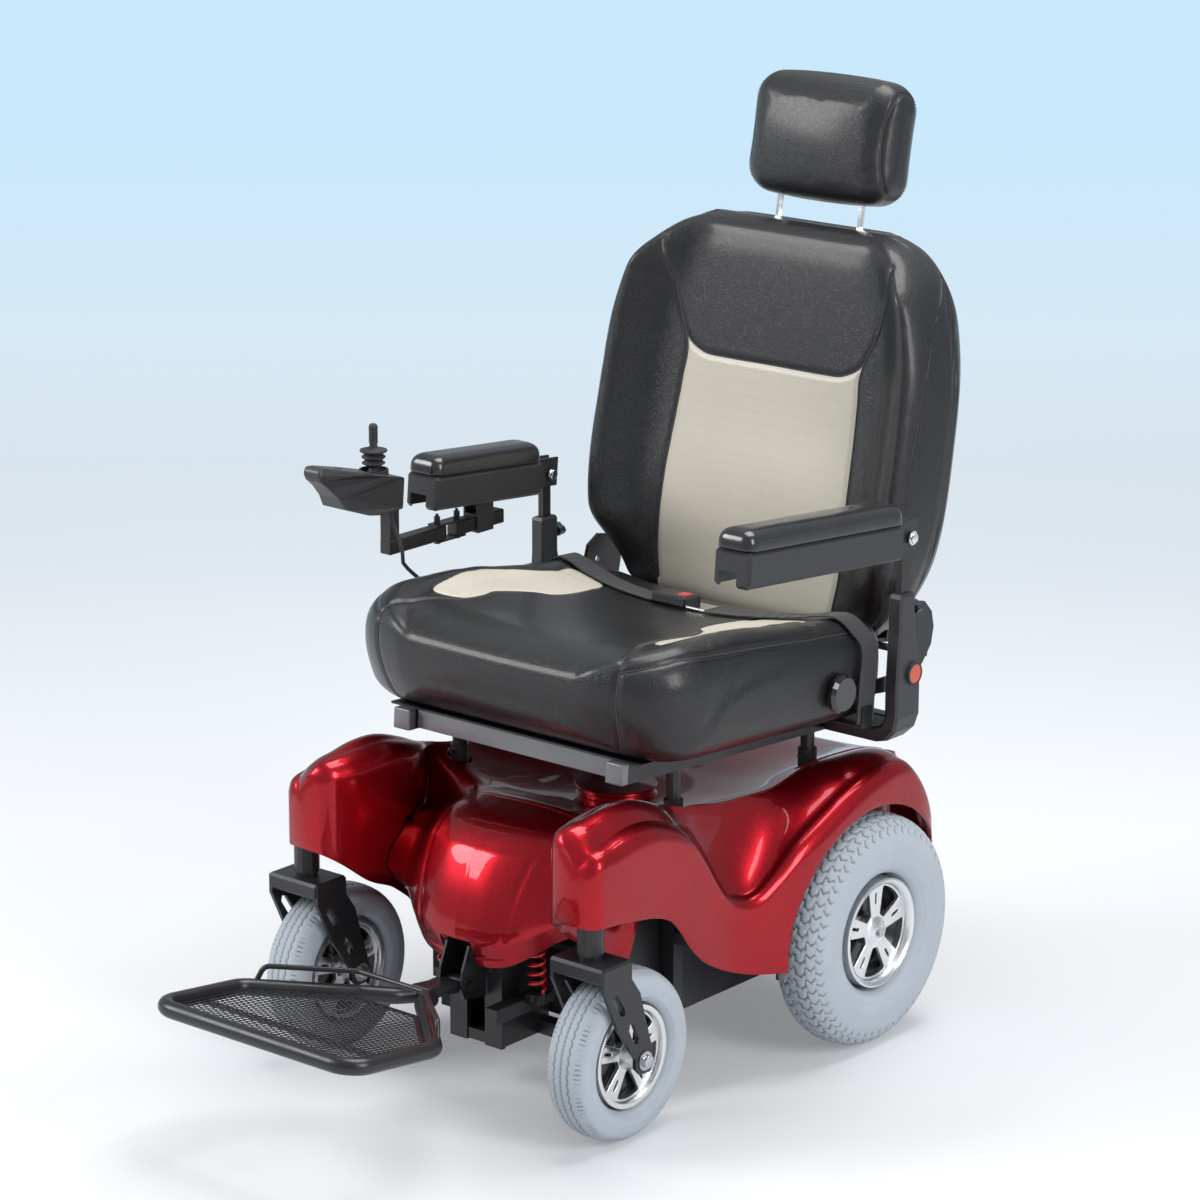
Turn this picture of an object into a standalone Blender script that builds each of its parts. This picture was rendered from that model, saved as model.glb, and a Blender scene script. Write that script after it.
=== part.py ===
"""Bariatric power wheelchair with a captain's seat, built piece by piece in metres.

The pieces are laid out from the point on the floor under the drive axle: +Y runs to the
rear, +X to the rider's left and +Z up. At the end the whole chair is moved so that the
centre of its footprint stands on the world origin.
"""
import math

import bmesh
import bpy
from mathutils import Matrix, Vector

# Clearances
GAP = 0.0003
RUNNING_GAP = 0.0006
SEAM_GAP = 0.0015
COVER_GAP = 0.004

# Drive wheels
DRIVE_RADIUS = 0.178
DRIVE_WIDTH = 0.088
DRIVE_X = 0.3155
DRIVE_RIM_RADIUS = 0.084
DRIVE_RIM_WIDTH = 0.072
DRIVE_AXLE_RADIUS = 0.009
DRIVE_AXLE_LENGTH = 0.068
SPOKE_COUNT = 5
WHEEL_STEPS = 24

# Casters
CASTER_RADIUS = 0.127
CASTER_WIDTH = 0.071
CASTER_X = 0.274
CASTER_STEM_Y = -0.5855
CASTER_TRAIL = 0.060
CASTER_RIM_RADIUS = 0.076
CASTER_RIM_WIDTH = 0.056
CASTER_AXLE_RADIUS = 0.005
FORK_PLATE = 0.006
FORK_ROOM = 0.008
FORK_CROWN_TOP = 0.287
FORK_CROWN_HEIGHT = 0.024
STEM_RADIUS = 0.0125
STEM_TOP = 0.372
BARREL_RADIUS = 0.019
BARREL_BOTTOM = 0.2935
BARREL_TOP = 0.388
CASTER_STEPS = 20

# Chassis
FRAME_TUBE = 0.025
CROSS_TUBE = 0.022
FRAME_BOTTOM = 0.070
LOWER_RAIL_X = 0.130
SIDE_RAIL_X = 0.207
SIDE_RAIL_Z = 0.2575
FRAME_REAR_Y = 0.1125
MID_TUBE_Y = -0.0375
COLUMN_X = 0.044
COLUMN_PLATE = 0.008
COLUMN_TOP = 0.300
LEG_FRONT_Y = -0.520
LEG_WIDTH = 0.033
TRAY_HALF_WIDTH = 0.188
TRAY_FRONT_Y = -0.405
TRAY_HEIGHT = 0.200
TRAY_WALL = 0.004
BATTERY_SIZE = (0.260, 0.166, 0.208)
MOTOR_RADIUS = 0.046
MOTOR_INNER_X = 0.050
MOTOR_OUTER_X = 0.262
SADDLE_THICKNESS = 0.018
SADDLE_HALF_DEPTH = 0.058
MODULE_SIZE = (0.150, 0.150, 0.052)
CRADLE_X = 0.105
CRADLE_THICKNESS = 0.012
CRADLE_HALF_DEPTH = 0.050
OUTRIGGER_Z = 0.222
BATTERY_ROOM = 0.0025
MOTOR_BORE_DEPTH = 0.052

# Front suspension
PIVOT_Y = -0.4245
PIVOT_Z = 0.220
PIVOT_PIN_RADIUS = 0.008
PIVOT_TUBE_RADIUS = 0.0165
PIVOT_TUBE_END_X = 0.166
ARM_BAR = 0.023
ARM_RELIEF = 0.0045
ARM_UPRIGHT_X = 0.150
ARM_CROSS_Z = 0.330
ARM_BEAM_X = 0.258
SPRING_X = 0.088
SPRING_Y = -0.485
SPRING_BOTTOM = 0.160
SPRING_TOP = 0.270
SPRING_RADIUS = 0.0115
SPRING_WIRE_RADIUS = 0.0025
SPRING_CURLS = 7
CURL_POINTS = 8
SPRING_SEAT_MARGIN = 0.018
STUB_X = 0.058
STUB_FRONT_Y = -0.565

# Covers
COVER_WALL = 0.003
COVER_SEAM_X = 0.2365
NOSE_SEAM_Y = -0.405
NOSE_BOTTOM = 0.205
SIDE_COVER_X = 0.2995
ARCH_COVER_X = 0.336
COVER_REAR_Y = 0.176
COVER_FRONT_Y = -0.610
ARCH_ROOM = 0.016
ARCH_CUT_X = 0.262
TOP_COVER_REAR_Y = 0.214
BOSS_RADIUS = 0.062
BOSS_TOP = 0.392
BOSS_Y = -0.200
NOTCH_HALF_WIDTH = 0.030
NOTCH_TOP = 0.245
BOSS_HEIGHT = 0.024
NOSE_WINDOW_X = 0.185
NOSE_BLEND = 0.125
NOSE_ROWS = 10
NOSE_COLUMNS = 11
TOP_COLUMNS = 11
TOP_CORNER_PULL = 0.037
COVER_STATIONS = (
    COVER_FRONT_Y, -0.600, -0.575, -0.540, -0.490, -0.440, -0.405, -0.375, -0.345, -0.315,
    -0.280, -0.235, -0.185, -0.120, -0.050, 0.030, 0.090, 0.125, 0.155, COVER_REAR_Y,
)
TOP_STATIONS = (-0.4035, -0.375, -0.345, -0.300, -0.220, -0.130, -0.040, 0.050, 0.130, 0.185)
TOP_REAR_WALL = ((0.206, 0.366), (TOP_COVER_REAR_Y, 0.320), (0.212, 0.220))

# Seat
SEAT_FRONT_Y = -0.448
SEAT_FRONT_Z = 0.509
SEAT_TILT = math.radians(3.6)
SEAT_TUBE = 0.030
SEAT_TUBE_X = 0.204
SEAT_TUBE_LENGTH = 0.560
SEAT_PAN_HALF_WIDTH = 0.240
SEAT_PAN_THICKNESS = 0.003
SEAT_HALF_WIDTH = 0.302
SEAT_CUSHION_FRONT = -0.046
SEAT_CUSHION_REAR = 0.513
SEAT_SEAM_FRONT = 0.180
SEAT_SEAM_REAR = 0.158
SEAT_CORNER = 0.115
SEAT_BOLSTER = 0.023
SEAT_CHANNEL = 0.735
POST_RADIUS = 0.011
SLEEVE_RADIUS = 0.0145
SLEEVE_TOP = 0.440
POST_FRONT_Y = -0.320
POST_REAR_Y = 0.000
POST_BOTTOM = 0.300
BELT_ANCHOR_Y = -0.008
BELT_WIDTH = 0.040
BELT_THICKNESS = 0.002
BELT_X = 0.3175
BELT_DRIFT = -0.040
BELT_CLEARANCE = 0.0055
BUCKLE_START = -0.050
BUCKLE_END = 0.016
BUCKLE_HEIGHT = 0.016
TONGUE_LENGTH = 0.036

# Back
BACK_FOOT_Y = 0.104
BACK_FOOT_Z = 0.618
BACK_LEAN = math.radians(10.8)
BACK_TOP = 0.580
BACK_BOTTOM = -0.034
BACK_HALF_WIDTH = 0.311
BACK_THICKNESS = 0.110
BACK_ROUND = 0.030
BACK_BOLSTER = 0.058
PANEL_SHARE = 0.60
YOKE_Z = 0.370
HINGE_Y = 0.105
HINGE_Z = 0.545
HINGE_PIN_RADIUS = 0.006
LUG_X = 0.2985
HINGE_PLATE = 0.006
BACK_PLATE_X = 0.306
BACK_PAN_X = 0.200
BACK_PAN_THICKNESS = 0.006
ROD_X = 0.078
ROD_DEPTH = 0.072
ROD_RADIUS = 0.0055
ROD_REACH = 0.110
HEADREST_WIDTH = 0.270
HEADREST_HEIGHT = 0.183
HEADREST_THICKNESS = 0.092
HEADREST_GAP = 0.038
HEADREST_SET = 0.006

# Recline lever
LEVER_X = 0.3135
LEVER_THICKNESS = 0.004
PADDLE_Y = -0.068
PADDLE_Z = 0.562
PADDLE_RADIUS = 0.030
PADDLE_THICKNESS = 0.016

# Arms
ARM_X = 0.347
ARM_POST_Y = 0.040
ARM_POST_WIDTH = 0.010
ARM_POST_DEPTH = 0.018
ARM_POST_LENGTH = 0.262
ARM_POST_HEAD = 0.014
ARM_SLEEVE_WIDTH = 0.024
ARM_SLEEVE_DEPTH = 0.038
ARM_SLEEVE_TOP = 0.698
ARM_SLEEVE_BOTTOM = 0.466
ARM_PIVOT_Y = 0.040
ARM_HIGH_Z = 0.784
ARM_REST_Z = 0.768
ARM_PITCH = math.radians(5.0)
ARM_BACKSET = 0.041
ARM_WIDTH = 0.065
ARM_LOW = -0.027
ARM_SEAM = 0.026
ARM_WALL = 0.004
ARM_PAD_HEIGHT = 0.031
ARM_LENGTH_LEFT = 0.370
ARM_LENGTH_RIGHT = 0.247
ARM_PIN_RADIUS = 0.005
CHEEK_X = 0.0095
ARM_FLARE = 0.58
ARM_FLARE_SHIFT = 0.0055
STRAP_Y = (-0.135, -0.098)
KNOB_RADIUS = 0.013
KNOB_Z = 0.669
KNOB_STEM_RADIUS = 0.004
REFLECTOR_RADIUS = 0.0145
REFLECTOR_Y = 0.055
REFLECTOR_Z = 0.573

# Joystick
BAR_SIZE = 0.022
BAR_Z = 0.7215
BAR_REAR_Y = -0.068
LINK_REAR_Y = -0.167
LINK_FRONT_Y = -0.212
LINK_PLATE = 0.003
LINK_PIN_RADIUS = 0.0025
STICK_POST_Y = -0.318
CASE_REAR_Y = -0.315
CASE_FRONT_Y = -0.483
CASE_REAR_TOP = 0.833
CASE_BOTTOM = 0.785
CASE_SLOPE = 0.262
CASE_WIDTH = 0.074
CASE_TIP_SHARE = 0.46
WELL_RADIUS = 0.0200
GIMBAL_RADIUS = 0.0185
BALL_RADIUS = 0.0132
STICK_Y = -0.352
STICK_Z = 0.835
COLLAR_TOP = 0.848
STICK_TOP = 0.918
BUTTON_Y = -0.430
BUTTON_RADIUS = 0.006

# Footplate
FOOT_PIVOT_Y = -0.558
FOOT_PIVOT_Z = 0.174
FOOT_PIN_RADIUS = 0.005
FOOT_HALF_WIDTH = 0.187
FOOT_FRONT_Y = -0.984
FOOT_SIDE_Y = -0.817
FOOT_REAR_Y = -0.705
FOOT_REAR_HALF = 0.070
FOOT_REAR_Z = 0.184
FOOT_SLOPE = 0.125
FOOT_TUBE_RADIUS = 0.0125
FOOT_BEND = 0.034
DECK_THICKNESS = 0.003
TONGUE_HALF_WIDTH = 0.0185
FENCE_HEIGHT = 0.034
FENCE_RADIUS = 0.004
FENCE_REAR_Y = -0.700
FENCE_REAR_HALF = 0.064
FENCE_SIDE_Y = -0.800
MESH_ROWS = 6
MESH_COLUMNS = 9
MESH_BORDER = 0.006
MESH_STRAND = 0.0026

# Cable
CABLE_RADIUS = 0.003
GLAND_X = -0.100
GLAND_Y = -0.050
GLAND_RADIUS = 0.008
GLAND_HEIGHT = 0.020
GLAND_TOP = 0.394
CABLE_POINTS = 36

# Finishes: colour, roughness, metallic
BLACK_PAINT = ((0.018, 0.018, 0.020), 0.35, 0.0)
BLACK_PLASTIC = ((0.030, 0.030, 0.033), 0.48, 0.0)
GLOSS_BLACK = ((0.012, 0.012, 0.014), 0.15, 0.0)
RED_PAINT = ((0.330, 0.006, 0.018), 0.16, 0.35)
RED_SPRING = ((0.620, 0.010, 0.012), 0.30, 0.2)
VINYL = ((0.028, 0.028, 0.031), 0.38, 0.0)
WEBBING = ((0.022, 0.022, 0.024), 0.80, 0.0)
GREY_TYRE = ((0.420, 0.455, 0.490), 0.75, 0.0)
SILVER = ((0.700, 0.705, 0.715), 0.25, 1.0)
CHROME = ((0.820, 0.825, 0.835), 0.08, 1.0)
ZINC = ((0.400, 0.405, 0.420), 0.40, 0.9)
ORANGE = ((0.900, 0.120, 0.010), 0.25, 0.0)
RED_BUTTON = ((0.560, 0.020, 0.020), 0.35, 0.0)
BATTERY_GREY = ((0.120, 0.125, 0.135), 0.55, 0.0)
RUBBER = ((0.020, 0.020, 0.022), 0.70, 0.0)

# Cover outlines, as (place along the chair, value) pairs
COVER_OUTER_X = [
    (COVER_FRONT_Y, 0.284), (-0.600, 0.2955), (-0.585, SIDE_COVER_X), (-0.400, SIDE_COVER_X),
    (-0.300, 0.303), (-0.220, 0.319), (-0.150, 0.333), (-0.090, ARCH_COVER_X),
    (0.100, ARCH_COVER_X), (0.150, 0.330), (COVER_REAR_Y, 0.316),
]
COVER_INNER_X = [
    (COVER_FRONT_Y, 0.228), (-0.600, 0.213), (-0.575, 0.203), (-0.550, 0.198),
    (-0.440, 0.195), (-0.400, 0.208), (-0.375, 0.224), (-0.350, COVER_SEAM_X),
]
SHOULDER_Z = [
    (COVER_FRONT_Y, 0.420), (-0.596, 0.439), (-0.553, 0.450), (-0.518, 0.457),
    (-0.474, 0.458), (-0.438, 0.450), (-0.402, 0.435), (-0.377, 0.415), (-0.352, 0.381),
    (-0.335, 0.353), (-0.310, 0.318), (-0.285, 0.299), (-0.250, 0.294), (-0.215, 0.315),
    (-0.166, 0.355), (-0.099, 0.388), (-0.032, 0.414), (0.037, 0.428), (0.084, 0.425),
    (0.110, 0.405), (0.140, 0.365), (0.160, 0.322), (COVER_REAR_Y, 0.284),
]
INNER_TOP_Z = [
    (COVER_FRONT_Y, 0.452), (-0.598, 0.467), (-0.570, 0.474), (-0.480, 0.478),
    (-0.420, 0.465), (-0.380, 0.452), (-0.325, 0.436), (-0.250, 0.422), (-0.177, 0.416),
    (-0.124, 0.414), (-0.043, 0.428), (0.000, 0.430), (0.100, 0.422), (0.158, 0.405),
    (COVER_REAR_Y, 0.398),
]
COVER_CROWN = [
    (COVER_FRONT_Y, 0.004), (-0.570, 0.010), (-0.480, 0.014), (-0.400, 0.008),
    (-0.340, -0.010), (-0.260, -0.024), (-0.180, -0.012), (-0.100, 0.004),
    (0.060, 0.008), (COVER_REAR_Y, 0.004),
]
INNER_ROUND = [
    (COVER_FRONT_Y, 0.018), (-0.570, 0.032), (-0.440, 0.030), (-0.380, 0.014),
    (-0.350, 0.005), (COVER_REAR_Y, 0.005),
]
OUTER_ROUND = [
    (COVER_FRONT_Y, 0.018), (-0.550, 0.028), (-0.400, 0.028), (-0.250, 0.018),
    (-0.100, 0.030), (COVER_REAR_Y, 0.018),
]
OUTER_LOW_Z = [
    (COVER_FRONT_Y, 0.337), (-0.560, 0.334), (-0.517, 0.328), (-0.473, 0.320),
    (-0.437, 0.305), (-0.416, 0.283), (-0.395, 0.255), (-0.366, 0.226), (-0.325, 0.201),
    (-0.270, 0.179), (-0.214, 0.167), (-0.185, 0.165), (-0.140, 0.200), (-0.080, 0.270),
    (COVER_REAR_Y, 0.270),
]
INNER_LOW_Z = [
    (COVER_FRONT_Y, 0.335), (-0.585, 0.317), (-0.532, 0.278), (-0.487, 0.258),
    (-0.450, 0.232), (-0.420, 0.212), (-0.395, 0.300), (-0.370, 0.410), (-0.345, 0.428),
    (-0.325, 0.424), (-0.250, 0.410), (-0.177, 0.404), (-0.124, 0.402), (-0.043, 0.416),
    (0.000, 0.418), (0.100, 0.410), (0.150, 0.395), (COVER_REAR_Y, 0.270),
]
NOSE_PROFILE = [
    (NOSE_SEAM_Y, 0.411), (-0.460, 0.405), (-0.491, 0.395), (-0.515, 0.378), (-0.530, 0.360),
    (-0.553, 0.310), (-0.566, 0.255), (-0.560, 0.225), (-0.553, NOSE_BOTTOM),
]
NOSE_RECESS = [(0.0, 0.0), (0.05, 0.005), (0.10, 0.024), (0.15, 0.058), (0.20, 0.068)]
NOSE_DROP = [(0.0, 0.0), (0.05, 0.001), (0.10, 0.006), (0.15, 0.031), (0.20, 0.047)]
NOSE_LOW_Z = [
    (0.0, NOSE_BOTTOM), (0.07, 0.209), (0.10, 0.223), (0.146, 0.256), (0.20, 0.277),
]
TOP_CENTRE_Z = [
    (NOSE_SEAM_Y, 0.411), (-0.360, 0.397), (-0.300, 0.382), (-0.200, 0.374),
    (-0.050, 0.376), (0.050, 0.386), (0.120, 0.392), (0.170, 0.390), (0.195, 0.383),
]
TOP_EDGE_Z = [
    (NOSE_SEAM_Y, 0.364), (-0.380, 0.392), (-0.350, 0.428), (-0.325, 0.436),
    (-0.250, 0.422), (-0.177, 0.416), (-0.124, 0.414), (-0.043, 0.428), (0.000, 0.430),
    (0.100, 0.422), (0.158, 0.405), (0.195, 0.385),
]

# Cushion outlines
BACK_OUTLINE = [
    (BACK_BOTTOM, 0.215), (0.002, 0.252), (0.083, 0.296), (0.160, BACK_HALF_WIDTH - 0.001),
    (0.290, BACK_HALF_WIDTH), (0.380, 0.306), (0.440, 0.294), (0.490, 0.276),
    (0.535, 0.242), (0.565, 0.204), (BACK_TOP, 0.168),
]
PANEL_HALF_WIDTH = [
    (BACK_BOTTOM, 0.150), (0.002, 0.168), (0.105, 0.197), (0.370, 0.166), (BACK_TOP, 0.124),
]

# The cable's route from the joystick to the base
CABLE_ROUTE = [
    (-0.3285, -0.334, CASE_BOTTOM - GAP), (-0.3285, -0.334, 0.770), (-0.3060, -0.336, 0.730),
    (-0.3070, -0.334, 0.708), (-0.3100, -0.318, 0.692), (-0.3180, -0.285, 0.668),
    (-0.3230, -0.243, 0.625), (-0.3265, -0.195, 0.565), (-0.3220, -0.150, 0.505),
    (-0.3000, -0.118, 0.467), (-0.2600, -0.098, 0.449), (-0.2000, -0.078, 0.441),
    (-0.1450, -0.060, 0.432), (-0.1120, -0.052, 0.424), (GLAND_X, GLAND_Y, 0.410),
    (GLAND_X, GLAND_Y, GLAND_TOP + GAP),
]

SIDES = (("left", 1), ("right", -1))
ALONG_X = (0.0, math.pi / 2, 0.0)
YZ_PLATE = (math.pi / 2, 0.0, math.pi / 2)
XZ_PLATE = (math.pi / 2, 0.0, 0.0)

for leftover in list(bpy.data.objects):
    bpy.data.objects.remove(leftover, do_unlink=True)

PARTS = bpy.data.collections.new("power_wheelchair")
CUTTERS = bpy.data.collections.new("cutters")
bpy.context.scene.collection.children.link(PARTS)
bpy.context.scene.collection.children.link(CUTTERS)
BODIES = {}


# Small helpers
def smooth(knots, place):
    """Value at a place, on a smooth curve through (place, value) pairs."""
    if place <= knots[0][0]:
        return knots[0][1]
    if place >= knots[-1][0]:
        return knots[-1][1]
    last = len(knots) - 1
    index = max(n for n in range(last) if knots[n][0] <= place)

    def slope(n):
        before = knots[max(n - 1, 0)]
        after = knots[min(n + 1, last)]
        return (after[1] - before[1]) / (after[0] - before[0])

    (start, low), (end, high) = knots[index], knots[index + 1]
    span = end - start
    t = (place - start) / span
    lead = (2 * t**3 - 3 * t**2 + 1) * low + (t**3 - 2 * t**2 + t) * span * slope(index)
    tail = (3 * t**2 - 2 * t**3) * high + (t**3 - t**2) * span * slope(index + 1)
    return lead + tail


def ease(t):
    """Smooth step from 0 to 1."""
    t = min(max(t, 0.0), 1.0)
    return t * t * (3 - 2 * t)


def spread(start, end, count):
    return [start + (end - start) * n / (count - 1) for n in range(count)]


def rounded_path(points, radius, steps=4, closed=False):
    """The points with every inner corner replaced by an arc of the radius."""
    points = [Vector(point) for point in points]
    count = len(points)
    path = []
    for n, corner in enumerate(points):
        if not closed and n in (0, count - 1):
            path.append(corner)
            continue
        to_last = (points[n - 1] - corner).normalized()
        to_next = (points[(n + 1) % count] - corner).normalized()
        half_angle = to_last.angle(to_next) / 2
        reach = radius / math.tan(half_angle)
        middle = (to_last + to_next).normalized()
        centre = corner + middle * (radius / math.sin(half_angle))
        start = corner + to_last * reach - centre
        end = corner + to_next * reach - centre
        path.extend(centre + radius * start.slerp(end, k / steps) for k in range(steps + 1))
    return path


# Objects
def new_object(name, data):
    item = bpy.data.objects.new(name, data)
    PARTS.objects.link(item)
    return item


def mesh_object(name, bm):
    mesh = bpy.data.meshes.new(name)
    bm.to_mesh(mesh)
    bm.free()
    return new_object(name, mesh)


def bevel(item, width, segments=1, angle=40):
    edge = item.modifiers.new("bevel", "BEVEL")
    edge.width = width
    edge.segments = segments
    edge.limit_method = "ANGLE"
    edge.angle_limit = math.radians(angle)
    return item


def block(name, size, centre, rounding=0.0, segments=1):
    bm = bmesh.new()
    bmesh.ops.create_cube(bm, size=1.0, matrix=Matrix.Diagonal((*size, 1.0)))
    item = mesh_object(name, bm)
    item.location = centre
    if rounding:
        bevel(item, rounding, segments)
    return item


def span_block(name, low, high, rounding=0.0, segments=1):
    """A block between its lowest and highest corners."""
    size = [b - a for a, b in zip(low, high)]
    centre = [(a + b) / 2 for a, b in zip(low, high)]
    return block(name, size, centre, rounding, segments)


def rod(name, start, end, radius, sides=16):
    """A cylinder from one point to another."""
    start, end = Vector(start), Vector(end)
    axis = end - start
    bm = bmesh.new()
    bmesh.ops.create_cone(
        bm, cap_ends=True, segments=sides, radius1=radius, radius2=radius, depth=axis.length
    )
    item = mesh_object(name, bm)
    item.location = (start + end) / 2
    item.rotation_euler = axis.to_track_quat("Z", "Y").to_euler()
    return item


def turned(name, profile, steps, centre, rotation=(0.0, 0.0, 0.0), closed=False):
    """A profile of (radius, height) points turned about the local Z axis."""
    bm = bmesh.new()
    points = [bm.verts.new((radius, 0.0, height)) for radius, height in profile]
    for first, second in zip(points, points[1:]):
        bm.edges.new((first, second))
    if closed:
        bm.edges.new((points[-1], points[0]))
    item = mesh_object(name, bm)
    item.location = centre
    item.rotation_euler = rotation
    screw = item.modifiers.new("turn", "SCREW")
    screw.steps = steps
    screw.render_steps = steps
    screw.use_merge_vertices = True
    screw.merge_threshold = 0.00001
    return item


def solid_from_curve(item):
    """A closed mesh object in place of a curve object."""
    bpy.context.view_layer.update()
    graph = bpy.context.evaluated_depsgraph_get()
    mesh = bpy.data.meshes.new_from_object(item.evaluated_get(graph))
    name = item.name
    place = item.matrix_world.copy()
    bpy.data.objects.remove(item, do_unlink=True)
    bm = bmesh.new()
    bm.from_mesh(mesh)
    bmesh.ops.remove_doubles(bm, verts=bm.verts, dist=0.00001)
    bmesh.ops.recalc_face_normals(bm, faces=bm.faces)
    bm.to_mesh(mesh)
    bm.free()
    mesh.name = name
    solid = new_object(name, mesh)
    solid.matrix_world = place
    return solid


def tube(name, points, radius, resolution=2, closed=False):
    """A round tube along the points."""
    curve = bpy.data.curves.new(name, "CURVE")
    curve.dimensions = "3D"
    curve.bevel_depth = radius
    curve.bevel_resolution = resolution
    curve.use_fill_caps = True
    spline = curve.splines.new("POLY")
    spline.points.add(len(points) - 1)
    for control, point in zip(spline.points, points):
        control.co = (*point, 1.0)
    spline.use_cyclic_u = closed
    return solid_from_curve(new_object(name, curve))


def plate(name, outlines, thickness, centre, rotation):
    """A flat plate of one outline and any number of holes."""
    curve = bpy.data.curves.new(name, "CURVE")
    curve.dimensions = "2D"
    curve.fill_mode = "BOTH"
    curve.extrude = thickness / 2
    for outline in outlines:
        spline = curve.splines.new("POLY")
        spline.points.add(len(outline) - 1)
        for control, point in zip(spline.points, outline):
            control.co = (point[0], point[1], 0.0, 1.0)
        spline.use_cyclic_u = True
    item = new_object(name, curve)
    item.location = centre
    item.rotation_euler = rotation
    return solid_from_curve(item)


def arc(centre, radius, start, end, steps):
    """Points on an arc, its angles in degrees."""
    angles = [math.radians(angle) for angle in spread(start, end, steps + 1)]
    return [
        (centre[0] + radius * math.cos(angle), centre[1] + radius * math.sin(angle))
        for angle in angles
    ]


def settle(item):
    """Keep an object's evaluated shape as its own mesh."""
    bpy.context.view_layer.update()
    graph = bpy.context.evaluated_depsgraph_get()
    mesh = bpy.data.meshes.new_from_object(item.evaluated_get(graph))
    item.modifiers.clear()
    item.data = mesh


def fuse(base, others):
    """Weld other objects to a base object."""
    for other in others:
        join = base.modifiers.new("join", "BOOLEAN")
        join.operation = "UNION"
        join.solver = "EXACT"
        join.object = other
    settle(base)
    for other in others:
        bpy.data.objects.remove(other, do_unlink=True)
    return base


def cut(item, cutter):
    """Cut one object out of another and keep the cutter aside."""
    opening = item.modifiers.new("cut", "BOOLEAN")
    opening.operation = "DIFFERENCE"
    opening.solver = "EXACT"
    opening.object = cutter
    PARTS.objects.unlink(cutter)
    CUTTERS.objects.link(cutter)
    cutter.name = item.name + "_cut"
    cutter.hide_render = True
    cutter.display_type = "WIRE"
    return item


def drill(item, start, end, radius, sides=16):
    return cut(item, rod(item.name + "_drill", start, end, radius, sides))


def body(name, pivot, parent=None):
    """An empty on a moving body's joint."""
    empty = bpy.data.objects.new(name + "_axis", None)
    empty.empty_display_size = 0.05
    PARTS.objects.link(empty)
    pivot = Vector(pivot)
    empty.location = pivot
    if parent:
        empty.parent = BODIES[parent][0]
        empty.location = pivot - BODIES[parent][1]
    BODIES[name] = (empty, pivot)


def finish(item, body_name, look, smooth_angle=35):
    """Paint an object and hang it on its body, with its cutters."""
    colour, roughness, metallic = look
    paint = bpy.data.materials.new(item.name + "_finish")
    paint.use_nodes = True
    shader = paint.node_tree.nodes["Principled BSDF"]
    shader.inputs["Base Color"].default_value = (*colour, 1.0)
    shader.inputs["Roughness"].default_value = roughness
    shader.inputs["Metallic"].default_value = metallic
    item.data.materials.clear()
    item.data.materials.append(paint)
    item.data.shade_smooth()
    item.data.set_sharp_from_angle(angle=math.radians(smooth_angle))
    empty, pivot = BODIES[body_name]
    cutters = [change.object for change in item.modifiers if change.type == "BOOLEAN"]
    for member in [item] + cutters:
        member.parent = empty
        member.location = member.location - pivot
    return item


def grid_faces(bm, rows, flip=False):
    """Quads between rows of points."""
    lines = [[bm.verts.new(point) for point in row] for row in rows]
    for first, second in zip(lines, lines[1:]):
        for n in range(len(first) - 1):
            corners = [first[n], first[n + 1], second[n + 1], second[n]]
            bm.faces.new(reversed(corners) if flip else corners)
    return lines


def shell(name, bm, wall):
    """An open surface, its faces outwards, thickened inwards."""
    item = mesh_object(name, bm)
    thicken = item.modifiers.new("wall", "SOLIDIFY")
    thicken.thickness = wall
    thicken.offset = -1.0
    thicken.use_even_offset = True
    return item


def pillow(name, columns, rows, levels, shape):
    """A block cut along columns, rows and levels, then shaped point by point."""
    bm = bmesh.new()
    bmesh.ops.create_cube(bm, size=2.0)
    for axis, places in enumerate((columns, rows, levels)):
        normal = Vector((0.0, 0.0, 0.0))
        normal[axis] = 1.0
        for place in places:
            everything = bm.verts[:] + bm.edges[:] + bm.faces[:]
            bmesh.ops.bisect_plane(bm, geom=everything, plane_co=normal * place, plane_no=normal)
    for vertex in bm.verts:
        vertex.co = shape(*vertex.co)
    return mesh_object(name, bm)


def rounded(point, half_sizes, radii):
    """A point of a box moved onto the same box with rounded edges."""
    inner = [half - radius for half, radius in zip(half_sizes, radii)]
    core = Vector([min(max(c, -i), i) for c, i in zip(point, inner)])
    offset = [(c - k) / r for c, k, r in zip(point, core, radii)]
    length = math.sqrt(sum(part * part for part in offset))
    if length < 1.0:
        return Vector(point)
    return core + Vector([part / length * r for part, r in zip(offset, radii)])


def tilted(origin, angle, point):
    """World place of a point in a frame that leans back by an angle about X."""
    x, y, z = point
    return Vector((
        origin[0] + x,
        origin[1] + y * math.cos(angle) + z * math.sin(angle),
        origin[2] - y * math.sin(angle) + z * math.cos(angle),
    ))


def tilted_block(name, origin, angle, low, high, rounding=0.0, segments=1):
    item = block(
        name,
        [b - a for a, b in zip(low, high)],
        tilted(origin, angle, [(a + b) / 2 for a, b in zip(low, high)]),
        rounding,
        segments,
    )
    item.rotation_euler = (-angle, 0.0, 0.0)
    return item


def both_ways(side, near, far):
    return sorted((side * near, side * far))


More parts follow.
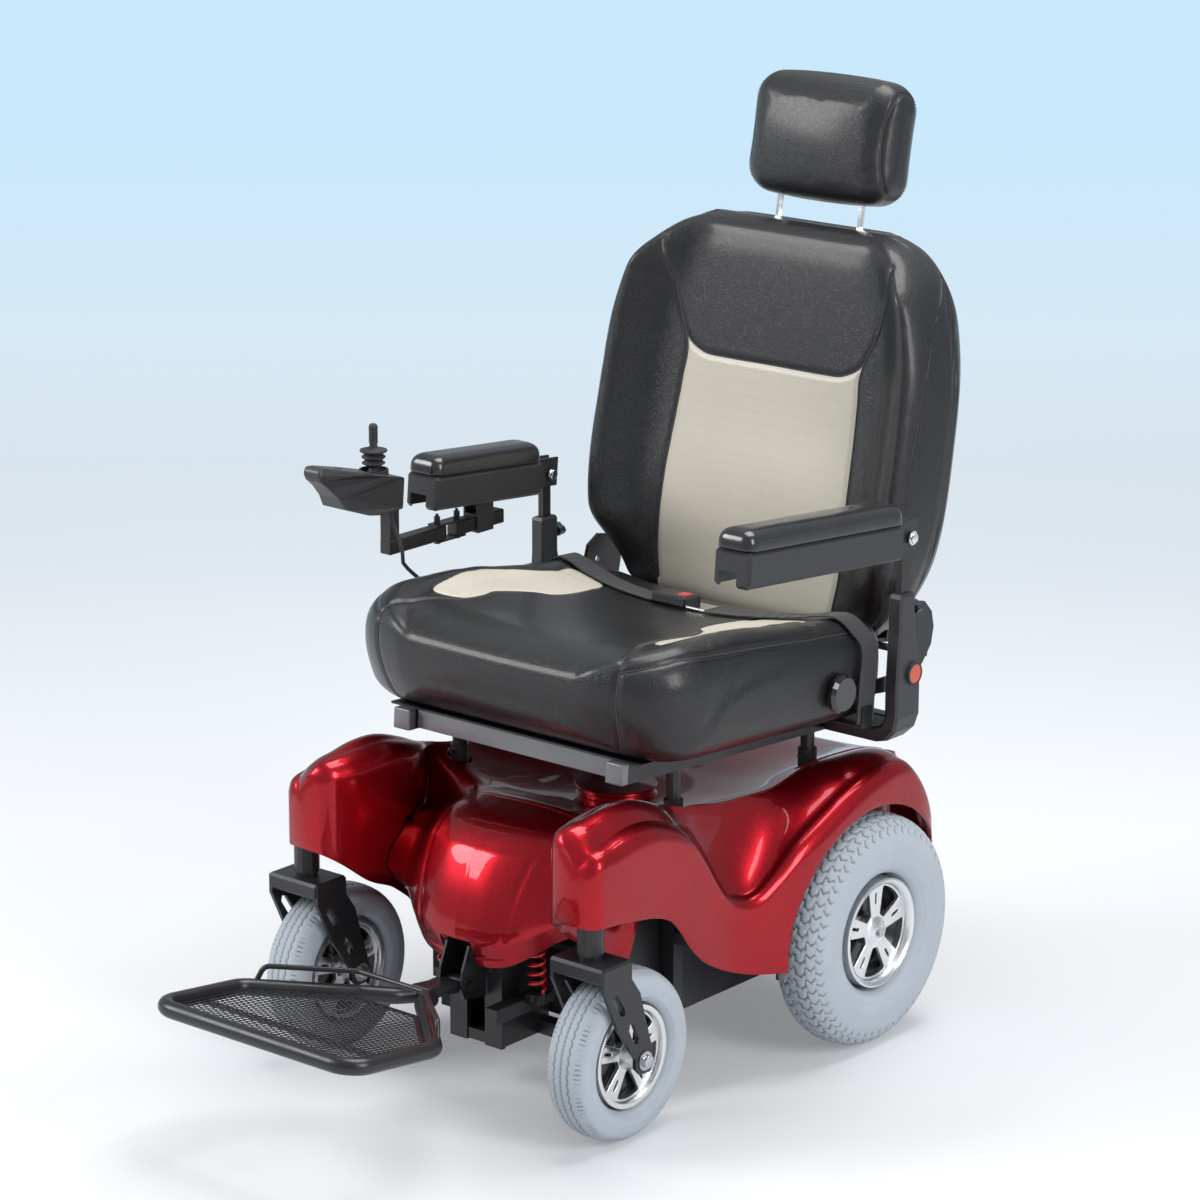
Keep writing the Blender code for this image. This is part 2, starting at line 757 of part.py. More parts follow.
# Chassis
def chassis_frame():
    half = FRAME_TUBE / 2
    thin = CROSS_TUBE / 2
    lower_z = FRAME_BOTTOM + half
    pieces = []

    def bar(x, y, z):
        pieces.append(span_block("bar", *zip(x, y, z)))

    def cross_tube(reach, y, z):
        bar((-reach, reach), (y - thin, y + thin), (z - thin, z + thin))

    cross_tube(LOWER_RAIL_X + thin, PIVOT_Y, lower_z)
    for y in (POST_FRONT_Y, POST_REAR_Y, FRAME_REAR_Y):
        cross_tube(SIDE_RAIL_X + thin - GAP, y, lower_z)
    for y in (MID_TUBE_Y, FRAME_REAR_Y):
        cross_tube(SIDE_RAIL_X, y, SIDE_RAIL_Z)
    leg_outer = COLUMN_X + COLUMN_PLATE / 2 + 0.0025
    for side in (1, -1):
        rail = both_ways(side, LOWER_RAIL_X - half, LOWER_RAIL_X + half)
        bar(rail, (PIVOT_Y - half, FRAME_REAR_Y + half), (FRAME_BOTTOM, FRAME_BOTTOM + FRAME_TUBE))
        rail = both_ways(side, SIDE_RAIL_X - half, SIDE_RAIL_X + half)
        high_z = (SIDE_RAIL_Z - half, SIDE_RAIL_Z + half)
        bar(rail, (POST_FRONT_Y - half, FRAME_REAR_Y + half), high_z)
        upright = both_ways(side, SIDE_RAIL_X - thin, SIDE_RAIL_X + thin)
        for y in (POST_FRONT_Y, FRAME_REAR_Y):
            bar(upright, (y - thin + GAP, y + thin - GAP), (FRAME_BOTTOM, SIDE_RAIL_Z))
        saddle = SADDLE_THICKNESS / 2
        bar(
            both_ways(side, SIDE_RAIL_X - saddle, SIDE_RAIL_X + saddle),
            (-SADDLE_HALF_DEPTH, SADDLE_HALF_DEPTH),
            (lower_z, SIDE_RAIL_Z),
        )
        bar(
            both_ways(side, CRADLE_X - CRADLE_THICKNESS / 2, CRADLE_X + CRADLE_THICKNESS / 2),
            (-CRADLE_HALF_DEPTH, CRADLE_HALF_DEPTH),
            (lower_z, DRIVE_RADIUS),
        )
        column = both_ways(side, COLUMN_X - COLUMN_PLATE / 2, COLUMN_X + COLUMN_PLATE / 2)
        bar(column, (LEG_FRONT_Y + 0.004, PIVOT_Y + half), (FRAME_BOTTOM + 0.002, COLUMN_TOP - 0.002))
        bar(
            both_ways(side, leg_outer - LEG_WIDTH, leg_outer),
            (LEG_FRONT_Y, LEG_FRONT_Y + COLUMN_PLATE),
            (FRAME_BOTTOM + 0.001, COLUMN_TOP),
        )
        outrigger_x = smooth(COVER_OUTER_X, POST_FRONT_Y - thin) - COVER_WALL - GAP
        bar(
            both_ways(side, SIDE_RAIL_X, outrigger_x),
            (POST_FRONT_Y - thin + 0.002, POST_FRONT_Y + thin - 0.002),
            (OUTRIGGER_Z, OUTRIGGER_Z + 0.018),
        )
        pin = [(side * x, PIVOT_Y, PIVOT_Z) for x in (COLUMN_X, PIVOT_TUBE_END_X + 0.005)]
        pieces.append(rod("pin", *pin, PIVOT_PIN_RADIUS, 12))
        collar = [
            (side * (PIVOT_TUBE_END_X + reach), PIVOT_Y, PIVOT_Z)
            for reach in (RUNNING_GAP, 0.006)
        ]
        pieces.append(rod("collar", *collar, PIVOT_PIN_RADIUS + 0.005, 12))
        for y in (POST_FRONT_Y, POST_REAR_Y):
            sleeve = [(side * SIDE_RAIL_X, y, z) for z in (SIDE_RAIL_Z, SLEEVE_TOP)]
            pieces.append(rod("sleeve", *sleeve, SLEEVE_RADIUS, 12))
            pull_pin = [
                (side * SIDE_RAIL_X, y - reach, SLEEVE_TOP - 0.010)
                for reach in (POST_RADIUS + 0.002, SLEEVE_RADIUS + 0.007)
            ]
            pieces.append(rod("pull_pin", *pull_pin, 0.003, 6))
    bar(
        (-COLUMN_X - 0.002, COLUMN_X + 0.002),
        (LEG_FRONT_Y + 0.002, PIVOT_Y),
        (FRAME_BOTTOM + 0.003, FRAME_BOTTOM + 0.020),
    )
    bar(
        (-COLUMN_X - 0.002, COLUMN_X + 0.002),
        (PIVOT_Y - 0.010, PIVOT_Y + 0.010),
        (COLUMN_TOP - 0.014, COLUMN_TOP - 0.003),
    )
    shelf = SPRING_X + SPRING_SEAT_MARGIN
    bar(
        (-shelf, shelf),
        (SPRING_Y - SPRING_SEAT_MARGIN, SPRING_Y + SPRING_SEAT_MARGIN),
        (SPRING_TOP, SPRING_TOP + 0.016),
    )
    nose_y = NOSE_PROFILE[5][0] + 2 * COVER_WALL + SEAM_GAP
    nose_z = NOSE_PROFILE[5][1]
    bar((-0.012, 0.012), (nose_y, LEG_FRONT_Y + 0.030), (nose_z - 0.012, nose_z))
    riser_y = (LEG_FRONT_Y + 0.001, LEG_FRONT_Y + 0.030)
    bar((-COLUMN_X, COLUMN_X), riser_y, (COLUMN_TOP - 0.006, nose_z - 0.004))
    stay_y = MID_TUBE_Y - CROSS_TUBE / 2
    stay_top = BOSS_TOP - BOSS_HEIGHT - GAP
    bar((-0.015, 0.015), (stay_y - 0.007, stay_y + 0.004), (SIDE_RAIL_Z, stay_top - 0.002))
    bar((-0.014, 0.014), (BOSS_Y - 0.015, stay_y + 0.003), (stay_top - 0.010, stay_top))
    frame = fuse(pieces[0], pieces[1:])
    frame.name = "chassis_frame"
    reach = SIDE_RAIL_X + FRAME_TUBE
    drill(frame, (-reach, 0, DRIVE_RADIUS), (reach, 0, DRIVE_RADIUS), MOTOR_RADIUS + GAP, 20)
    for side in (1, -1):
        for y in (POST_FRONT_Y, POST_REAR_Y):
            bore = [(side * SIDE_RAIL_X, y, z) for z in (POST_BOTTOM - 0.015, SLEEVE_TOP + 0.01)]
            drill(frame, *bore, POST_RADIUS + RUNNING_GAP, 10)
    return finish(frame, "chassis", BLACK_PAINT)


def tray_floor():
    return FRAME_BOTTOM + FRAME_TUBE + GAP


def tray_rear():
    return TRAY_FRONT_Y + 2 * TRAY_WALL + 2 * BATTERY_SIZE[1] + 3 * BATTERY_ROOM


def battery_tray():
    low = (-TRAY_HALF_WIDTH, TRAY_FRONT_Y, tray_floor())
    high = (TRAY_HALF_WIDTH, tray_rear(), tray_floor() + TRAY_HEIGHT)
    tray = span_block("battery_tray", low, high)
    hollow = span_block(
        "hollow",
        [c + TRAY_WALL for c in low],
        (high[0] - TRAY_WALL, high[1] - TRAY_WALL, high[2] + TRAY_WALL),
    )
    return finish(cut(tray, hollow), "chassis", BLACK_PLASTIC)


def battery(name, place):
    width, depth, height = BATTERY_SIZE
    front = TRAY_FRONT_Y + TRAY_WALL + BATTERY_ROOM + place * (depth + BATTERY_ROOM)
    floor = tray_floor() + TRAY_WALL + GAP
    case = span_block(
        name, (-width / 2, front, floor), (width / 2, front + depth, floor + height), 0.004
    )
    posts = []
    for x in (-0.09, 0.09):
        ends = [(x, front + depth / 2, floor + height + reach) for reach in (-0.004, 0.010)]
        posts.append(rod("terminal", *ends, 0.007, 8))
    return finish(fuse(case, posts), "chassis", BATTERY_GREY)


def control_module():
    width, depth, height = MODULE_SIZE
    floor = SIDE_RAIL_Z + CROSS_TUBE / 2 + GAP
    case = span_block(
        "control_module",
        (-width / 2, MID_TUBE_Y, floor),
        (width / 2, MID_TUBE_Y + depth, floor + height),
        0.005,
    )
    return finish(case, "chassis", BLACK_PLASTIC)


def drive_motor(name, side):
    length = MOTOR_OUTER_X - MOTOR_INNER_X
    bore = DRIVE_AXLE_RADIUS + RUNNING_GAP
    edge = 0.004
    profile = [
        (0.0, length - MOTOR_BORE_DEPTH), (bore, length - MOTOR_BORE_DEPTH), (bore, length),
        (MOTOR_RADIUS - edge, length), (MOTOR_RADIUS, length - edge), (MOTOR_RADIUS, 0.0),
        (0.0, 0.0),
    ]
    centre = (side * MOTOR_INNER_X, 0.0, DRIVE_RADIUS)
    motor = turned(name, profile, 20, centre, (0.0, side * math.pi / 2, 0.0))
    return finish(motor, "chassis", BLACK_PAINT)


# Wheels
def windows(name, inner, outer, depth, centre, rotation):
    """Five openings between the spokes of a wheel."""
    outlines = []
    for n in range(SPOKE_COUNT):
        middle = 90 + n * 360 / SPOKE_COUNT
        near = arc((0, 0), inner, middle + 15, middle - 15, 1)
        far = arc((0, 0), outer, middle - 25, middle + 25, 2)
        outlines.append(near + far)
    return plate(name, outlines, depth, centre, rotation)


def drive_rim(name, side, body_name):
    radius = DRIVE_RIM_RADIUS
    half = DRIVE_RIM_WIDTH / 2
    lip = radius - 0.009
    web = radius - 0.013
    shaft_end = -0.030 - DRIVE_AXLE_LENGTH
    profile = [
        (0.0, 0.020), (0.020, 0.020), (0.026, 0.012), (web, 0.010), (lip, half),
        (radius, half), (radius, -half), (lip, -half), (web, -0.004), (0.028, -0.004),
        (DRIVE_AXLE_RADIUS, -0.030), (DRIVE_AXLE_RADIUS, shaft_end), (0.0, shaft_end),
    ]
    centre = (side * DRIVE_X, 0.0, DRIVE_RADIUS)
    rotation = (0.0, side * math.pi / 2, 0.0)
    rim = turned(name, profile, WHEEL_STEPS, centre, rotation)
    cut(rim, windows(name, 0.034, web - 0.006, 0.060, centre, rotation))
    return finish(rim, body_name, SILVER)


def tyre(name, radius, inner, width, centre, steps, body_name):
    half = width / 2
    wall = radius - inner
    half_profile = [
        (inner, half * 0.74), (inner + wall * 0.45, half), (radius - wall * 0.10, half * 0.82),
        (radius, half * 0.36),
    ]
    profile = half_profile + [(r, -z) for r, z in reversed(half_profile)]
    ring = turned(name, profile, steps, centre, ALONG_X, closed=True)
    return finish(ring, body_name, GREY_TYRE, 50)


def caster_rim(name, side, body_name):
    radius = CASTER_RIM_RADIUS
    half = CASTER_RIM_WIDTH / 2
    hub = CASTER_WIDTH / 2 + FORK_ROOM - RUNNING_GAP
    bore = CASTER_AXLE_RADIUS + RUNNING_GAP
    lip = radius - 0.008
    web = radius - 0.012
    upper = [(bore, hub), (0.015, hub), (0.018, 0.009), (web, 0.009), (lip, half), (radius, half)]
    profile = upper + [(r, -z) for r, z in reversed(upper)]
    centre = (side * CASTER_X, CASTER_STEM_Y + CASTER_TRAIL, CASTER_RADIUS)
    rim = turned(name, profile, CASTER_STEPS, centre, ALONG_X, closed=True)
    cut(rim, windows(name, 0.024, web - 0.005, 0.040, centre, ALONG_X))
    return finish(rim, body_name, SILVER)


def capsule(start, end, radius):
    """An outline round two points, for a slot."""
    lean = math.degrees(math.atan2(end[1] - start[1], end[0] - start[0]))
    return arc(start, radius, lean + 90, lean + 270, 2) + arc(end, radius, lean - 90, lean + 90, 2)


def caster_fork(name, side, body_name):
    x = side * CASTER_X
    inner = CASTER_WIDTH / 2 + FORK_ROOM
    outer = inner + FORK_PLATE
    crown_low = FORK_CROWN_TOP - FORK_CROWN_HEIGHT
    crown = span_block(
        name,
        (x - outer - GAP, CASTER_STEM_Y - 0.033, crown_low),
        (x + outer + GAP, CASTER_STEM_Y + 0.034, FORK_CROWN_TOP),
        0.004,
    )
    axle = (CASTER_TRAIL, CASTER_RADIUS)
    leg = [(-0.030, FORK_CROWN_TOP - 0.003), (-0.030, crown_low - 0.008), (0.002, 0.188)]
    leg += arc(axle, 0.021, 160, 380, 5)
    leg += [(0.062, 0.190), (0.050, 0.232), (0.031, crown_low - 0.004), (0.031, FORK_CROWN_TOP - 0.003)]
    slots = [capsule((-0.006, 0.240), (0.012, 0.212), 0.006), capsule((0.030, 0.186), (0.042, 0.162), 0.006)]
    pieces = []
    for way in (1, -1):
        middle = x + way * (inner + FORK_PLATE / 2)
        pieces.append(plate("leg", [leg] + slots, FORK_PLATE, (middle, CASTER_STEM_Y, 0), YZ_PLATE))
        head = [
            (x + way * (outer + reach), CASTER_STEM_Y + CASTER_TRAIL, CASTER_RADIUS)
            for reach in (-0.001, 0.007)
        ]
        pieces.append(rod("head", *head, CASTER_AXLE_RADIUS + 0.005, 6))
    bolt = [(x + way * (outer + 0.004), CASTER_STEM_Y + CASTER_TRAIL, CASTER_RADIUS) for way in (-1, 1)]
    pieces.append(rod("axle", *bolt, CASTER_AXLE_RADIUS, 8))
    stem = [(x, CASTER_STEM_Y, z) for z in (crown_low + 0.004, STEM_TOP)]
    pieces.append(rod("stem", *stem, STEM_RADIUS, 12))
    washer = [(x, CASTER_STEM_Y, z) for z in (FORK_CROWN_TOP - 0.002, BARREL_BOTTOM - RUNNING_GAP)]
    pieces.append(rod("washer", *washer, BARREL_RADIUS - 0.003, 12))
    return finish(fuse(crown, pieces), body_name, BLACK_PAINT)


# Front suspension
def suspension_arm(name, side, body_name):
    start = COLUMN_X + COLUMN_PLATE / 2 + RUNNING_GAP
    ends = [(side * x, PIVOT_Y, PIVOT_Z) for x in (start, PIVOT_TUBE_END_X)]
    arm = rod(name, *ends, PIVOT_TUBE_RADIUS, 14)
    half = ARM_BAR / 2
    slim = half - 0.0008
    seat_z = SPRING_BOTTOM - 0.002
    lever = [
        (PIVOT_Y + 0.010, PIVOT_Z + 0.004), (PIVOT_Y - 0.006, PIVOT_Z + 0.012),
        (SPRING_Y + 0.020, seat_z), (SPRING_Y - 0.014, seat_z),
        (SPRING_Y - 0.014, seat_z - 0.014), (SPRING_Y + 0.022, seat_z - 0.016),
        (PIVOT_Y + 0.010, PIVOT_Z - 0.012),
    ]
    pieces = [plate("lever", [lever], 0.024, (side * SPRING_X, 0, 0), YZ_PLATE)]
    seat = [(side * SPRING_X, SPRING_Y, z) for z in (SPRING_BOTTOM - 0.010, SPRING_BOTTOM - GAP)]
    pieces.append(rod("seat", *seat, SPRING_RADIUS + SPRING_WIRE_RADIUS + 0.001, 12))

    def bar(x, y, z):
        pieces.append(span_block("bar", *zip(both_ways(side, *x), y, z)))

    bar((STUB_X, STUB_X + CROSS_TUBE), (STUB_FRONT_Y, SPRING_Y + 0.015), (seat_z - 0.028, seat_z - 0.006))
    bar(
        (ARM_UPRIGHT_X - half, ARM_UPRIGHT_X + half),
        (PIVOT_Y - half, PIVOT_Y + half - ARM_RELIEF),
        (PIVOT_Z, ARM_CROSS_Z + slim),
    )
    bar(
        (ARM_UPRIGHT_X, ARM_BEAM_X + slim),
        (PIVOT_Y - slim, PIVOT_Y + slim),
        (ARM_CROSS_Z - half, ARM_CROSS_Z + half),
    )
    bar(
        (ARM_BEAM_X - half, ARM_BEAM_X + half),
        (CASTER_STEM_Y + 0.008, PIVOT_Y + half),
        (ARM_CROSS_Z - slim + 0.0004, ARM_CROSS_Z + slim - 0.0004),
    )
    barrel = [(side * CASTER_X, CASTER_STEM_Y, z) for z in (BARREL_BOTTOM, BARREL_TOP)]
    pieces.append(rod("barrel", *barrel, BARREL_RADIUS, 16))
    fuse(arm, pieces)
    bore = [(side * x, PIVOT_Y, PIVOT_Z) for x in (start - 0.02, PIVOT_TUBE_END_X + 0.02)]
    drill(arm, *bore, PIVOT_PIN_RADIUS + RUNNING_GAP, 12)
    bore = [(side * CASTER_X, CASTER_STEM_Y, z) for z in (BARREL_BOTTOM - 0.01, STEM_TOP + 0.004)]
    drill(arm, *bore, STEM_RADIUS + RUNNING_GAP, 12)
    return finish(arm, body_name, BLACK_PAINT)


def least_gap(points, radius, apart):
    """Least gap between the turns of a tube, from its points."""
    nearest = min(
        (first - second).length
        for n, first in enumerate(points)
        for second in points[n + apart:]
    )
    return nearest - 2 * radius


def spring(name, side):
    straight = 2 * SPRING_WIRE_RADIUS
    low = SPRING_BOTTOM + straight
    high = SPRING_TOP - GAP - straight
    count = SPRING_CURLS * CURL_POINTS
    points = [Vector((side * SPRING_X + SPRING_RADIUS, SPRING_Y, SPRING_BOTTOM))]
    for n in range(count + 1):
        angle = side * 2 * math.pi * n / CURL_POINTS
        points.append(Vector((
            side * SPRING_X + SPRING_RADIUS * math.cos(angle),
            SPRING_Y + SPRING_RADIUS * math.sin(angle),
            low + (high - low) * n / count,
        )))
    points.append(points[-1] + Vector((0.0, 0.0, straight)))
    gap = least_gap(points, SPRING_WIRE_RADIUS, CURL_POINTS // 2)
    print(f"{name}: least gap between curls {gap * 1000:.2f} mm")
    coil = tube(name, points, SPRING_WIRE_RADIUS, 1)
    return finish(coil, "chassis", RED_SPRING)


# Covers
def side_section(y):
    """Outline of a side cover across the chair at one place along it."""
    inner = smooth(COVER_INNER_X, y)
    outer = smooth(COVER_OUTER_X, y)
    top = smooth(INNER_TOP_Z, y)
    shoulder = smooth(SHOULDER_Z, y)
    inner_round = smooth(INNER_ROUND, y)
    outer_round = smooth(OUTER_ROUND, y)
    crown = smooth(COVER_CROWN, y)
    points = [(inner, smooth(INNER_LOW_Z, y))]
    points += arc((inner + inner_round, top - inner_round), inner_round, 180, 90, 2)
    start = inner + inner_round
    end = outer - outer_round
    for t in (0.33, 0.67):
        height = top + (shoulder - top) * t + crown * 4 * t * (1 - t)
        points.append((start + (end - start) * t, height))
    points += arc((end, shoulder - outer_round), outer_round, 90, 0, 2)
    points.append((outer, smooth(OUTER_LOW_Z, y)))
    return points


def side_covers():
    bm = bmesh.new()
    rows = [[(-x, y, z) for x, z in side_section(y)] for y in COVER_STATIONS]
    lines = grid_faces(bm, rows, flip=True)
    caps = [bm.faces.new(lines[0]), bm.faces.new(lines[-1][::-1])]
    bmesh.ops.triangulate(bm, faces=caps)
    right = shell("side_cover_right", bm, COVER_WALL)
    arch = [(-x, 0.0, DRIVE_RADIUS) for x in (ARCH_CUT_X, ARCH_COVER_X + 0.06)]
    drill(right, *arch, DRIVE_RADIUS + ARCH_ROOM, 32)
    passage = span_block(
        "passage",
        (-COVER_SEAM_X - 0.014, PIVOT_Y - 0.030, ARM_CROSS_Z - 0.034),
        (-NOSE_WINDOW_X, PIVOT_Y + 0.060, ARM_CROSS_Z + 0.032),
    )
    cut(right, passage)
    bpy.context.view_layer.update()
    graph = bpy.context.evaluated_depsgraph_get()
    bm = bmesh.new()
    bm.from_mesh(bpy.data.meshes.new_from_object(right.evaluated_get(graph)))
    bm.transform(Matrix.Scale(-1, 4, (1, 0, 0)))
    bmesh.ops.reverse_faces(bm, faces=bm.faces)
    left = mesh_object("side_cover_left", bm)
    for cover in (right, left):
        finish(cover, "chassis", RED_PAINT, 50)


def nose_point(across, place):
    """A point of the nose, by its share of the half width and its place down the profile."""
    centre_y = smooth([(n, knot[0]) for n, knot in enumerate(NOSE_PROFILE)], place)
    centre_z = smooth([(n, knot[1]) for n, knot in enumerate(NOSE_PROFILE)], place)
    nose_top = NOSE_PROFILE[0][1]
    depth = ease((NOSE_SEAM_Y - centre_y) / NOSE_BLEND)
    edge_y = centre_y + NOSE_RECESS[-1][1] * depth
    x = across * (smooth(COVER_INNER_X, edge_y) - SEAM_GAP)
    y = centre_y + smooth(NOSE_RECESS, abs(x)) * depth
    fall = (nose_top - centre_z) / (nose_top - NOSE_BOTTOM)
    top = nose_top - smooth(NOSE_DROP, abs(x))
    return x, y, top - fall * (top - smooth(NOSE_LOW_Z, abs(x)))


def nose_cover():
    bm = bmesh.new()
    places = spread(0, len(NOSE_PROFILE) - 1, NOSE_ROWS)
    columns = spread(-1, 1, NOSE_COLUMNS)
    grid_faces(bm, [[nose_point(across, place) for across in columns] for place in places], True)
    cover = shell("nose_cover", bm, COVER_WALL)
    notch = span_block(
        "notch", (-NOTCH_HALF_WIDTH, -0.62, NOSE_BOTTOM - 0.05), (NOTCH_HALF_WIDTH, -0.51, NOTCH_TOP)
    )
    return finish(cut(cover, notch), "chassis", RED_PAINT, 50)


def top_point(across, y):
    """A point of the top cover's upper surface."""
    half = smooth(COVER_INNER_X, y) - SEAM_GAP
    x = across * half
    pull = TOP_CORNER_PULL * ease((y - 0.120) / 0.080)
    centre = smooth(TOP_CENTRE_Z, y)
    edge = smooth(TOP_EDGE_Z, y - pull)
    z = centre + (edge - centre) * abs(across) ** 3.2
    front = ease((-0.345 - y) / (-0.345 - NOSE_SEAM_Y))
    z += (NOSE_PROFILE[0][1] - smooth(NOSE_DROP, abs(x)) - z) * front
    return x, y - pull * abs(across) ** 4, z


def top_cover():
    bm = bmesh.new()
    columns = spread(-1, 1, TOP_COLUMNS)
    rows = [[top_point(across, y) for across in columns] for y in TOP_STATIONS]
    half = COVER_SEAM_X - SEAM_GAP
    for y, z in TOP_REAR_WALL:
        rows.append([(a * half, y - TOP_CORNER_PULL * abs(a) ** 4, z) for a in columns])
    grid_faces(bm, rows)
    cover = shell("top_cover", bm, COVER_WALL)
    boss = rod("boss", (0, BOSS_Y, BOSS_TOP - BOSS_HEIGHT), (0, BOSS_Y, BOSS_TOP), BOSS_RADIUS, 24)
    gland = rod(
        "gland",
        (GLAND_X, GLAND_Y, GLAND_TOP - GLAND_HEIGHT),
        (GLAND_X, GLAND_Y, GLAND_TOP),
        GLAND_RADIUS,
        10,
    )
    fuse(cover, [boss, gland])
    for side in (1, -1):
        for y in (POST_FRONT_Y, POST_REAR_Y):
            hole = [(side * SIDE_RAIL_X, y, z) for z in (SIDE_RAIL_Z + 0.06, SLEEVE_TOP + 0.03)]
            drill(cover, *hole, SLEEVE_RADIUS + COVER_GAP, 12)
    return finish(cover, "chassis", RED_PAINT, 50)


# Seat
SEAT_ORIGIN = (0.0, SEAT_FRONT_Y, SEAT_FRONT_Z)
BACK_ORIGIN = (0.0, BACK_FOOT_Y, BACK_FOOT_Z)


def seat_block(name, low, high, rounding=0.0, segments=1):
    return tilted_block(name, SEAT_ORIGIN, SEAT_TILT, low, high, rounding, segments)


def back_block(name, low, high, rounding=0.0, segments=1):
    return tilted_block(name, BACK_ORIGIN, BACK_LEAN, low, high, rounding, segments)


def along_seat(y):
    """Place along the seat tubes of a world Y."""
    return (y - SEAT_FRONT_Y) / math.cos(SEAT_TILT)


def seat_frame():
    half = SEAT_TUBE / 2
    rear = SEAT_TUBE_LENGTH
    pieces = []
    for side in (1, -1):
        x = both_ways(side, SEAT_TUBE_X - half, SEAT_TUBE_X + half)
        pieces.append(seat_block("tube", (x[0], 0.0, -half), (x[1], rear, half)))
        for y in (POST_FRONT_Y, POST_REAR_Y):
            top = SEAT_FRONT_Z - (y - SEAT_FRONT_Y) * math.tan(SEAT_TILT)
            post = [(side * SIDE_RAIL_X, y, z) for z in (POST_BOTTOM, top)]
            pieces.append(rod("post", *post, POST_RADIUS, 10))
        lug = [(HINGE_Y - 0.016, HINGE_Z - 0.078), (HINGE_Y + 0.016, HINGE_Z - 0.078)]
        lug += arc((HINGE_Y, HINGE_Z), 0.018, 0, 180, 4)
        pieces.append(plate("lug", [lug], HINGE_PLATE, (side * LUG_X, 0, 0), YZ_PLATE))
        pin_end = BACK_PLATE_X + HINGE_PLATE / 2
        if side > 0:
            pin_end = LEVER_X + LEVER_THICKNESS / 2
        ends = [(side * x, HINGE_Y, HINGE_Z) for x in (LUG_X, pin_end + 0.002)]
        pieces.append(rod("hinge_pin", *ends, HINGE_PIN_RADIUS, 10))
        ends = [(side * x, HINGE_Y, HINGE_Z) for x in (pin_end + RUNNING_GAP, pin_end + 0.003)]
        pieces.append(rod("pin_head", *ends, HINGE_PIN_RADIUS + 0.003, 10))
        anchor = along_seat(BELT_ANCHOR_Y)
        ear = BELT_X + BELT_THICKNESS / 2 + GAP
        x = both_ways(side, SEAT_PAN_HALF_WIDTH - 0.006, ear + 0.001)
        ear_low = half - 0.0002
        tab = (x[0], anchor - 0.012, ear_low), (x[1], anchor + 0.012, ear_low + 0.0025)
        pieces.append(seat_block("tab", *tab))
        x = both_ways(side, ear, ear + 0.0025)
        ear = (x[0], anchor - 0.0125, half - 0.001), (x[1], anchor + 0.0125, half + 0.032)
        pieces.append(seat_block("ear", *ear))
    pan = SEAT_PAN_HALF_WIDTH
    frame = seat_block(
        "seat_frame",
        (-pan, 0.012, half - 0.0005),
        (pan, SEAT_CUSHION_REAR - 0.010, half + SEAT_PAN_THICKNESS),
    )
    reach = SEAT_TUBE_X
    front_bar = (-reach, 0.015, -half + 0.002), (reach, 0.040, half - 0.001)
    pieces.append(seat_block("front_bar", *front_bar))
    rear_bar = (-reach, 0.400, -half + 0.003), (reach, 0.425, half - 0.004)
    pieces.append(seat_block("rear_bar", *rear_bar))
    reach = LUG_X + HINGE_PLATE / 2 - 0.001
    hinge_tube = (-reach, rear - 0.024, -half + 0.004), (reach, rear - 0.002, half - 0.0045)
    pieces.append(seat_block("hinge_tube", *hinge_tube))
    return finish(fuse(frame, pieces), "seat", BLACK_PAINT)


def seat_shape(u, v, w):
    """A point of the seat cushion, in the seat's leaning frame."""
    half = (SEAT_HALF_WIDTH, (SEAT_CUSHION_REAR - SEAT_CUSHION_FRONT) / 2, SEAT_SEAM_REAR / 2)
    point = rounded([c * h for c, h in zip((u, v, w), half)], half, (0.048, 0.052, 0.034))
    across = min(abs(point.x) / half[0], 1.0)
    along = point.y / half[1]
    level = min(max((point.z / half[2] + 1) / 2, 0.0), 1.0)
    top = SEAT_SEAM_FRONT + (SEAT_SEAM_REAR - SEAT_SEAM_FRONT) * (along + 1) / 2
    base = SEAT_TUBE / 2 + SEAT_PAN_THICKNESS + GAP
    upper = ease(level * 1.6 - 0.6)
    scoop = -0.017 * max(0.0, 1 - (across / 0.74) ** 2) ** 1.5 * ease((along + 1.15) / 0.8)
    swell = 0.42 + 0.58 * math.exp(-((along + 0.20) / 0.50) ** 2)
    bolster = SEAT_BOLSTER * swell * math.exp(-((across - 0.87) / 0.12) ** 2)
    channel = -0.005 * math.exp(-((across - SEAT_CHANNEL) / 0.016) ** 2)
    fall = -0.014 * ease((-along - 0.62) / 0.38)
    front = ease((-along - 0.45) / 0.55)
    side = ease((across - 0.75) / 0.25)
    bulge = 1 - (2 * level - 1) ** 2
    corner = max(0.0, 1 - (point.y + half[1]) / SEAT_CORNER)
    narrow = SEAT_CORNER * (1 - math.sqrt(1 - min(corner, 0.98) ** 2))
    x = point.x * (1 - narrow / half[0]) + math.copysign(0.008, point.x) * bulge * side
    y = (SEAT_CUSHION_FRONT + SEAT_CUSHION_REAR) / 2 + point.y
    y += front * (0.044 * (1 - level) ** 2.2 - 0.010 * bulge)
    z = base + level * (top - base) + upper * (scoop + bolster + channel + fall)
    return Vector((x, y, z))


def mirrored(values):
    return sorted([-value for value in values if value] + list(values))


def seat_cushion():
    edge = 0.035
    channel = (SEAT_CHANNEL - edge, SEAT_CHANNEL, SEAT_CHANNEL + edge)
    columns = mirrored((0.0, 0.36, *channel, 0.87, 0.95))
    rows = (-0.955, -0.87, -0.76, -0.6, -0.25, 0.1, 0.5, 0.85, 0.955)
    cushion = pillow("seat_cushion", columns, rows, (-0.5, 0.2, 0.75), seat_shape)
    cushion.location = SEAT_ORIGIN
    cushion.rotation_euler = (-SEAT_TILT, 0.0, 0.0)
    return finish(cushion, "seat", VINYL, 60)


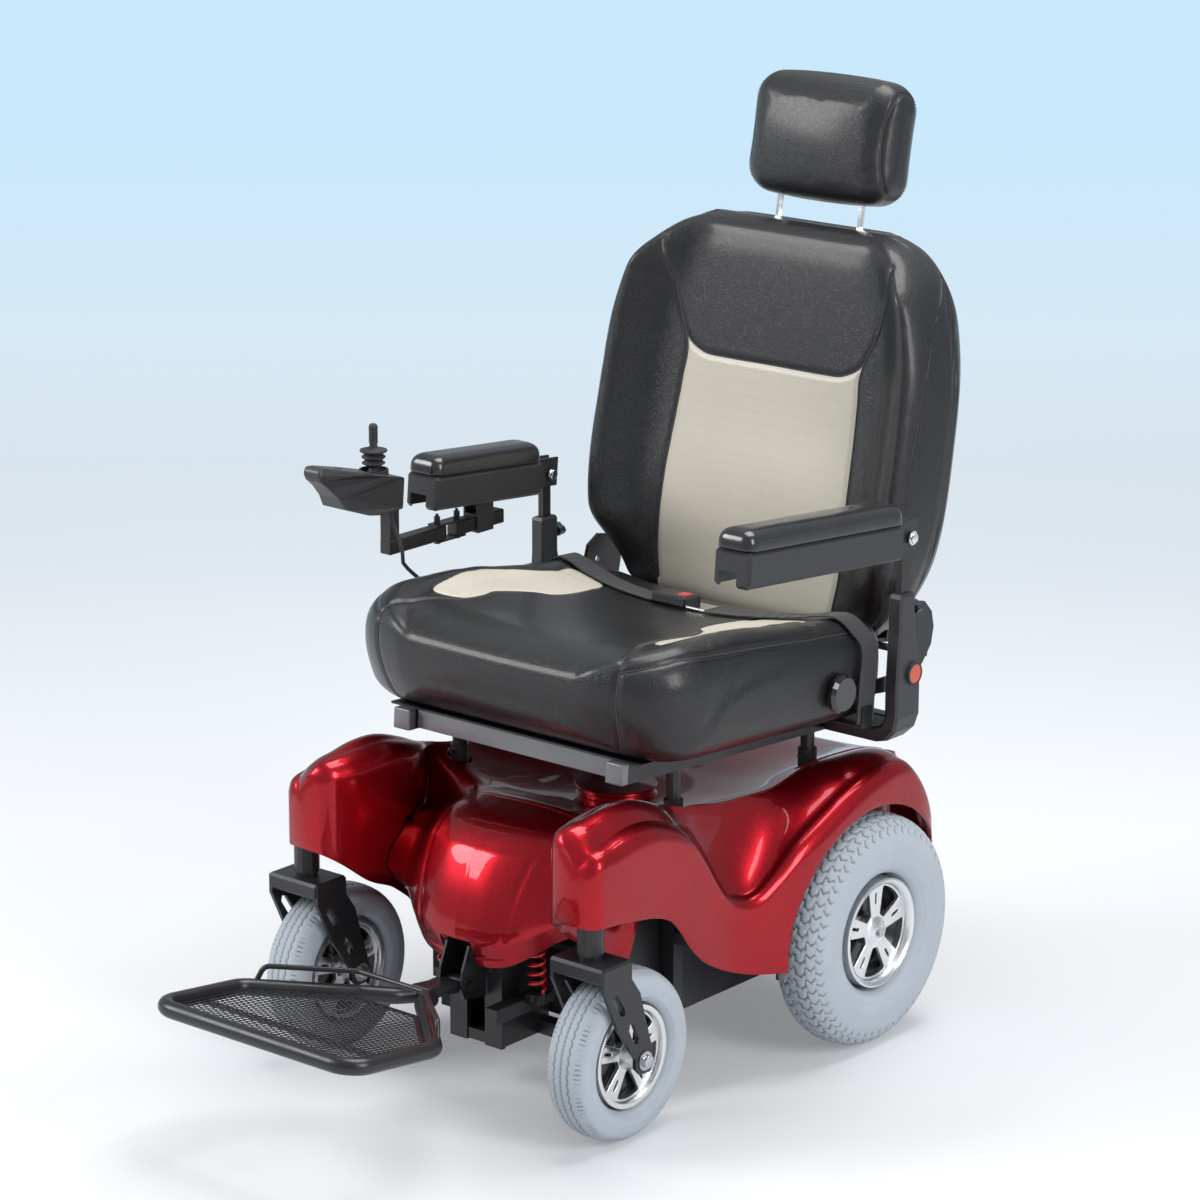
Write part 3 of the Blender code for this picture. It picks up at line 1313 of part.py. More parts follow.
def strap_path(side, end, clearance):
    """Centre line of a belt strap over the cushion, in the seat's frame."""
    centre = (SEAT_CUSHION_FRONT + SEAT_CUSHION_REAR) / 2
    reach = (SEAT_CUSHION_REAR - SEAT_CUSHION_FRONT) / 2
    v = (along_seat(BELT_ANCHOR_Y) - centre) / reach
    edge = [seat_shape(u, v, 1.0) for u in (1.0, 0.955, 0.91, 0.87)]
    points = []
    for n, point in enumerate(edge):
        lean = math.radians(25 + 55 * n / 3)
        points.append((point.x + clearance * math.cos(lean), point.z + clearance * math.sin(lean)))
    places = [u for u in (0.80, 0.70, 0.60, 0.48, 0.35, 0.22, 0.10) if u * SEAT_HALF_WIDTH > end]
    points += [(u * SEAT_HALF_WIDTH, seat_shape(u, v, 1.0).z + clearance) for u in places]
    points.append((end, seat_shape(end / SEAT_HALF_WIDTH, v, 1.0).z + clearance))
    low = SEAT_TUBE / 2 + SEAT_PAN_THICKNESS + 0.003
    rise = points[0][1] - 0.022
    points = [(BELT_X, low), (BELT_X, (low + rise) / 2), (BELT_X, rise)] + points
    return [(side * x, z) for x, z in points]


def strap(name, side, end, clearance):
    """A flat strap swept along its path."""
    path = [Vector((x, z)) for x, z in strap_path(side, end, clearance)]
    anchor = along_seat(BELT_ANCHOR_Y)
    bm = bmesh.new()
    rings = []
    for n, point in enumerate(path):
        ahead = path[min(n + 1, len(path) - 1)] - path[max(n - 1, 0)]
        normal = Vector((ahead.y, -ahead.x)).normalized() * BELT_THICKNESS / 2
        slide = BELT_DRIFT * ease((SEAT_HALF_WIDTH - abs(point.x)) / 0.20)
        low_y = anchor + slide - BELT_WIDTH / 2
        high_y = low_y + BELT_WIDTH
        corners = [(1, low_y), (1, high_y), (-1, high_y), (-1, low_y)]
        rings.append([
            bm.verts.new((point.x + way * normal.x, y, point.y + way * normal.y))
            for way, y in corners
        ])
    for first, second in zip(rings, rings[1:]):
        for n in range(4):
            bm.faces.new([first[n], first[n - 1], second[n - 1], second[n]])
    bm.faces.new(rings[0])
    bm.faces.new(rings[-1][::-1])
    bmesh.ops.recalc_face_normals(bm, faces=bm.faces)
    item = mesh_object(name, bm)
    item.location = SEAT_ORIGIN
    item.rotation_euler = (-SEAT_TILT, 0.0, 0.0)
    return finish(item, "seat", WEBBING)


def lap_belt():
    strap("belt_left", 1, BUCKLE_END + TONGUE_LENGTH + GAP, BELT_CLEARANCE)
    strap("belt_right", -1, -BUCKLE_START + GAP, BELT_CLEARANCE)
    y = along_seat(BELT_ANCHOR_Y) + BELT_DRIFT
    centre = (SEAT_CUSHION_FRONT + SEAT_CUSHION_REAR) / 2
    reach = (SEAT_CUSHION_REAR - SEAT_CUSHION_FRONT) / 2
    floor = seat_shape(0.0, (y - centre) / reach, 1.0).z + 0.0035
    tongue = seat_block(
        "belt_tongue",
        (BUCKLE_END + GAP, y - 0.018, floor + 0.002),
        (BUCKLE_END + TONGUE_LENGTH, y + 0.018, floor + 0.0045),
    )
    finish(tongue, "seat", CHROME)
    half = BELT_WIDTH / 2 + 0.001
    buckle = seat_block(
        "belt_buckle", (BUCKLE_START, y - half, floor), (BUCKLE_END, y + half, floor + BUCKLE_HEIGHT), 0.003
    )
    low = (BUCKLE_END - 0.026, y - 0.010, floor + BUCKLE_HEIGHT - 0.006)
    high = (BUCKLE_END - 0.008, y + 0.010, floor + BUCKLE_HEIGHT + 0.001)
    pocket = seat_block(
        "pocket",
        (low[0] - RUNNING_GAP, low[1] - RUNNING_GAP, low[2] - 0.0025),
        (high[0] + RUNNING_GAP, high[1] + RUNNING_GAP, high[2] + 0.01),
    )
    finish(cut(buckle, pocket), "seat", BLACK_PLASTIC)
    finish(seat_block("belt_button", low, high), "belt_button", RED_BUTTON)


def recline_lever():
    hub_radius = HINGE_PIN_RADIUS + 0.009
    outline = arc((HINGE_Y, HINGE_Z), hub_radius, 120, -100, 4)
    outline += [(PADDLE_Y + 0.010, PADDLE_Z - 0.012), (PADDLE_Y + 0.010, PADDLE_Z + 0.004)]
    lever = plate("recline_lever", [outline], LEVER_THICKNESS, (LEVER_X, 0, 0), YZ_PLATE)
    inner = LEVER_X - LEVER_THICKNESS / 2 - 0.0001
    ends = [(x, PADDLE_Y, PADDLE_Z) for x in (inner, inner + PADDLE_THICKNESS)]
    paddle = rod("paddle", *ends, PADDLE_RADIUS, 18)
    bevel(paddle, 0.005, 1, 60)
    fuse(lever, [paddle])
    bore = [(x, HINGE_Y, HINGE_Z) for x in (LEVER_X - 0.01, LEVER_X + 0.01)]
    drill(lever, *bore, HINGE_PIN_RADIUS + RUNNING_GAP, 10)
    return finish(lever, "recline_lever", GLOSS_BLACK)


# Back
def back_bracket():
    rear = BACK_THICKNESS + GAP
    under = BACK_BOTTOM - GAP
    pan = BACK_PAN_X
    thickness = BACK_PAN_THICKNESS
    low = (-pan, rear, under - thickness + 0.0005)
    bracket = back_block("back_bracket", low, (pan, rear + thickness, 0.090))
    floor = (-pan + 0.001, 0.068, under - thickness), (pan - 0.001, rear + thickness - 0.0005, under)
    reach = BACK_PLATE_X - 0.0005
    cross = (-reach, 0.036, under - thickness - 0.001), (reach, 0.070, under - 0.001)
    pieces = [back_block("floor", *floor), back_block("cross", *cross)]
    outline = arc((HINGE_Y, HINGE_Z), 0.021, 150, 330, 5)
    outline += [(0.150, 0.560), (0.170, 0.583), (0.176, 0.610), (0.170, 0.635), (0.152, 0.654)]
    outline += [(0.122, 0.660), (0.097, 0.646), (0.087, 0.615)]
    hole = arc((0.118, 0.620), 0.006, 0, 300, 5)
    for side in (1, -1):
        place = (side * BACK_PLATE_X, 0, 0)
        pieces.append(plate("plate", [outline, hole], HINGE_PLATE, place, YZ_PLATE))
        x = both_ways(side, 0.120, 0.160)
        stay = (x[0], rear + 0.0005, 0.080), (x[1], rear + thickness - 0.001, 0.450)
        pieces.append(back_block("stay", *stay))
    fuse(bracket, pieces)
    reach = BACK_PLATE_X + HINGE_PLATE
    bore = [(x, HINGE_Y, HINGE_Z) for x in (-reach, reach)]
    drill(bracket, *bore, HINGE_PIN_RADIUS + RUNNING_GAP, 10)
    return finish(bracket, "back", BLACK_PAINT)


def back_shape(u, w, v):
    """A point of the back cushion, in the back's leaning frame."""
    z = (BACK_BOTTOM + BACK_TOP) / 2 + v * (BACK_TOP - BACK_BOTTOM) / 2
    half = smooth(BACK_OUTLINE, z)
    panel = smooth(PANEL_HALF_WIDTH, z)
    size = abs(u)
    if size <= PANEL_SHARE:
        x = size / PANEL_SHARE * panel
    else:
        x = panel + (size - PANEL_SHARE) / (1 - PANEL_SHARE) * (half - panel)
    edge_x = max(0.0, 1 - (half - x) / BACK_ROUND)
    edge_z = max(0.0, 1 - min(BACK_TOP - z, z - BACK_BOTTOM) / BACK_ROUND)
    inward = math.sqrt(max(0.0, 1 - min(1.0, edge_x**2 + edge_z**2)))
    share = x / half
    low = ease(z / 0.10)
    high = ease((BACK_TOP + 0.010 - z) / 0.110)
    bolster = BACK_BOLSTER * math.exp(-((share - 0.93) / 0.17) ** 2) * low * high
    lumbar = 0.010 * math.exp(-((z - 0.150) / 0.10) ** 2) * max(0.0, 1 - share**2)
    seam = math.exp(-((size - PANEL_SHARE) / 0.022) ** 2)
    if size < PANEL_SHARE:
        seam = max(seam, math.exp(-((z - YOKE_Z) / 0.008) ** 2))
    front = BACK_ROUND * (1 - inward) - bolster * inward - lumbar * low + 0.004 * seam * inward
    rear = BACK_THICKNESS - 0.026 * (1 - inward) - 0.030 * ease((share - 0.70) / 0.30)
    y = front + (rear - front) * (w + 1) / 2
    return Vector((math.copysign(x, u) if u else 0.0, y, z))


def back_cushion():
    middle = (BACK_BOTTOM + BACK_TOP) / 2
    reach = (BACK_TOP - BACK_BOTTOM) / 2
    edge = 0.035
    seam = (PANEL_SHARE - edge, PANEL_SHARE, PANEL_SHARE + edge)
    columns = mirrored((0.0, 0.32, *seam, 0.80, 0.90, 0.96))
    yoke = (YOKE_Z - 0.012, YOKE_Z, YOKE_Z + 0.012)
    heights = (-0.022, 0.010, 0.050, 0.100, 0.180, 0.260, *yoke, 0.450, 0.515, 0.550, 0.568)
    rows = [(height - middle) / reach for height in heights]
    cushion = pillow("back_cushion", columns, (-0.5, 0.1), rows, back_shape)
    cushion.location = BACK_ORIGIN
    cushion.rotation_euler = (-BACK_LEAN, 0.0, 0.0)
    for side in (1, -1):
        hole = [
            tilted(BACK_ORIGIN, BACK_LEAN, (side * ROD_X, ROD_DEPTH, z))
            for z in (BACK_TOP - ROD_REACH - 0.004, BACK_TOP + 0.02)
        ]
        drill(cushion, *hole, ROD_RADIUS + RUNNING_GAP, 10)
    return finish(cushion, "back", VINYL, 60)


def headrest_rods(name, radius, resolution):
    """The bent rod of the headrest, or the channel for it."""
    low = BACK_TOP - ROD_REACH
    high = BACK_TOP + HEADREST_GAP + HEADREST_HEIGHT * 0.55
    corners = [(ROD_X, low), (ROD_X, high), (-ROD_X, high), (-ROD_X, low)]
    path = rounded_path([(x, 0.0, z) for x, z in corners], 0.022, 3)
    points = [tilted(BACK_ORIGIN, BACK_LEAN, (p.x, ROD_DEPTH, p.z)) for p in path]
    return tube(name, points, radius, resolution)


def headrest():
    finish(headrest_rods("headrest_rod", ROD_RADIUS, 1), "headrest", CHROME)
    half = (HEADREST_WIDTH / 2, HEADREST_THICKNESS / 2, HEADREST_HEIGHT / 2)
    centre = (0.0, ROD_DEPTH + HEADREST_SET, BACK_TOP + HEADREST_GAP + half[2])

    def shape(u, v, w):
        point = rounded([c * h for c, h in zip((u, v, w), half)], half, (0.042, 0.034, 0.040))
        across = point.x / half[0]
        upward = point.z / half[2]
        swell = (1 - across**2) * (1 - upward**2)
        point.y -= 0.012 * swell * (1 - v) / 2
        point.z += 0.006 * (1 - across**2) * upward
        return point + Vector(centre)

    columns = mirrored((0.0, 0.45, 0.74, 0.92))
    heights = mirrored((0.0, 0.6, 0.88))
    pad = pillow("headrest_pad", columns, (-0.75, -0.3, 0.3, 0.75), heights, shape)
    pad.location = BACK_ORIGIN
    pad.rotation_euler = (-BACK_LEAN, 0.0, 0.0)
    cut(pad, headrest_rods("channel", ROD_RADIUS + RUNNING_GAP, 1))
    return finish(pad, "headrest", VINYL, 60)


# Arms
def arm_pivot(side):
    """The armrest's pivot; the left arm is set higher than the right one."""
    return (side * ARM_X, ARM_PIVOT_Y, ARM_HIGH_Z if side > 0 else ARM_REST_Z)


def arm_point(side, point):
    return tilted(arm_pivot(side), ARM_PITCH, point)


def arm_block(name, side, low, high, rounding=0.0, segments=1):
    return tilted_block(name, arm_pivot(side), ARM_PITCH, low, high, rounding, segments)


def arm_bracket(name, side):
    outer = ARM_X + ARM_SLEEVE_WIDTH / 2
    inner = ARM_X - ARM_SLEEVE_WIDTH / 2
    low = ARM_SLEEVE_BOTTOM
    high = low + ARM_SLEEVE_WIDTH
    end = SEAT_TUBE_X + SEAT_TUBE / 2 + GAP
    outline = [(outer, ARM_SLEEVE_TOP), (outer, 0.640), (outer, 0.600), (outer, 0.560)]
    outline += arc((outer - 0.042, low + 0.042), 0.042, 0, -90, 3)
    outline += [(end, low), (end, high)]
    outline += arc((inner - 0.020, high + 0.020), 0.020, -90, 0, 2)
    outline += [(inner, 0.560), (inner, 0.600), (inner, 0.640), (inner, ARM_SLEEVE_TOP)]
    outline = [(side * x, z) for x, z in outline]
    bracket = plate(name, [outline], ARM_SLEEVE_DEPTH, (0, ARM_POST_Y, 0), XZ_PLATE)
    place = bracket.matrix_world.copy()
    for vertex in bracket.data.vertices:
        height = (place @ vertex.co).z
        fade = ease((0.650 - height) / 0.090) * ease((height - low + 0.030) / 0.070)
        vertex.co.z = vertex.co.z * (1 + ARM_FLARE * fade) - ARM_FLARE_SHIFT * fade
    bevel(bracket, 0.004, 1)
    half_width = ARM_POST_WIDTH / 2 + RUNNING_GAP
    half_depth = ARM_POST_DEPTH / 2 + RUNNING_GAP
    floor = ARM_REST_Z + ARM_POST_HEAD - ARM_POST_LENGTH - 0.012
    bore = span_block(
        "bore",
        (side * ARM_X - half_width, ARM_POST_Y - half_depth, floor),
        (side * ARM_X + half_width, ARM_POST_Y + half_depth, ARM_SLEEVE_TOP + 0.01),
    )
    cut(bracket, bore)
    hole = [(side * ARM_X, y, KNOB_Z) for y in (ARM_POST_Y + 0.006, ARM_POST_Y + 0.04)]
    drill(bracket, *hole, KNOB_STEM_RADIUS + RUNNING_GAP, 8)
    return finish(bracket, "seat", BLACK_PLASTIC)


def arm_post(name, side, body_name):
    x, y, z = arm_pivot(side)
    half = ARM_POST_WIDTH / 2
    top = z + ARM_POST_HEAD
    post = span_block(
        name,
        (x - half, ARM_POST_Y - ARM_POST_DEPTH / 2, top - ARM_POST_LENGTH),
        (x + half, ARM_POST_Y + ARM_POST_DEPTH / 2, top),
    )
    far = CHEEK_X + ARM_WALL / 2 + RUNNING_GAP
    pieces = [rod("pin", *[(x + way * (far + 0.002), y, z) for way in (-1, 1)], ARM_PIN_RADIUS, 10)]
    for way in (-1, 1):
        head = [(x + way * (far + reach), y, z) for reach in (0.0, 0.0045)]
        pieces.append(rod("head", *head, ARM_PIN_RADIUS + 0.003, 6))
    return finish(fuse(post, pieces), body_name, BLACK_PAINT)


def arm_knob(name, side, body_name):
    x = side * ARM_X
    rear = ARM_POST_Y + ARM_POST_DEPTH / 2
    face = ARM_POST_Y + ARM_SLEEVE_DEPTH / 2
    stem = rod(name, (x, rear + GAP, KNOB_Z), (x, face + 0.014, KNOB_Z), KNOB_STEM_RADIUS, 8)
    lobes = []
    for n in range(12):
        angle = 2 * math.pi * n / 12
        reach = KNOB_RADIUS * (0.85 + 0.15 * math.cos(3 * angle))
        lobes.append((reach * math.cos(angle), reach * math.sin(angle)))
    head = plate("head", [lobes], 0.013, (x, face + 0.0125, KNOB_Z), XZ_PLATE)
    return finish(fuse(stem, [head]), body_name, BLACK_PLASTIC)


def reflector(name, side):
    face = ARM_X + ARM_SLEEVE_WIDTH / 2
    ends = [(side * x, REFLECTOR_Y, REFLECTOR_Z) for x in (face + GAP, face + 0.0045)]
    return finish(rod(name, *ends, REFLECTOR_RADIUS, 16), "seat", ORANGE)


def arm_channel(name, side, length, body_name):
    half = ARM_WIDTH / 2
    rear = -ARM_BACKSET
    front = rear - length
    channel = arm_block(name, side, (-half, front, ARM_LOW), (half, rear, ARM_SEAM), 0.005, 1)
    pieces = []
    for way in (-1, 1):
        x = both_ways(way, CHEEK_X - ARM_WALL / 2, CHEEK_X + ARM_WALL / 2)
        cheek = (x[0], rear - 0.003, -0.020), (x[1], 0.018, ARM_SEAM - 0.001)
        pieces.append(arm_block("cheek", side, *cheek))
    fuse(channel, pieces)
    inside = half - ARM_WALL
    hollow = arm_block(
        "hollow",
        side,
        (-inside, front + 0.006, ARM_LOW - 0.01),
        (inside, rear - ARM_WALL, ARM_SEAM - ARM_WALL),
    )
    cut(channel, hollow)
    low = (-0.022, front - 0.01, ARM_LOW - 0.01)
    slot = arm_block("slot", side, low, (0.010, front + 0.01, ARM_LOW + 0.022))
    cut(channel, slot)
    if side < 0:
        settle(channel)
        fuse(channel, bar_strap(side))
    pin = [arm_point(side, (x, 0, 0)) for x in (-half - 0.01, half + 0.01)]
    drill(channel, *pin, ARM_PIN_RADIUS + RUNNING_GAP, 10)
    return finish(channel, body_name, BLACK_PLASTIC)


def bar_strap(side):
    """The clamp under the armrest that the joystick bar slides in."""
    x = side * ARM_X
    half = BAR_SIZE / 2 + RUNNING_GAP
    wall = 0.003
    low_y, high_y = STRAP_Y
    floor_half = ARM_WIDTH / 2 - ARM_WALL + 0.0005
    floor_low = (-floor_half, low_y - ARM_PIVOT_Y - 0.004, ARM_LOW + 0.0022)
    floor_high = (floor_half, high_y - ARM_PIVOT_Y + 0.004, ARM_LOW + 0.006)
    pieces = [arm_block("floor", side, floor_low, floor_high)]
    top = ARM_REST_Z - 0.002
    for way in (-1, 1):
        xs = sorted((x + way * half, x + way * (half + wall)))
        pieces.append(span_block("wall", (xs[0], low_y, BAR_Z - half - wall), (xs[1], high_y, top)))
    reach = half + wall - 0.0005
    for z in (BAR_Z - half - wall + 0.0005, BAR_Z + half):
        low = (x - reach, low_y + 0.0005, z)
        pieces.append(span_block("web", low, (x + reach, high_y - 0.0005, z + wall - 0.0005)))
    return pieces


def arm_pad(name, side, length, body_name):
    half = ARM_WIDTH / 2
    rear = -ARM_BACKSET
    low = (-half, rear - length - 0.002, ARM_SEAM + GAP)
    high = (half, rear, ARM_SEAM + ARM_PAD_HEIGHT)
    pad = arm_block(name, side, low, high)
    bm = bmesh.new()
    bm.from_mesh(pad.data)
    edges = [
        edge for edge in bm.edges
        if max(v.co.z for v in edge.verts) > 0
    ]
    bmesh.ops.bevel(bm, geom=edges, offset=0.014, segments=2, profile=0.5, affect="EDGES")
    bm.to_mesh(pad.data)
    bm.free()
    return finish(pad, body_name, VINYL, 60)


# Joystick
def bar_bore(item, y):
    ends = [(-ARM_X, y, z) for z in (BAR_Z - BAR_SIZE, BAR_Z + BAR_SIZE)]
    drill(item, *ends, LINK_PIN_RADIUS + RUNNING_GAP, 8)


def joystick_arm():
    x = -ARM_X
    half = BAR_SIZE / 2
    low_corner = (x - half, LINK_REAR_Y - half, BAR_Z - half)
    bar = span_block("joystick_bar", low_corner, (x + half, BAR_REAR_Y, BAR_Z + half), 0.0015)
    bar_bore(bar, LINK_REAR_Y)
    finish(bar, "joystick_bar", BLACK_PAINT)

    reach = half - 0.001
    link_low = LINK_FRONT_Y - reach
    link_high = LINK_REAR_Y + reach
    top = BAR_Z + half + GAP
    low = BAR_Z - half - GAP
    upper_end = (x + reach, link_high, top + LINK_PLATE)
    link = span_block("joystick_link", (x - reach, link_low, top), upper_end)
    lower_start = (x - reach, link_low, low - LINK_PLATE)
    pieces = [span_block("lower", lower_start, (x + reach, link_high, low))]
    wide = LINK_PIN_RADIUS + 0.0025
    for y in (LINK_REAR_Y, LINK_FRONT_Y):
        pieces.append(rod("bolt", (x, y, low - 0.004), (x, y, top + 0.018), LINK_PIN_RADIUS, 8))
        pieces.append(rod("nut", (x, y, top + 0.002), (x, y, top + 0.014), wide, 6))
        pieces.append(rod("bolt_head", (x, y, low - 0.006), (x, y, low - 0.002), wide, 6))
    finish(fuse(link, pieces), "joystick_link", BLACK_PAINT)

    swing = span_block(
        "joystick_swing_bar",
        (x - half, STICK_POST_Y - half, BAR_Z - half),
        (x + half, LINK_FRONT_Y + half, BAR_Z + half),
        0.0015,
    )
    post = span_block(
        "post",
        (x - reach, STICK_POST_Y - reach, BAR_Z - half + 0.002),
        (x + reach, STICK_POST_Y + reach, CASE_BOTTOM - GAP),
    )
    fuse(swing, [post])
    bar_bore(swing, LINK_FRONT_Y)
    finish(swing, "joystick_swing", BLACK_PAINT)


def case_top(y):
    """Height of the joystick case's sloping top."""
    return CASE_REAR_TOP + (CASE_REAR_Y - y) * CASE_SLOPE


def joystick_case():
    x = -ARM_X
    front = CASE_FRONT_Y
    outline = [
        (CASE_REAR_Y, CASE_REAR_TOP), (CASE_REAR_Y - 0.004, CASE_BOTTOM), (-0.366, CASE_BOTTOM),
        (-0.400, 0.791), (-0.438, 0.805), (-0.450, 0.824), (-0.468, 0.842), (front, 0.854),
        (front - 0.005, 0.864), (front, case_top(front) - 0.002),
    ]
    outline += [(y, case_top(y)) for y in (-0.470, -0.445, -0.400, -0.345)]
    case = plate("joystick_case", [outline], CASE_WIDTH, (x, 0, 0), YZ_PLATE)
    place = case.matrix_world.copy()
    for vertex in case.data.vertices:
        y = (place @ vertex.co).y
        tip = ease((-0.395 - y) / (-0.395 - front))
        heel = ease((y + 0.340) / (CASE_REAR_Y + 0.340))
        vertex.co.z *= 1 - (1 - CASE_TIP_SHARE) * tip - 0.16 * heel
    bevel(case, 0.006, 2)
    collar = rod("collar", (x, STICK_Y, STICK_Z - 0.010), (x, STICK_Y, COLLAR_TOP), 0.0225, 16)
    fuse(case, [collar])
    drill(case, (x, STICK_Y, STICK_Z - 0.023), (x, STICK_Y, COLLAR_TOP + 0.03), WELL_RADIUS, 16)
    low, high = button_ends(0.0095, 0.012)
    drill(case, low, high, BUTTON_RADIUS + RUNNING_GAP, 10)
    finish(case, "joystick_swing", BLACK_PLASTIC)
    low, high = button_ends(0.0065, 0.0022)
    finish(rod("power_button", low, high, BUTTON_RADIUS, 10), "power_button", BATTERY_GREY)


def button_ends(below, above):
    """Points under and over the case's top, square to it, at the power button."""
    lean = math.atan(CASE_SLOPE)
    normal = Vector((0.0, math.sin(lean), math.cos(lean)))
    face = Vector((-ARM_X, BUTTON_Y, case_top(BUTTON_Y)))
    return face - normal * below, face + normal * above


def joystick_stick():
    centre = (-ARM_X, STICK_Y, STICK_Z)
    inner = BALL_RADIUS + 0.001
    ring = [(GIMBAL_RADIUS, 0.003), (GIMBAL_RADIUS, -0.003), (inner, -0.003), (inner, 0.003)]
    gimbal = turned("joystick_gimbal", ring, 16, centre, closed=True)
    finish(gimbal, "joystick_gimbal", ZINC)
    top = STICK_TOP - STICK_Z
    profile = [
        (0.0, top), (0.0055, top), (0.0070, top - 0.004), (0.0070, top - 0.026), (0.0055, 0.0500),
        (0.0210, 0.0425), (0.0210, 0.0405), (0.0130, 0.0365), (0.0185, 0.0320),
        (0.0125, 0.0270), (0.0178, 0.0225), (0.0112, 0.0180), (0.0060, 0.0150),
    ]
    profile += arc((0, 0), BALL_RADIUS, 62, -62, 4) + [(0.0, -BALL_RADIUS * 0.96)]
    stick = turned("joystick_lever", profile, 12, centre)
    finish(stick, "joystick_lever", RUBBER)


def joystick_cable():
    """The cable from the joystick case to the base, beside and under the seat."""
    start, *knots, end = [Vector(point) for point in CABLE_ROUTE]
    lengths = [0.0]
    for first, second in zip(knots, knots[1:]):
        lengths.append(lengths[-1] + (second - first).length)
    tracks = [[(at, knot[axis]) for at, knot in zip(lengths, knots)] for axis in range(3)]
    points = [
        [smooth(track, at) for track in tracks]
        for at in spread(0.0, lengths[-1], CABLE_POINTS)
    ]
    points = [start, *points, end]
    print(f"joystick_cable: length {lengths[-1] * 1000:.0f} mm")
    return finish(tube("joystick_cable", points, CABLE_RADIUS, 2), "chassis", RUBBER)


# Footplate
def foot_z(y):
    return FOOT_REAR_Z + (FOOT_REAR_Y - y) * math.tan(FOOT_SLOPE)


def footplate_hanger():
    face = LEG_FRONT_Y - GAP
    cheek_x = TONGUE_HALF_WIDTH + RUNNING_GAP + 0.002
    hanger = span_block("footplate_hanger", (-0.036, face - 0.006, 0.190), (0.036, face, 0.284), 0.001)
    outline = [
        (face - 0.003, FOOT_PIVOT_Z - 0.024), (-0.570, FOOT_PIVOT_Z - 0.017), (-0.578, FOOT_PIVOT_Z),
        (-0.574, 0.200), (-0.559, 0.236), (face - 0.003, 0.250),
    ]
    pieces = []
    for side in (1, -1):
        pieces.append(plate("cheek", [outline], 0.004, (side * cheek_x, 0, 0), YZ_PLATE))
        head = [(side * (cheek_x + reach), FOOT_PIVOT_Y, FOOT_PIVOT_Z) for reach in (0.0015, 0.0065)]
        pieces.append(rod("head", *head, 0.009, 6))
    ends = [(way * (cheek_x + 0.003), FOOT_PIVOT_Y, FOOT_PIVOT_Z) for way in (-1, 1)]
    pieces.append(rod("pin", *ends, FOOT_PIN_RADIUS, 10))
    return finish(fuse(hanger, pieces), "footplate_hanger", BLACK_PAINT)


def footplate_frame():
    half = TONGUE_HALF_WIDTH
    ends = [(x, FOOT_PIVOT_Y, FOOT_PIVOT_Z) for x in (-half, half)]
    hub = rod("footplate_frame", *ends, 0.0128, 12)
    origin = (0.0, FOOT_PIVOT_Y, FOOT_PIVOT_Z)
    low = (-half + 0.0005, -0.084, -0.008)
    tongue = tilted_block("tongue", origin, FOOT_SLOPE, low, (half - 0.0005, 0.0, 0.008))
    corners = [
        (0.0145, -0.634), (0.026, -0.664), (FOOT_REAR_HALF, FOOT_REAR_Y),
        (FOOT_HALF_WIDTH, FOOT_SIDE_Y), (FOOT_HALF_WIDTH, FOOT_FRONT_Y),
    ]
    corners += [(-x, y) for x, y in reversed(corners)]
    points = [Vector((x, y, foot_z(y))) for x, y in corners]
    path = rounded_path(points, FOOT_BEND, 3)
    rail = tube("rail", path, FOOT_TUBE_RADIUS, 1)
    fence = [
        (FOOT_HALF_WIDTH - 0.010, FENCE_SIDE_Y, foot_z(FENCE_SIDE_Y)),
        (FOOT_HALF_WIDTH - 0.020, FENCE_SIDE_Y + 0.012, foot_z(FENCE_SIDE_Y) + FENCE_HEIGHT - 0.004),
        (FENCE_REAR_HALF, FENCE_REAR_Y, foot_z(FENCE_REAR_Y) + FENCE_HEIGHT),
    ]
    fence += [(-x, y, z) for x, y, z in reversed(fence)]
    heel = tube("heel", rounded_path(fence, 0.014, 3), FENCE_RADIUS, 1)
    bar_y = (FOOT_FRONT_Y + FOOT_SIDE_Y) / 2
    bar_z = foot_z(bar_y) - DECK_THICKNESS / 2 - GAP - FENCE_RADIUS
    ends = [Vector((x, bar_y, bar_z)) for x in (-FOOT_HALF_WIDTH, FOOT_HALF_WIDTH)]
    stay = tube("stay", ends, FENCE_RADIUS, 1)
    fuse(hub, [tongue, rail, heel, stay])
    bore = [(x, FOOT_PIVOT_Y, FOOT_PIVOT_Z) for x in (-half - 0.02, half + 0.02)]
    drill(hub, *bore, FOOT_PIN_RADIUS + RUNNING_GAP, 10)
    return finish(hub, "footplate", BLACK_PAINT)


def inset(outline, distance):
    """A convex outline, clockwise from above, moved inwards."""
    lines = []
    for n, point in enumerate(outline):
        start, end = Vector(point), Vector(outline[(n + 1) % len(outline)])
        along = (end - start).normalized()
        lines.append((start + Vector((along.y, -along.x)) * distance, along))
    corners = []
    for n in range(len(outline)):
        (p, d), (q, e) = lines[n - 1], lines[n]
        t = ((q - p).x * e.y - (q - p).y * e.x) / (d.x * e.y - d.y * e.x)
        corners.append(p + d * t)
    return corners


def inside(outline, point):
    """Whether a point is inside a convex clockwise outline."""
    for n, start in enumerate(outline):
        end = outline[(n + 1) % len(outline)]
        if (end - start).cross(Vector(point) - start) > 0:
            return False
    return True


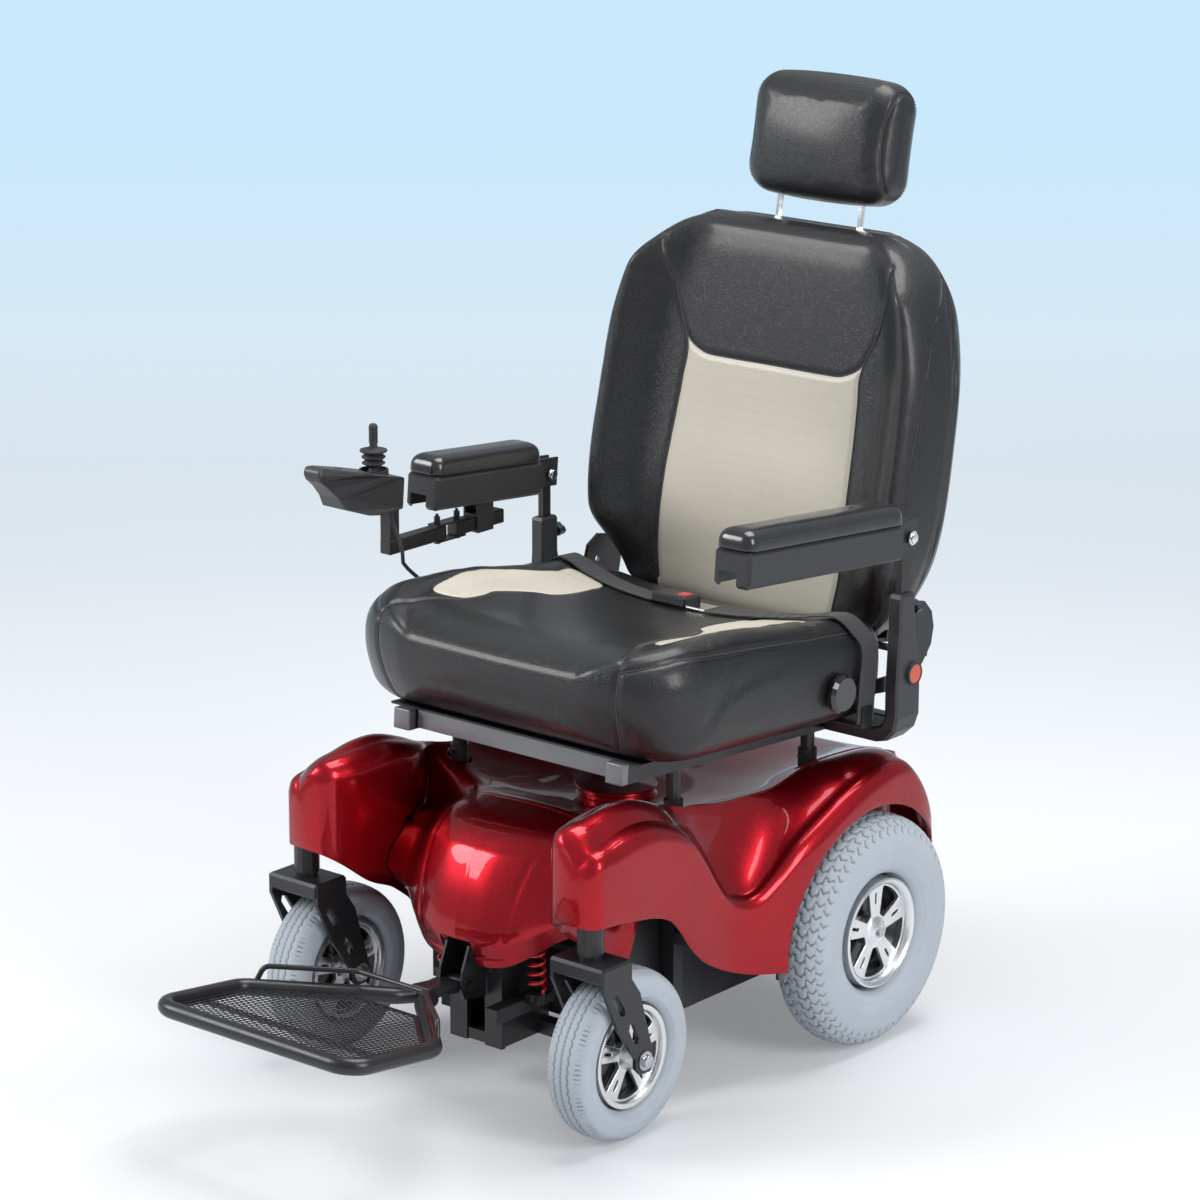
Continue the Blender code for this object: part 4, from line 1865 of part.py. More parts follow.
def footplate_deck():
    lean = math.cos(FOOT_SLOPE)
    corners = [
        (-FOOT_HALF_WIDTH, FOOT_FRONT_Y), (-FOOT_HALF_WIDTH, FOOT_SIDE_Y), (-FOOT_REAR_HALF, FOOT_REAR_Y),
        (FOOT_REAR_HALF, FOOT_REAR_Y), (FOOT_HALF_WIDTH, FOOT_SIDE_Y), (FOOT_HALF_WIDTH, FOOT_FRONT_Y),
    ]
    local = [(x, (y - FOOT_REAR_Y) / lean) for x, y in corners]
    margin = FOOT_TUBE_RADIUS + GAP
    border = inset(local, margin)
    rim = [Vector(point).to_3d() for point in border]
    outline = [p.to_2d() for p in rounded_path(rim, FOOT_BEND - margin, 3, closed=True)]
    holes_in = inset(local, margin + MESH_BORDER)
    pitch_x = 2 * FOOT_HALF_WIDTH / MESH_COLUMNS
    pitch_y = abs(local[0][1]) / MESH_ROWS
    outlines = [outline]
    for row in range(2 * MESH_ROWS):
        for column in range(-MESH_COLUMNS, MESH_COLUMNS + 1):
            if (row + column) % 2:
                continue
            centre = Vector((column * pitch_x / 2, local[0][1] + row * pitch_y / 2))
            tips = [
                centre + Vector((way_x * (pitch_x / 2 - MESH_STRAND), way_y * (pitch_y / 2 - MESH_STRAND)))
                for way_x, way_y in ((1, 0), (0, 1), (-1, 0), (0, -1))
            ]
            if all(inside(holes_in, tip) for tip in tips):
                outlines.append(tips)
    place = (0.0, FOOT_REAR_Y, FOOT_REAR_Z)
    deck = plate("footplate_deck", outlines, DECK_THICKNESS, place, (-FOOT_SLOPE, 0.0, 0.0))
    return finish(deck, "footplate", BLACK_PAINT)


def bodies():
    """One empty on each joint, in the order in which the bodies carry each other."""
    body("chassis", (0, 0, 0))
    caster_y = CASTER_STEM_Y + CASTER_TRAIL
    for name, side in SIDES:
        body("wheel_" + name, (side * DRIVE_X, 0, DRIVE_RADIUS), "chassis")
        body("suspension_" + name, (side * SPRING_X, PIVOT_Y, PIVOT_Z), "chassis")
        body("swivel_" + name, (side * CASTER_X, CASTER_STEM_Y, BARREL_BOTTOM), "suspension_" + name)
        body("caster_" + name, (side * CASTER_X, caster_y, CASTER_RADIUS), "swivel_" + name)
    body("seat", SEAT_ORIGIN, "chassis")
    body("back", (0, HINGE_Y, HINGE_Z), "seat")
    body("headrest", tilted(BACK_ORIGIN, BACK_LEAN, (0, ROD_DEPTH, BACK_TOP)), "back")
    body("recline_lever", (LEVER_X, HINGE_Y, HINGE_Z), "seat")
    body("belt_button", tilted(SEAT_ORIGIN, SEAT_TILT, (0, along_seat(BELT_ANCHOR_Y), 0)), "seat")
    for name, side in SIDES:
        body("arm_" + name, (side * ARM_X, ARM_POST_Y, ARM_SLEEVE_TOP), "seat")
        body("armrest_" + name, arm_pivot(side), "arm_" + name)
        body("knob_" + name, (side * ARM_X, ARM_POST_Y + 0.03, KNOB_Z), "seat")
    body("joystick_bar", (-ARM_X, LINK_REAR_Y, BAR_Z), "armrest_right")
    body("joystick_link", (-ARM_X, LINK_REAR_Y, BAR_Z), "joystick_bar")
    body("joystick_swing", (-ARM_X, LINK_FRONT_Y, BAR_Z), "joystick_link")
    body("joystick_gimbal", (-ARM_X, STICK_Y, STICK_Z), "joystick_swing")
    body("joystick_lever", (-ARM_X, STICK_Y, STICK_Z), "joystick_gimbal")
    body("power_button", (-ARM_X, BUTTON_Y, case_top(BUTTON_Y)), "joystick_swing")
    body("footplate_hanger", (0, LEG_FRONT_Y, FOOT_PIVOT_Z), "chassis")
    body("footplate", (0, FOOT_PIVOT_Y, FOOT_PIVOT_Z), "footplate_hanger")


def build():
    bodies()
    chassis_frame()
    battery_tray()
    battery("battery_front", 0)
    battery("battery_rear", 1)
    control_module()
    top_cover()
    nose_cover()
    side_covers()
    lengths = {"left": ARM_LENGTH_LEFT, "right": ARM_LENGTH_RIGHT}
    for name, side in SIDES:
        drive_motor("drive_motor_" + name, side)
        drive_rim("drive_rim_" + name, side, "wheel_" + name)
        tyre(
            "drive_tyre_" + name, DRIVE_RADIUS, DRIVE_RIM_RADIUS + GAP, DRIVE_WIDTH,
            (side * DRIVE_X, 0.0, DRIVE_RADIUS), WHEEL_STEPS, "wheel_" + name,
        )
        suspension_arm("suspension_arm_" + name, side, "suspension_" + name)
        spring("spring_" + name, side)
        caster_fork("caster_fork_" + name, side, "swivel_" + name)
        caster_rim("caster_rim_" + name, side, "caster_" + name)
        tyre(
            "caster_tyre_" + name, CASTER_RADIUS, CASTER_RIM_RADIUS + GAP, CASTER_WIDTH,
            (side * CASTER_X, CASTER_STEM_Y + CASTER_TRAIL, CASTER_RADIUS), CASTER_STEPS, "caster_" + name,
        )
        arm_bracket("arm_bracket_" + name, side)
        arm_post("arm_post_" + name, side, "arm_" + name)
        arm_knob("arm_knob_" + name, side, "knob_" + name)
        reflector("reflector_" + name, side)
        arm_channel("arm_channel_" + name, side, lengths[name], "armrest_" + name)
        arm_pad("arm_pad_" + name, side, lengths[name], "armrest_" + name)
    seat_frame()
    seat_cushion()
    lap_belt()
    recline_lever()
    back_bracket()
    back_cushion()
    headrest()
    joystick_arm()
    joystick_case()
    joystick_stick()
    joystick_cable()
    footplate_hanger()
    footplate_frame()
    footplate_deck()


def stand_on_origin():
    """Move the chassis so that the footprint's centre is the world origin, and print the joints."""
    bpy.context.view_layer.update()
    graph = bpy.context.evaluated_depsgraph_get()
    low = Vector((math.inf,) * 3)
    high = Vector((-math.inf,) * 3)
    for item in PARTS.objects:
        if item.type != "MESH":
            continue
        shape = item.evaluated_get(graph)
        for corner in shape.bound_box:
            point = item.matrix_world @ Vector(corner)
            low = Vector([min(a, b) for a, b in zip(low, point)])
            high = Vector([max(a, b) for a, b in zip(high, point)])
    shift = Vector((-(low.x + high.x) / 2, -(low.y + high.y) / 2, -low.z))
    BODIES["chassis"][0].location = shift
    print("overall size", [round(side, 4) for side in high - low])
    for name, (empty, pivot) in BODIES.items():
        print("joint", name, [round(value, 5) for value in pivot + shift])


build()
stand_on_origin()
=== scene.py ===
"""Looks of a bariatric power wheelchair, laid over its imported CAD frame.

All places are in metres. The pieces are laid out from the point on the floor under the
drive axle (+Y to the rear, +X to the rider's left, +Z up) and then moved by SHIFT onto the
CAD frame.
"""

import math

import bmesh
import bpy
import numpy as np
from mathutils import Matrix, Vector
from mathutils.bvhtree import BVHTree


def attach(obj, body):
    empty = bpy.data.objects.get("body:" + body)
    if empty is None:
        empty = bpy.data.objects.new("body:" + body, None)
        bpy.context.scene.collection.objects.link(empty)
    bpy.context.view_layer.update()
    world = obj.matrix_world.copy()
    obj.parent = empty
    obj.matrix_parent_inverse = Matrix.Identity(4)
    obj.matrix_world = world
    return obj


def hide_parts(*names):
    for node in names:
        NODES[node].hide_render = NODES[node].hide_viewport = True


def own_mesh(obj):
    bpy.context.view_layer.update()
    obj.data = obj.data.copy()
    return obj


bl_info = {
    "name": "Power wheelchair looks",
    "version": (1, 0, 0),
    "blender": (4, 5, 0),
    "location": "View3D > Sidebar > Wheelchair",
    "description": "Covers, upholstery, tyres, wheels and finishes of a power wheelchair",
    "category": "Object",
}

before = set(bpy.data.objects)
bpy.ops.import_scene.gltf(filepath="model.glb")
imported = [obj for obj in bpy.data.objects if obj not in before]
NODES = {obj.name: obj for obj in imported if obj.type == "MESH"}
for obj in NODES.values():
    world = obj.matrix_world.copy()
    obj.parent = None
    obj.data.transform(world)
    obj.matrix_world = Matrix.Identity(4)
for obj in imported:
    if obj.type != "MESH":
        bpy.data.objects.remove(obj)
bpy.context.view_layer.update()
SHIFT = Vector((0.00198, 0.3096, 0.0))
SIDES = (("left", 1), ("right", -1))

# Wheels
DRIVE_RADIUS = 0.178
DRIVE_WIDTH = 0.088
DRIVE_X = 0.3155
CASTER_RADIUS = 0.127
CASTER_WIDTH = 0.071
CASTER_X = 0.274
CASTER_Y = -0.5255
LUG_WIDTH = 0.0158
LUG_ROWS = 54
SIDEWALL_RINGS = ((0.64625, 0.0011), (0.6703125, 0.0011), (0.83, 0.0013))
FORK_ROOM = 0.008
FORK_PLATE = 0.006

# Camera, from the drive axle
CAMERA_AZIMUTH = math.radians(39.86)
CAMERA_ELEVATION = math.radians(15.73)
CAMERA_ROLL = math.radians(0.13)
CAMERA_LENS = 128.08
CAMERA_PLACE = (3.886, -4.893, 2.391)
FLOOR_REACH = 60

# Seat frame of reference
SEAT_ORIGIN = (0.0, -0.448, 0.509)
SEAT_TILT = math.radians(3.6)
SEAT_HALF = 0.302
SEAT_FRONT = -0.046
SEAT_REAR = 0.513
SEAM_FRONT = 0.180
SEAM_REAR = 0.158
PAN_TOP = 0.0183
BELT_Y = 0.4408
BELT_DRIFT = -0.040
BELT_HALF = 0.020
BELT_CLEARANCE = 0.0055
BELT_SIDE_X = 0.3175

# Back frame of reference
BACK_ORIGIN = (0.0, 0.104, 0.618)
BACK_LEAN = math.radians(10.8)
BACK_TOP = 0.580
BACK_LOW = -0.034
BACK_THICKNESS = 0.110
BACK_ROUND = 0.030

# Cushions and sewing
SEAT_GRID = (100, 92, 24)
BACK_GRID = (100, 20, 100)
HEAD_GRID = (52, 20, 36)
CLOTH_FRAMES = 20
STITCH_PITCH = 0.0042
STITCH_LENGTH = 0.0036
STITCH_RADIUS = 0.0006
# Dark tubes sunk into the sewn lines, as painted shade in the seams
SEAM_SHADE_RADIUS = 0.0011
SEAM_SHADE_SINK = 0.9  # share of the seam's depth

# Arms and joystick
ARM_X = 0.347
ARM_Y = 0.040
ARM_PITCH = math.radians(5.0)
ARM_Z = {"left": 0.784, "right": 0.768}
ARM_LENGTH = {"left": 0.370, "right": 0.247}
HINGE_BOLT_X = 0.017
STICK_Y = -0.352
STICK_Z = 0.835

# Front springs
COIL_X = 0.088
COIL_Y = -0.485
COIL_RADIUS = 0.0115
COIL_WIRE = 0.0025
COIL_LOW = 0.165
COIL_HIGH = 0.2647
COIL_END = 0.005
COIL_CURLS = 7
COIL_STEPS = 36

# Footplate
FOOT_SLOPE = 0.125
FOOT_HALF = 0.187
FOOT_FRONT_Y = -0.984
FOOT_SIDE_Y = -0.817
FOOT_REAR_Y = -0.705
FOOT_REAR_HALF = 0.070
FOOT_REAR_Z = 0.184

# Covers
COVER_REAR_Y = 0.176
COVER_FRONT_Y = -0.610
COVER_WALL = 0.003
SEAM_GAP = 0.0015
NOSE_SEAM_Y = -0.405
NOSE_TOP = 0.411
NOSE_BOTTOM = 0.205
POST_X = 0.207
POST_PLACES_Y = (-0.320, 0.0)
POST_HOLE = 0.0187
REAR_TUCK = 0.037
REAR_HALF = 0.235
ARCH_RADIUS = 0.194

OUTER_X = [
    (COVER_FRONT_Y, 0.284), (-0.600, 0.2955), (-0.585, 0.2995), (-0.400, 0.2995),
    (-0.300, 0.303), (-0.220, 0.319), (-0.150, 0.333), (-0.090, 0.336),
    (0.100, 0.336), (0.150, 0.330), (COVER_REAR_Y, 0.316),
]
INNER_X = [
    (COVER_FRONT_Y, 0.228), (-0.600, 0.213), (-0.575, 0.203), (-0.550, 0.198),
    (-0.440, 0.195), (-0.400, 0.208), (-0.375, 0.224), (-0.350, 0.2365),
]
SHOULDER_Z = [
    (COVER_FRONT_Y, 0.420), (-0.596, 0.439), (-0.553, 0.450), (-0.518, 0.457),
    (-0.474, 0.458), (-0.438, 0.450), (-0.402, 0.435), (-0.377, 0.415), (-0.352, 0.381),
    (-0.335, 0.353), (-0.310, 0.318), (-0.285, 0.299), (-0.250, 0.294), (-0.215, 0.315),
    (-0.166, 0.355), (-0.099, 0.388), (-0.032, 0.414), (0.037, 0.428), (0.084, 0.425),
    (0.110, 0.405), (0.140, 0.365), (0.160, 0.322), (COVER_REAR_Y, 0.284),
]
INNER_TOP_Z = [
    (COVER_FRONT_Y, 0.452), (-0.598, 0.467), (-0.570, 0.474), (-0.480, 0.478),
    (-0.420, 0.465), (-0.380, 0.452), (-0.325, 0.436), (-0.250, 0.422), (-0.177, 0.416),
    (-0.124, 0.414), (-0.043, 0.428), (0.000, 0.430), (0.100, 0.422), (0.158, 0.405),
    (COVER_REAR_Y, 0.398),
]
CROWN = [
    (COVER_FRONT_Y, 0.004), (-0.570, 0.010), (-0.480, 0.014), (-0.400, 0.008),
    (-0.340, -0.010), (-0.260, -0.024), (-0.180, -0.012), (-0.100, 0.004),
    (0.060, 0.008), (COVER_REAR_Y, 0.004),
]
INNER_ROUND = [
    (COVER_FRONT_Y, 0.018), (-0.570, 0.032), (-0.440, 0.030), (-0.380, 0.014),
    (-0.350, 0.005), (COVER_REAR_Y, 0.005),
]
OUTER_ROUND = [
    (COVER_FRONT_Y, 0.018), (-0.550, 0.028), (-0.400, 0.028), (-0.250, 0.018),
    (-0.100, 0.030), (COVER_REAR_Y, 0.018),
]
OUTER_LOW_Z = [
    (COVER_FRONT_Y, 0.337), (-0.560, 0.334), (-0.517, 0.328), (-0.473, 0.320),
    (-0.437, 0.305), (-0.416, 0.283), (-0.395, 0.255), (-0.366, 0.226), (-0.325, 0.201),
    (-0.270, 0.179), (-0.214, 0.167), (-0.185, 0.165), (-0.140, 0.200), (-0.080, 0.270),
    (COVER_REAR_Y, 0.270),
]
INNER_LOW_Z = [
    (COVER_FRONT_Y, 0.335), (-0.585, 0.317), (-0.532, 0.278), (-0.487, 0.258),
    (-0.450, 0.232), (-0.420, 0.212), (-0.395, 0.300), (-0.370, 0.410), (-0.345, 0.428),
    (-0.325, 0.424), (-0.250, 0.410), (-0.177, 0.404), (-0.124, 0.402), (-0.043, 0.416),
    (0.000, 0.418), (0.100, 0.410), (0.150, 0.395), (COVER_REAR_Y, 0.270),
]
NOSE_PROFILE = [
    (NOSE_SEAM_Y, 0.411), (-0.460, 0.405), (-0.491, 0.395), (-0.515, 0.378), (-0.530, 0.360),
    (-0.553, 0.310), (-0.566, 0.255), (-0.560, 0.225), (-0.553, 0.205),
]
NOSE_RECESS = [(0.0, 0.0), (0.05, 0.005), (0.10, 0.024), (0.15, 0.058), (0.20, 0.068)]
NOSE_DROP = [(0.0, 0.0), (0.05, 0.001), (0.10, 0.006), (0.15, 0.031), (0.20, 0.047)]
NOSE_LOW_Z = [(0.0, 0.205), (0.07, 0.209), (0.10, 0.223), (0.146, 0.256), (0.20, 0.277)]
TOP_CENTRE_Z = [
    (NOSE_SEAM_Y, 0.411), (-0.360, 0.397), (-0.300, 0.382), (-0.200, 0.374),
    (-0.050, 0.376), (0.050, 0.386), (0.120, 0.392), (0.170, 0.390), (0.195, 0.383),
]
TOP_EDGE_Z = [
    (NOSE_SEAM_Y, 0.364), (-0.380, 0.392), (-0.350, 0.428), (-0.325, 0.436),
    (-0.250, 0.422), (-0.177, 0.416), (-0.124, 0.414), (-0.043, 0.428), (0.000, 0.430),
    (0.100, 0.422), (0.158, 0.405), (0.195, 0.385),
]
BACK_OUTLINE = [
    (BACK_LOW, 0.215), (0.002, 0.252), (0.083, 0.296), (0.160, 0.310), (0.290, 0.311),
    (0.380, 0.306), (0.440, 0.294), (0.490, 0.276), (0.535, 0.242), (0.565, 0.204),
    (BACK_TOP, 0.168),
]
PANEL_HALF = [
    (BACK_LOW, 0.150), (0.002, 0.166), (0.065, 0.186), (0.157, 0.190), (0.250, 0.180),
    (0.326, 0.170), (0.366, 0.166), (0.425, 0.188), (0.490, 0.206), (0.535, 0.212),
    (BACK_TOP, 0.150),
]
CABLE_ROUTE = [
    (-0.3285, -0.334, 0.7847), (-0.3285, -0.334, 0.770), (-0.3060, -0.336, 0.730),
    (-0.3070, -0.334, 0.708), (-0.3100, -0.318, 0.692), (-0.3180, -0.285, 0.668),
    (-0.3230, -0.243, 0.625), (-0.3265, -0.195, 0.565), (-0.3220, -0.150, 0.505),
    (-0.3000, -0.118, 0.467), (-0.2600, -0.098, 0.449), (-0.2000, -0.078, 0.441),
    (-0.1450, -0.060, 0.432), (-0.1120, -0.052, 0.424), (-0.100, -0.050, 0.410),
    (-0.100, -0.050, 0.3943),
]
CABLE_RADIUS = 0.003
CABLE_POINTS = 36


# Small helpers
def smooth(knots, place):
    """Value at a place, on a smooth curve through (place, value) pairs."""
    if place <= knots[0][0]:
        return knots[0][1]
    if place >= knots[-1][0]:
        return knots[-1][1]
    last = len(knots) - 1
    index = max(n for n in range(last) if knots[n][0] <= place)

    def slope(n):
        before = knots[max(n - 1, 0)]
        after = knots[min(n + 1, last)]
        return (after[1] - before[1]) / (after[0] - before[0])

    (start, low), (end, high) = knots[index], knots[index + 1]
    span = end - start
    t = (place - start) / span
    lead = (2 * t**3 - 3 * t**2 + 1) * low + (t**3 - 2 * t**2 + t) * span * slope(index)
    tail = (3 * t**2 - 2 * t**3) * high + (t**3 - t**2) * span * slope(index + 1)
    return lead + tail


def ease(t):
    t = min(max(t, 0.0), 1.0)
    return t * t * (3 - 2 * t)


def bump(distance, width):
    """A rounded peak of height 1 at no distance."""
    return math.exp(-((distance / width) ** 2))


def spread(start, end, count):
    return [start + (end - start) * n / (count - 1) for n in range(count)]


def tilted(origin, angle, point):
    """World place of a point in a frame that leans back by an angle about X."""
    x, y, z = point
    return Vector((
        origin[0] + x,
        origin[1] + y * math.cos(angle) + z * math.sin(angle),
        origin[2] - y * math.sin(angle) + z * math.cos(angle),
    )) + SHIFT


def on_seat(point):
    return tilted(SEAT_ORIGIN, SEAT_TILT, point)


def on_back(point):
    return tilted(BACK_ORIGIN, BACK_LEAN, point)


def on_arm(name, point):
    side = 1 if name == "left" else -1
    return tilted((side * ARM_X, ARM_Y, ARM_Z[name]), ARM_PITCH, point)


def here(x, y, z):
    """World place of a point given from the drive axle."""
    return Vector((x, y, z)) + SHIFT


def rounded_path(points, radius, steps=6, closed=False):
    """The points with every inner corner replaced by an arc of the radius."""
    points = [Vector(point) for point in points]
    count = len(points)
    path = []
    for n, corner in enumerate(points):
        if not closed and n in (0, count - 1):
            path.append(corner)
            continue
        to_last = (points[n - 1] - corner).normalized()
        to_next = (points[(n + 1) % count] - corner).normalized()
        half_angle = to_last.angle(to_next) / 2
        reach = radius / math.tan(half_angle)
        centre = corner + (to_last + to_next).normalized() * (radius / math.sin(half_angle))
        start = corner + to_last * reach - centre
        end = corner + to_next * reach - centre
        path.extend(centre + radius * start.slerp(end, k / steps) for k in range(steps + 1))
    return path


# Node groups
def group_tree(name, inputs, outputs):
    """A shader node group with named sockets, given as (name, kind, default) tuples."""
    tree = bpy.data.node_groups.new(name, "ShaderNodeTree")
    for label, kind, default in inputs:
        socket = tree.interface.new_socket(name=label, in_out="INPUT", socket_type=kind)
        socket.default_value = default
    for label, kind in outputs:
        tree.interface.new_socket(name=label, in_out="OUTPUT", socket_type=kind)
    return tree, tree.nodes.new("NodeGroupInput"), tree.nodes.new("NodeGroupOutput")


def feed(tree, item, inputs):
    """Set a node's inputs to values, or link them to sockets."""
    for label, value in inputs.items():
        if isinstance(value, bpy.types.NodeSocket):
            tree.links.new(value, item.inputs[label])
        else:
            item.inputs[label].default_value = value
    return item


def add(tree, kind, inputs=None, **settings):
    """A node with its settings and inputs."""
    item = tree.nodes.new("ShaderNode" + kind)
    for label, value in settings.items():
        setattr(item, label, value)
    return feed(tree, item, inputs or {})


def calc(tree, operation, first, second=0.0, clamp=False):
    item = add(tree, "Math", {0: first, 1: second}, operation=operation, use_clamp=clamp)
    return item.outputs[0]


def remap(tree, value, low, high, start=0.0, end=1.0):
    item = add(tree, "MapRange", {0: value, 1: low, 2: high, 3: start, 4: end})
    item.interpolation_type = "SMOOTHSTEP"
    return item.outputs[0]


def blend_colours(tree, share, first, second):
    item = add(tree, "Mix", {0: share, 6: first, 7: second}, data_type="RGBA", blend_type="MIX")
    return item.outputs[2]


def grain_group():
    """Hide-like grain: small pebbles, fine pores and slow creases."""
    tree, start, end = group_tree(
        "leather_grain",
        [("Scale", "NodeSocketFloat", 520.0), ("Creases", "NodeSocketFloat", 0.4)],
        [("Height", "NodeSocketFloat"), ("Valleys", "NodeSocketFloat")],
    )
    place = add(tree, "TexCoord").outputs["Object"]
    scale = start.outputs["Scale"]
    warp = add(tree, "TexNoise", {"Vector": place, "Scale": 90.0, "Detail": 2.0}).outputs["Color"]
    mixed = add(tree, "VectorMath", {0: place}, operation="ADD")
    shrunk = add(tree, "VectorMath", {0: warp, "Scale": 0.0016}, operation="SCALE")
    tree.links.new(shrunk.outputs[0], mixed.inputs[1])
    inputs = {"Vector": mixed.outputs[0], "Scale": scale}
    cells = add(tree, "TexVoronoi", inputs, feature="DISTANCE_TO_EDGE")
    pebble = remap(tree, cells.outputs["Distance"], 0.0, 0.28)
    fine = add(tree, "TexNoise", {"Vector": place, "Scale": 1900.0, "Detail": 2.0}).outputs["Fac"]
    slow = add(tree, "TexNoise", {"Vector": place, "Scale": 46.0, "Detail": 6.0, "Distortion": 2.2})
    crease = remap(tree, slow.outputs["Fac"], 0.46, 0.52)
    crease = calc(tree, "MULTIPLY", crease, start.outputs["Creases"])
    height = calc(tree, "ADD", calc(tree, "MULTIPLY", pebble, 0.7), calc(tree, "MULTIPLY", fine, 0.16))
    tree.links.new(calc(tree, "ADD", height, crease), end.inputs["Height"])
    tree.links.new(calc(tree, "SUBTRACT", 1.0, pebble), end.inputs["Valleys"])
    return tree


def drift_group():
    """Slow and fine variation of a colour, with a value for the roughness."""
    tree, start, end = group_tree(
        "colour_drift",
        [
            ("Colour", "NodeSocketColor", (0.5, 0.5, 0.5, 1.0)), ("Amount", "NodeSocketFloat", 0.15),
            ("Scale", "NodeSocketFloat", 14.0),
        ],
        [("Colour", "NodeSocketColor"), ("Value", "NodeSocketFloat")],
    )
    place = add(tree, "TexCoord").outputs["Object"]
    scale = start.outputs["Scale"]
    slow = add(tree, "TexNoise", {"Vector": place, "Scale": scale, "Detail": 4.0}).outputs["Fac"]
    quick = calc(tree, "MULTIPLY", scale, 22.0)
    fine = add(tree, "TexNoise", {"Vector": place, "Scale": quick, "Detail": 3.0}).outputs["Fac"]
    value = calc(tree, "ADD", calc(tree, "MULTIPLY", slow, 0.7), calc(tree, "MULTIPLY", fine, 0.3))
    swing = calc(tree, "MULTIPLY", calc(tree, "SUBTRACT", value, 0.5), start.outputs["Amount"])
    factor = calc(tree, "ADD", 1.0, calc(tree, "MULTIPLY", swing, 2.0))
    shade = add(tree, "VectorMath", {0: start.outputs["Colour"], "Scale": factor}, operation="SCALE")
    tree.links.new(shade.outputs[0], end.inputs["Colour"])
    tree.links.new(value, end.inputs["Value"])
    return tree


def wear_group():
    """Mask of rubbed outer edges, broken up by noise."""
    tree, start, end = group_tree(
        "edge_wear", [("Amount", "NodeSocketFloat", 0.5)], [("Mask", "NodeSocketFloat")]
    )
    place = add(tree, "TexCoord").outputs["Object"]
    edge = remap(tree, add(tree, "NewGeometry").outputs["Pointiness"], 0.53, 0.62)
    patch = add(tree, "TexNoise", {"Vector": place, "Scale": 85.0, "Detail": 6.0}).outputs["Fac"]
    mask = calc(tree, "MULTIPLY", edge, remap(tree, patch, 0.42, 0.62))
    tree.links.new(calc(tree, "MULTIPLY", mask, start.outputs["Amount"], True), end.inputs["Mask"])
    return tree


def speckle_group():
    """Fine moulded or sprayed texture."""
    tree, start, end = group_tree(
        "fine_texture", [("Scale", "NodeSocketFloat", 900.0)], [("Height", "NodeSocketFloat")]
    )
    place = add(tree, "TexCoord").outputs["Object"]
    scale = start.outputs["Scale"]
    dots = add(tree, "TexVoronoi", {"Vector": place, "Scale": scale}).outputs["Distance"]
    haze = add(tree, "TexNoise", {"Vector": place, "Scale": 160.0, "Detail": 4.0}).outputs["Fac"]
    height = calc(tree, "ADD", calc(tree, "MULTIPLY", dots, 0.6), calc(tree, "MULTIPLY", haze, 0.5))
    tree.links.new(height, end.inputs["Height"])
    return tree


def flake_group():
    """Metal flakes under clear lacquer: a colour with sparkle and a value."""
    tree, start, end = group_tree(
        "lacquer_flakes",
        [
            ("Deep", "NodeSocketColor", (0.2, 0.0, 0.0, 1.0)),
            ("Bright", "NodeSocketColor", (0.6, 0.0, 0.0, 1.0)),
        ],
        [("Colour", "NodeSocketColor"), ("Flake", "NodeSocketFloat")],
    )
    place = add(tree, "TexCoord").outputs["Object"]
    cells = add(tree, "TexVoronoi", {"Vector": place, "Scale": 2600.0}).outputs["Color"]
    flake = add(tree, "SeparateColor", {0: cells}).outputs[0]
    cloud = add(tree, "TexNoise", {"Vector": place, "Scale": 9.0, "Detail": 3.0}).outputs["Fac"]
    share = calc(tree, "ADD", calc(tree, "MULTIPLY", flake, 0.55), calc(tree, "MULTIPLY", cloud, 0.35))
    mixed = blend_colours(tree, share, start.outputs["Deep"], start.outputs["Bright"])
    tree.links.new(mixed, end.inputs["Colour"])
    tree.links.new(flake, end.inputs["Flake"])
    return tree


def ribs_group():
    """Lengthwise ribs and fine cross threads of a webbing strap."""
    tree, start, end = group_tree(
        "webbing_weave", [("Pitch", "NodeSocketFloat", 0.005)], [("Height", "NodeSocketFloat")]
    )
    place = add(tree, "SeparateXYZ", {0: add(tree, "TexCoord").outputs["Object"]})
    turns = calc(tree, "DIVIDE", place.outputs["Y"], start.outputs["Pitch"])
    rib = calc(tree, "ABSOLUTE", calc(tree, "SINE", calc(tree, "MULTIPLY", turns, math.pi)))
    both = calc(tree, "ADD", place.outputs["X"], place.outputs["Z"])
    thread = calc(tree, "SINE", calc(tree, "MULTIPLY", both, 2 * math.pi / 0.0016))
    slant = calc(tree, "SINE", calc(tree, "MULTIPLY", place.outputs["Y"], 2 * math.pi / 0.0012))
    knit = calc(tree, "MULTIPLY", calc(tree, "MULTIPLY", thread, slant), 0.18)
    tree.links.new(calc(tree, "ADD", rib, knit), end.inputs["Height"])
    return tree


def pores_group():
    """Pebbled cloth-backed vinyl with a close grid of small pores."""
    tree, start, end = group_tree(
        "breathing_pores", [("Pitch", "NodeSocketFloat", 0.0042)],
        [("Height", "NodeSocketFloat"), ("Pores", "NodeSocketFloat")],
    )
    place = add(tree, "TexCoord").outputs["Object"]
    scale = calc(tree, "DIVIDE", 1.0, start.outputs["Pitch"])
    cells = add(tree, "TexVoronoi", {"Vector": place, "Scale": scale, "Randomness": 0.35})
    pore = remap(tree, cells.outputs["Distance"], 0.10, 0.26, 1.0, 0.0)
    pebbles = add(tree, "TexVoronoi", {"Vector": place, "Scale": 700.0}).outputs["Distance"]
    grain = calc(tree, "MULTIPLY", pebbles, -0.5)
    height = calc(tree, "SUBTRACT", grain, calc(tree, "MULTIPLY", pore, 0.8))
    tree.links.new(height, end.inputs["Height"])
    tree.links.new(pore, end.inputs["Pores"])
    return tree


GROUPS = {}
FINISHES = {}


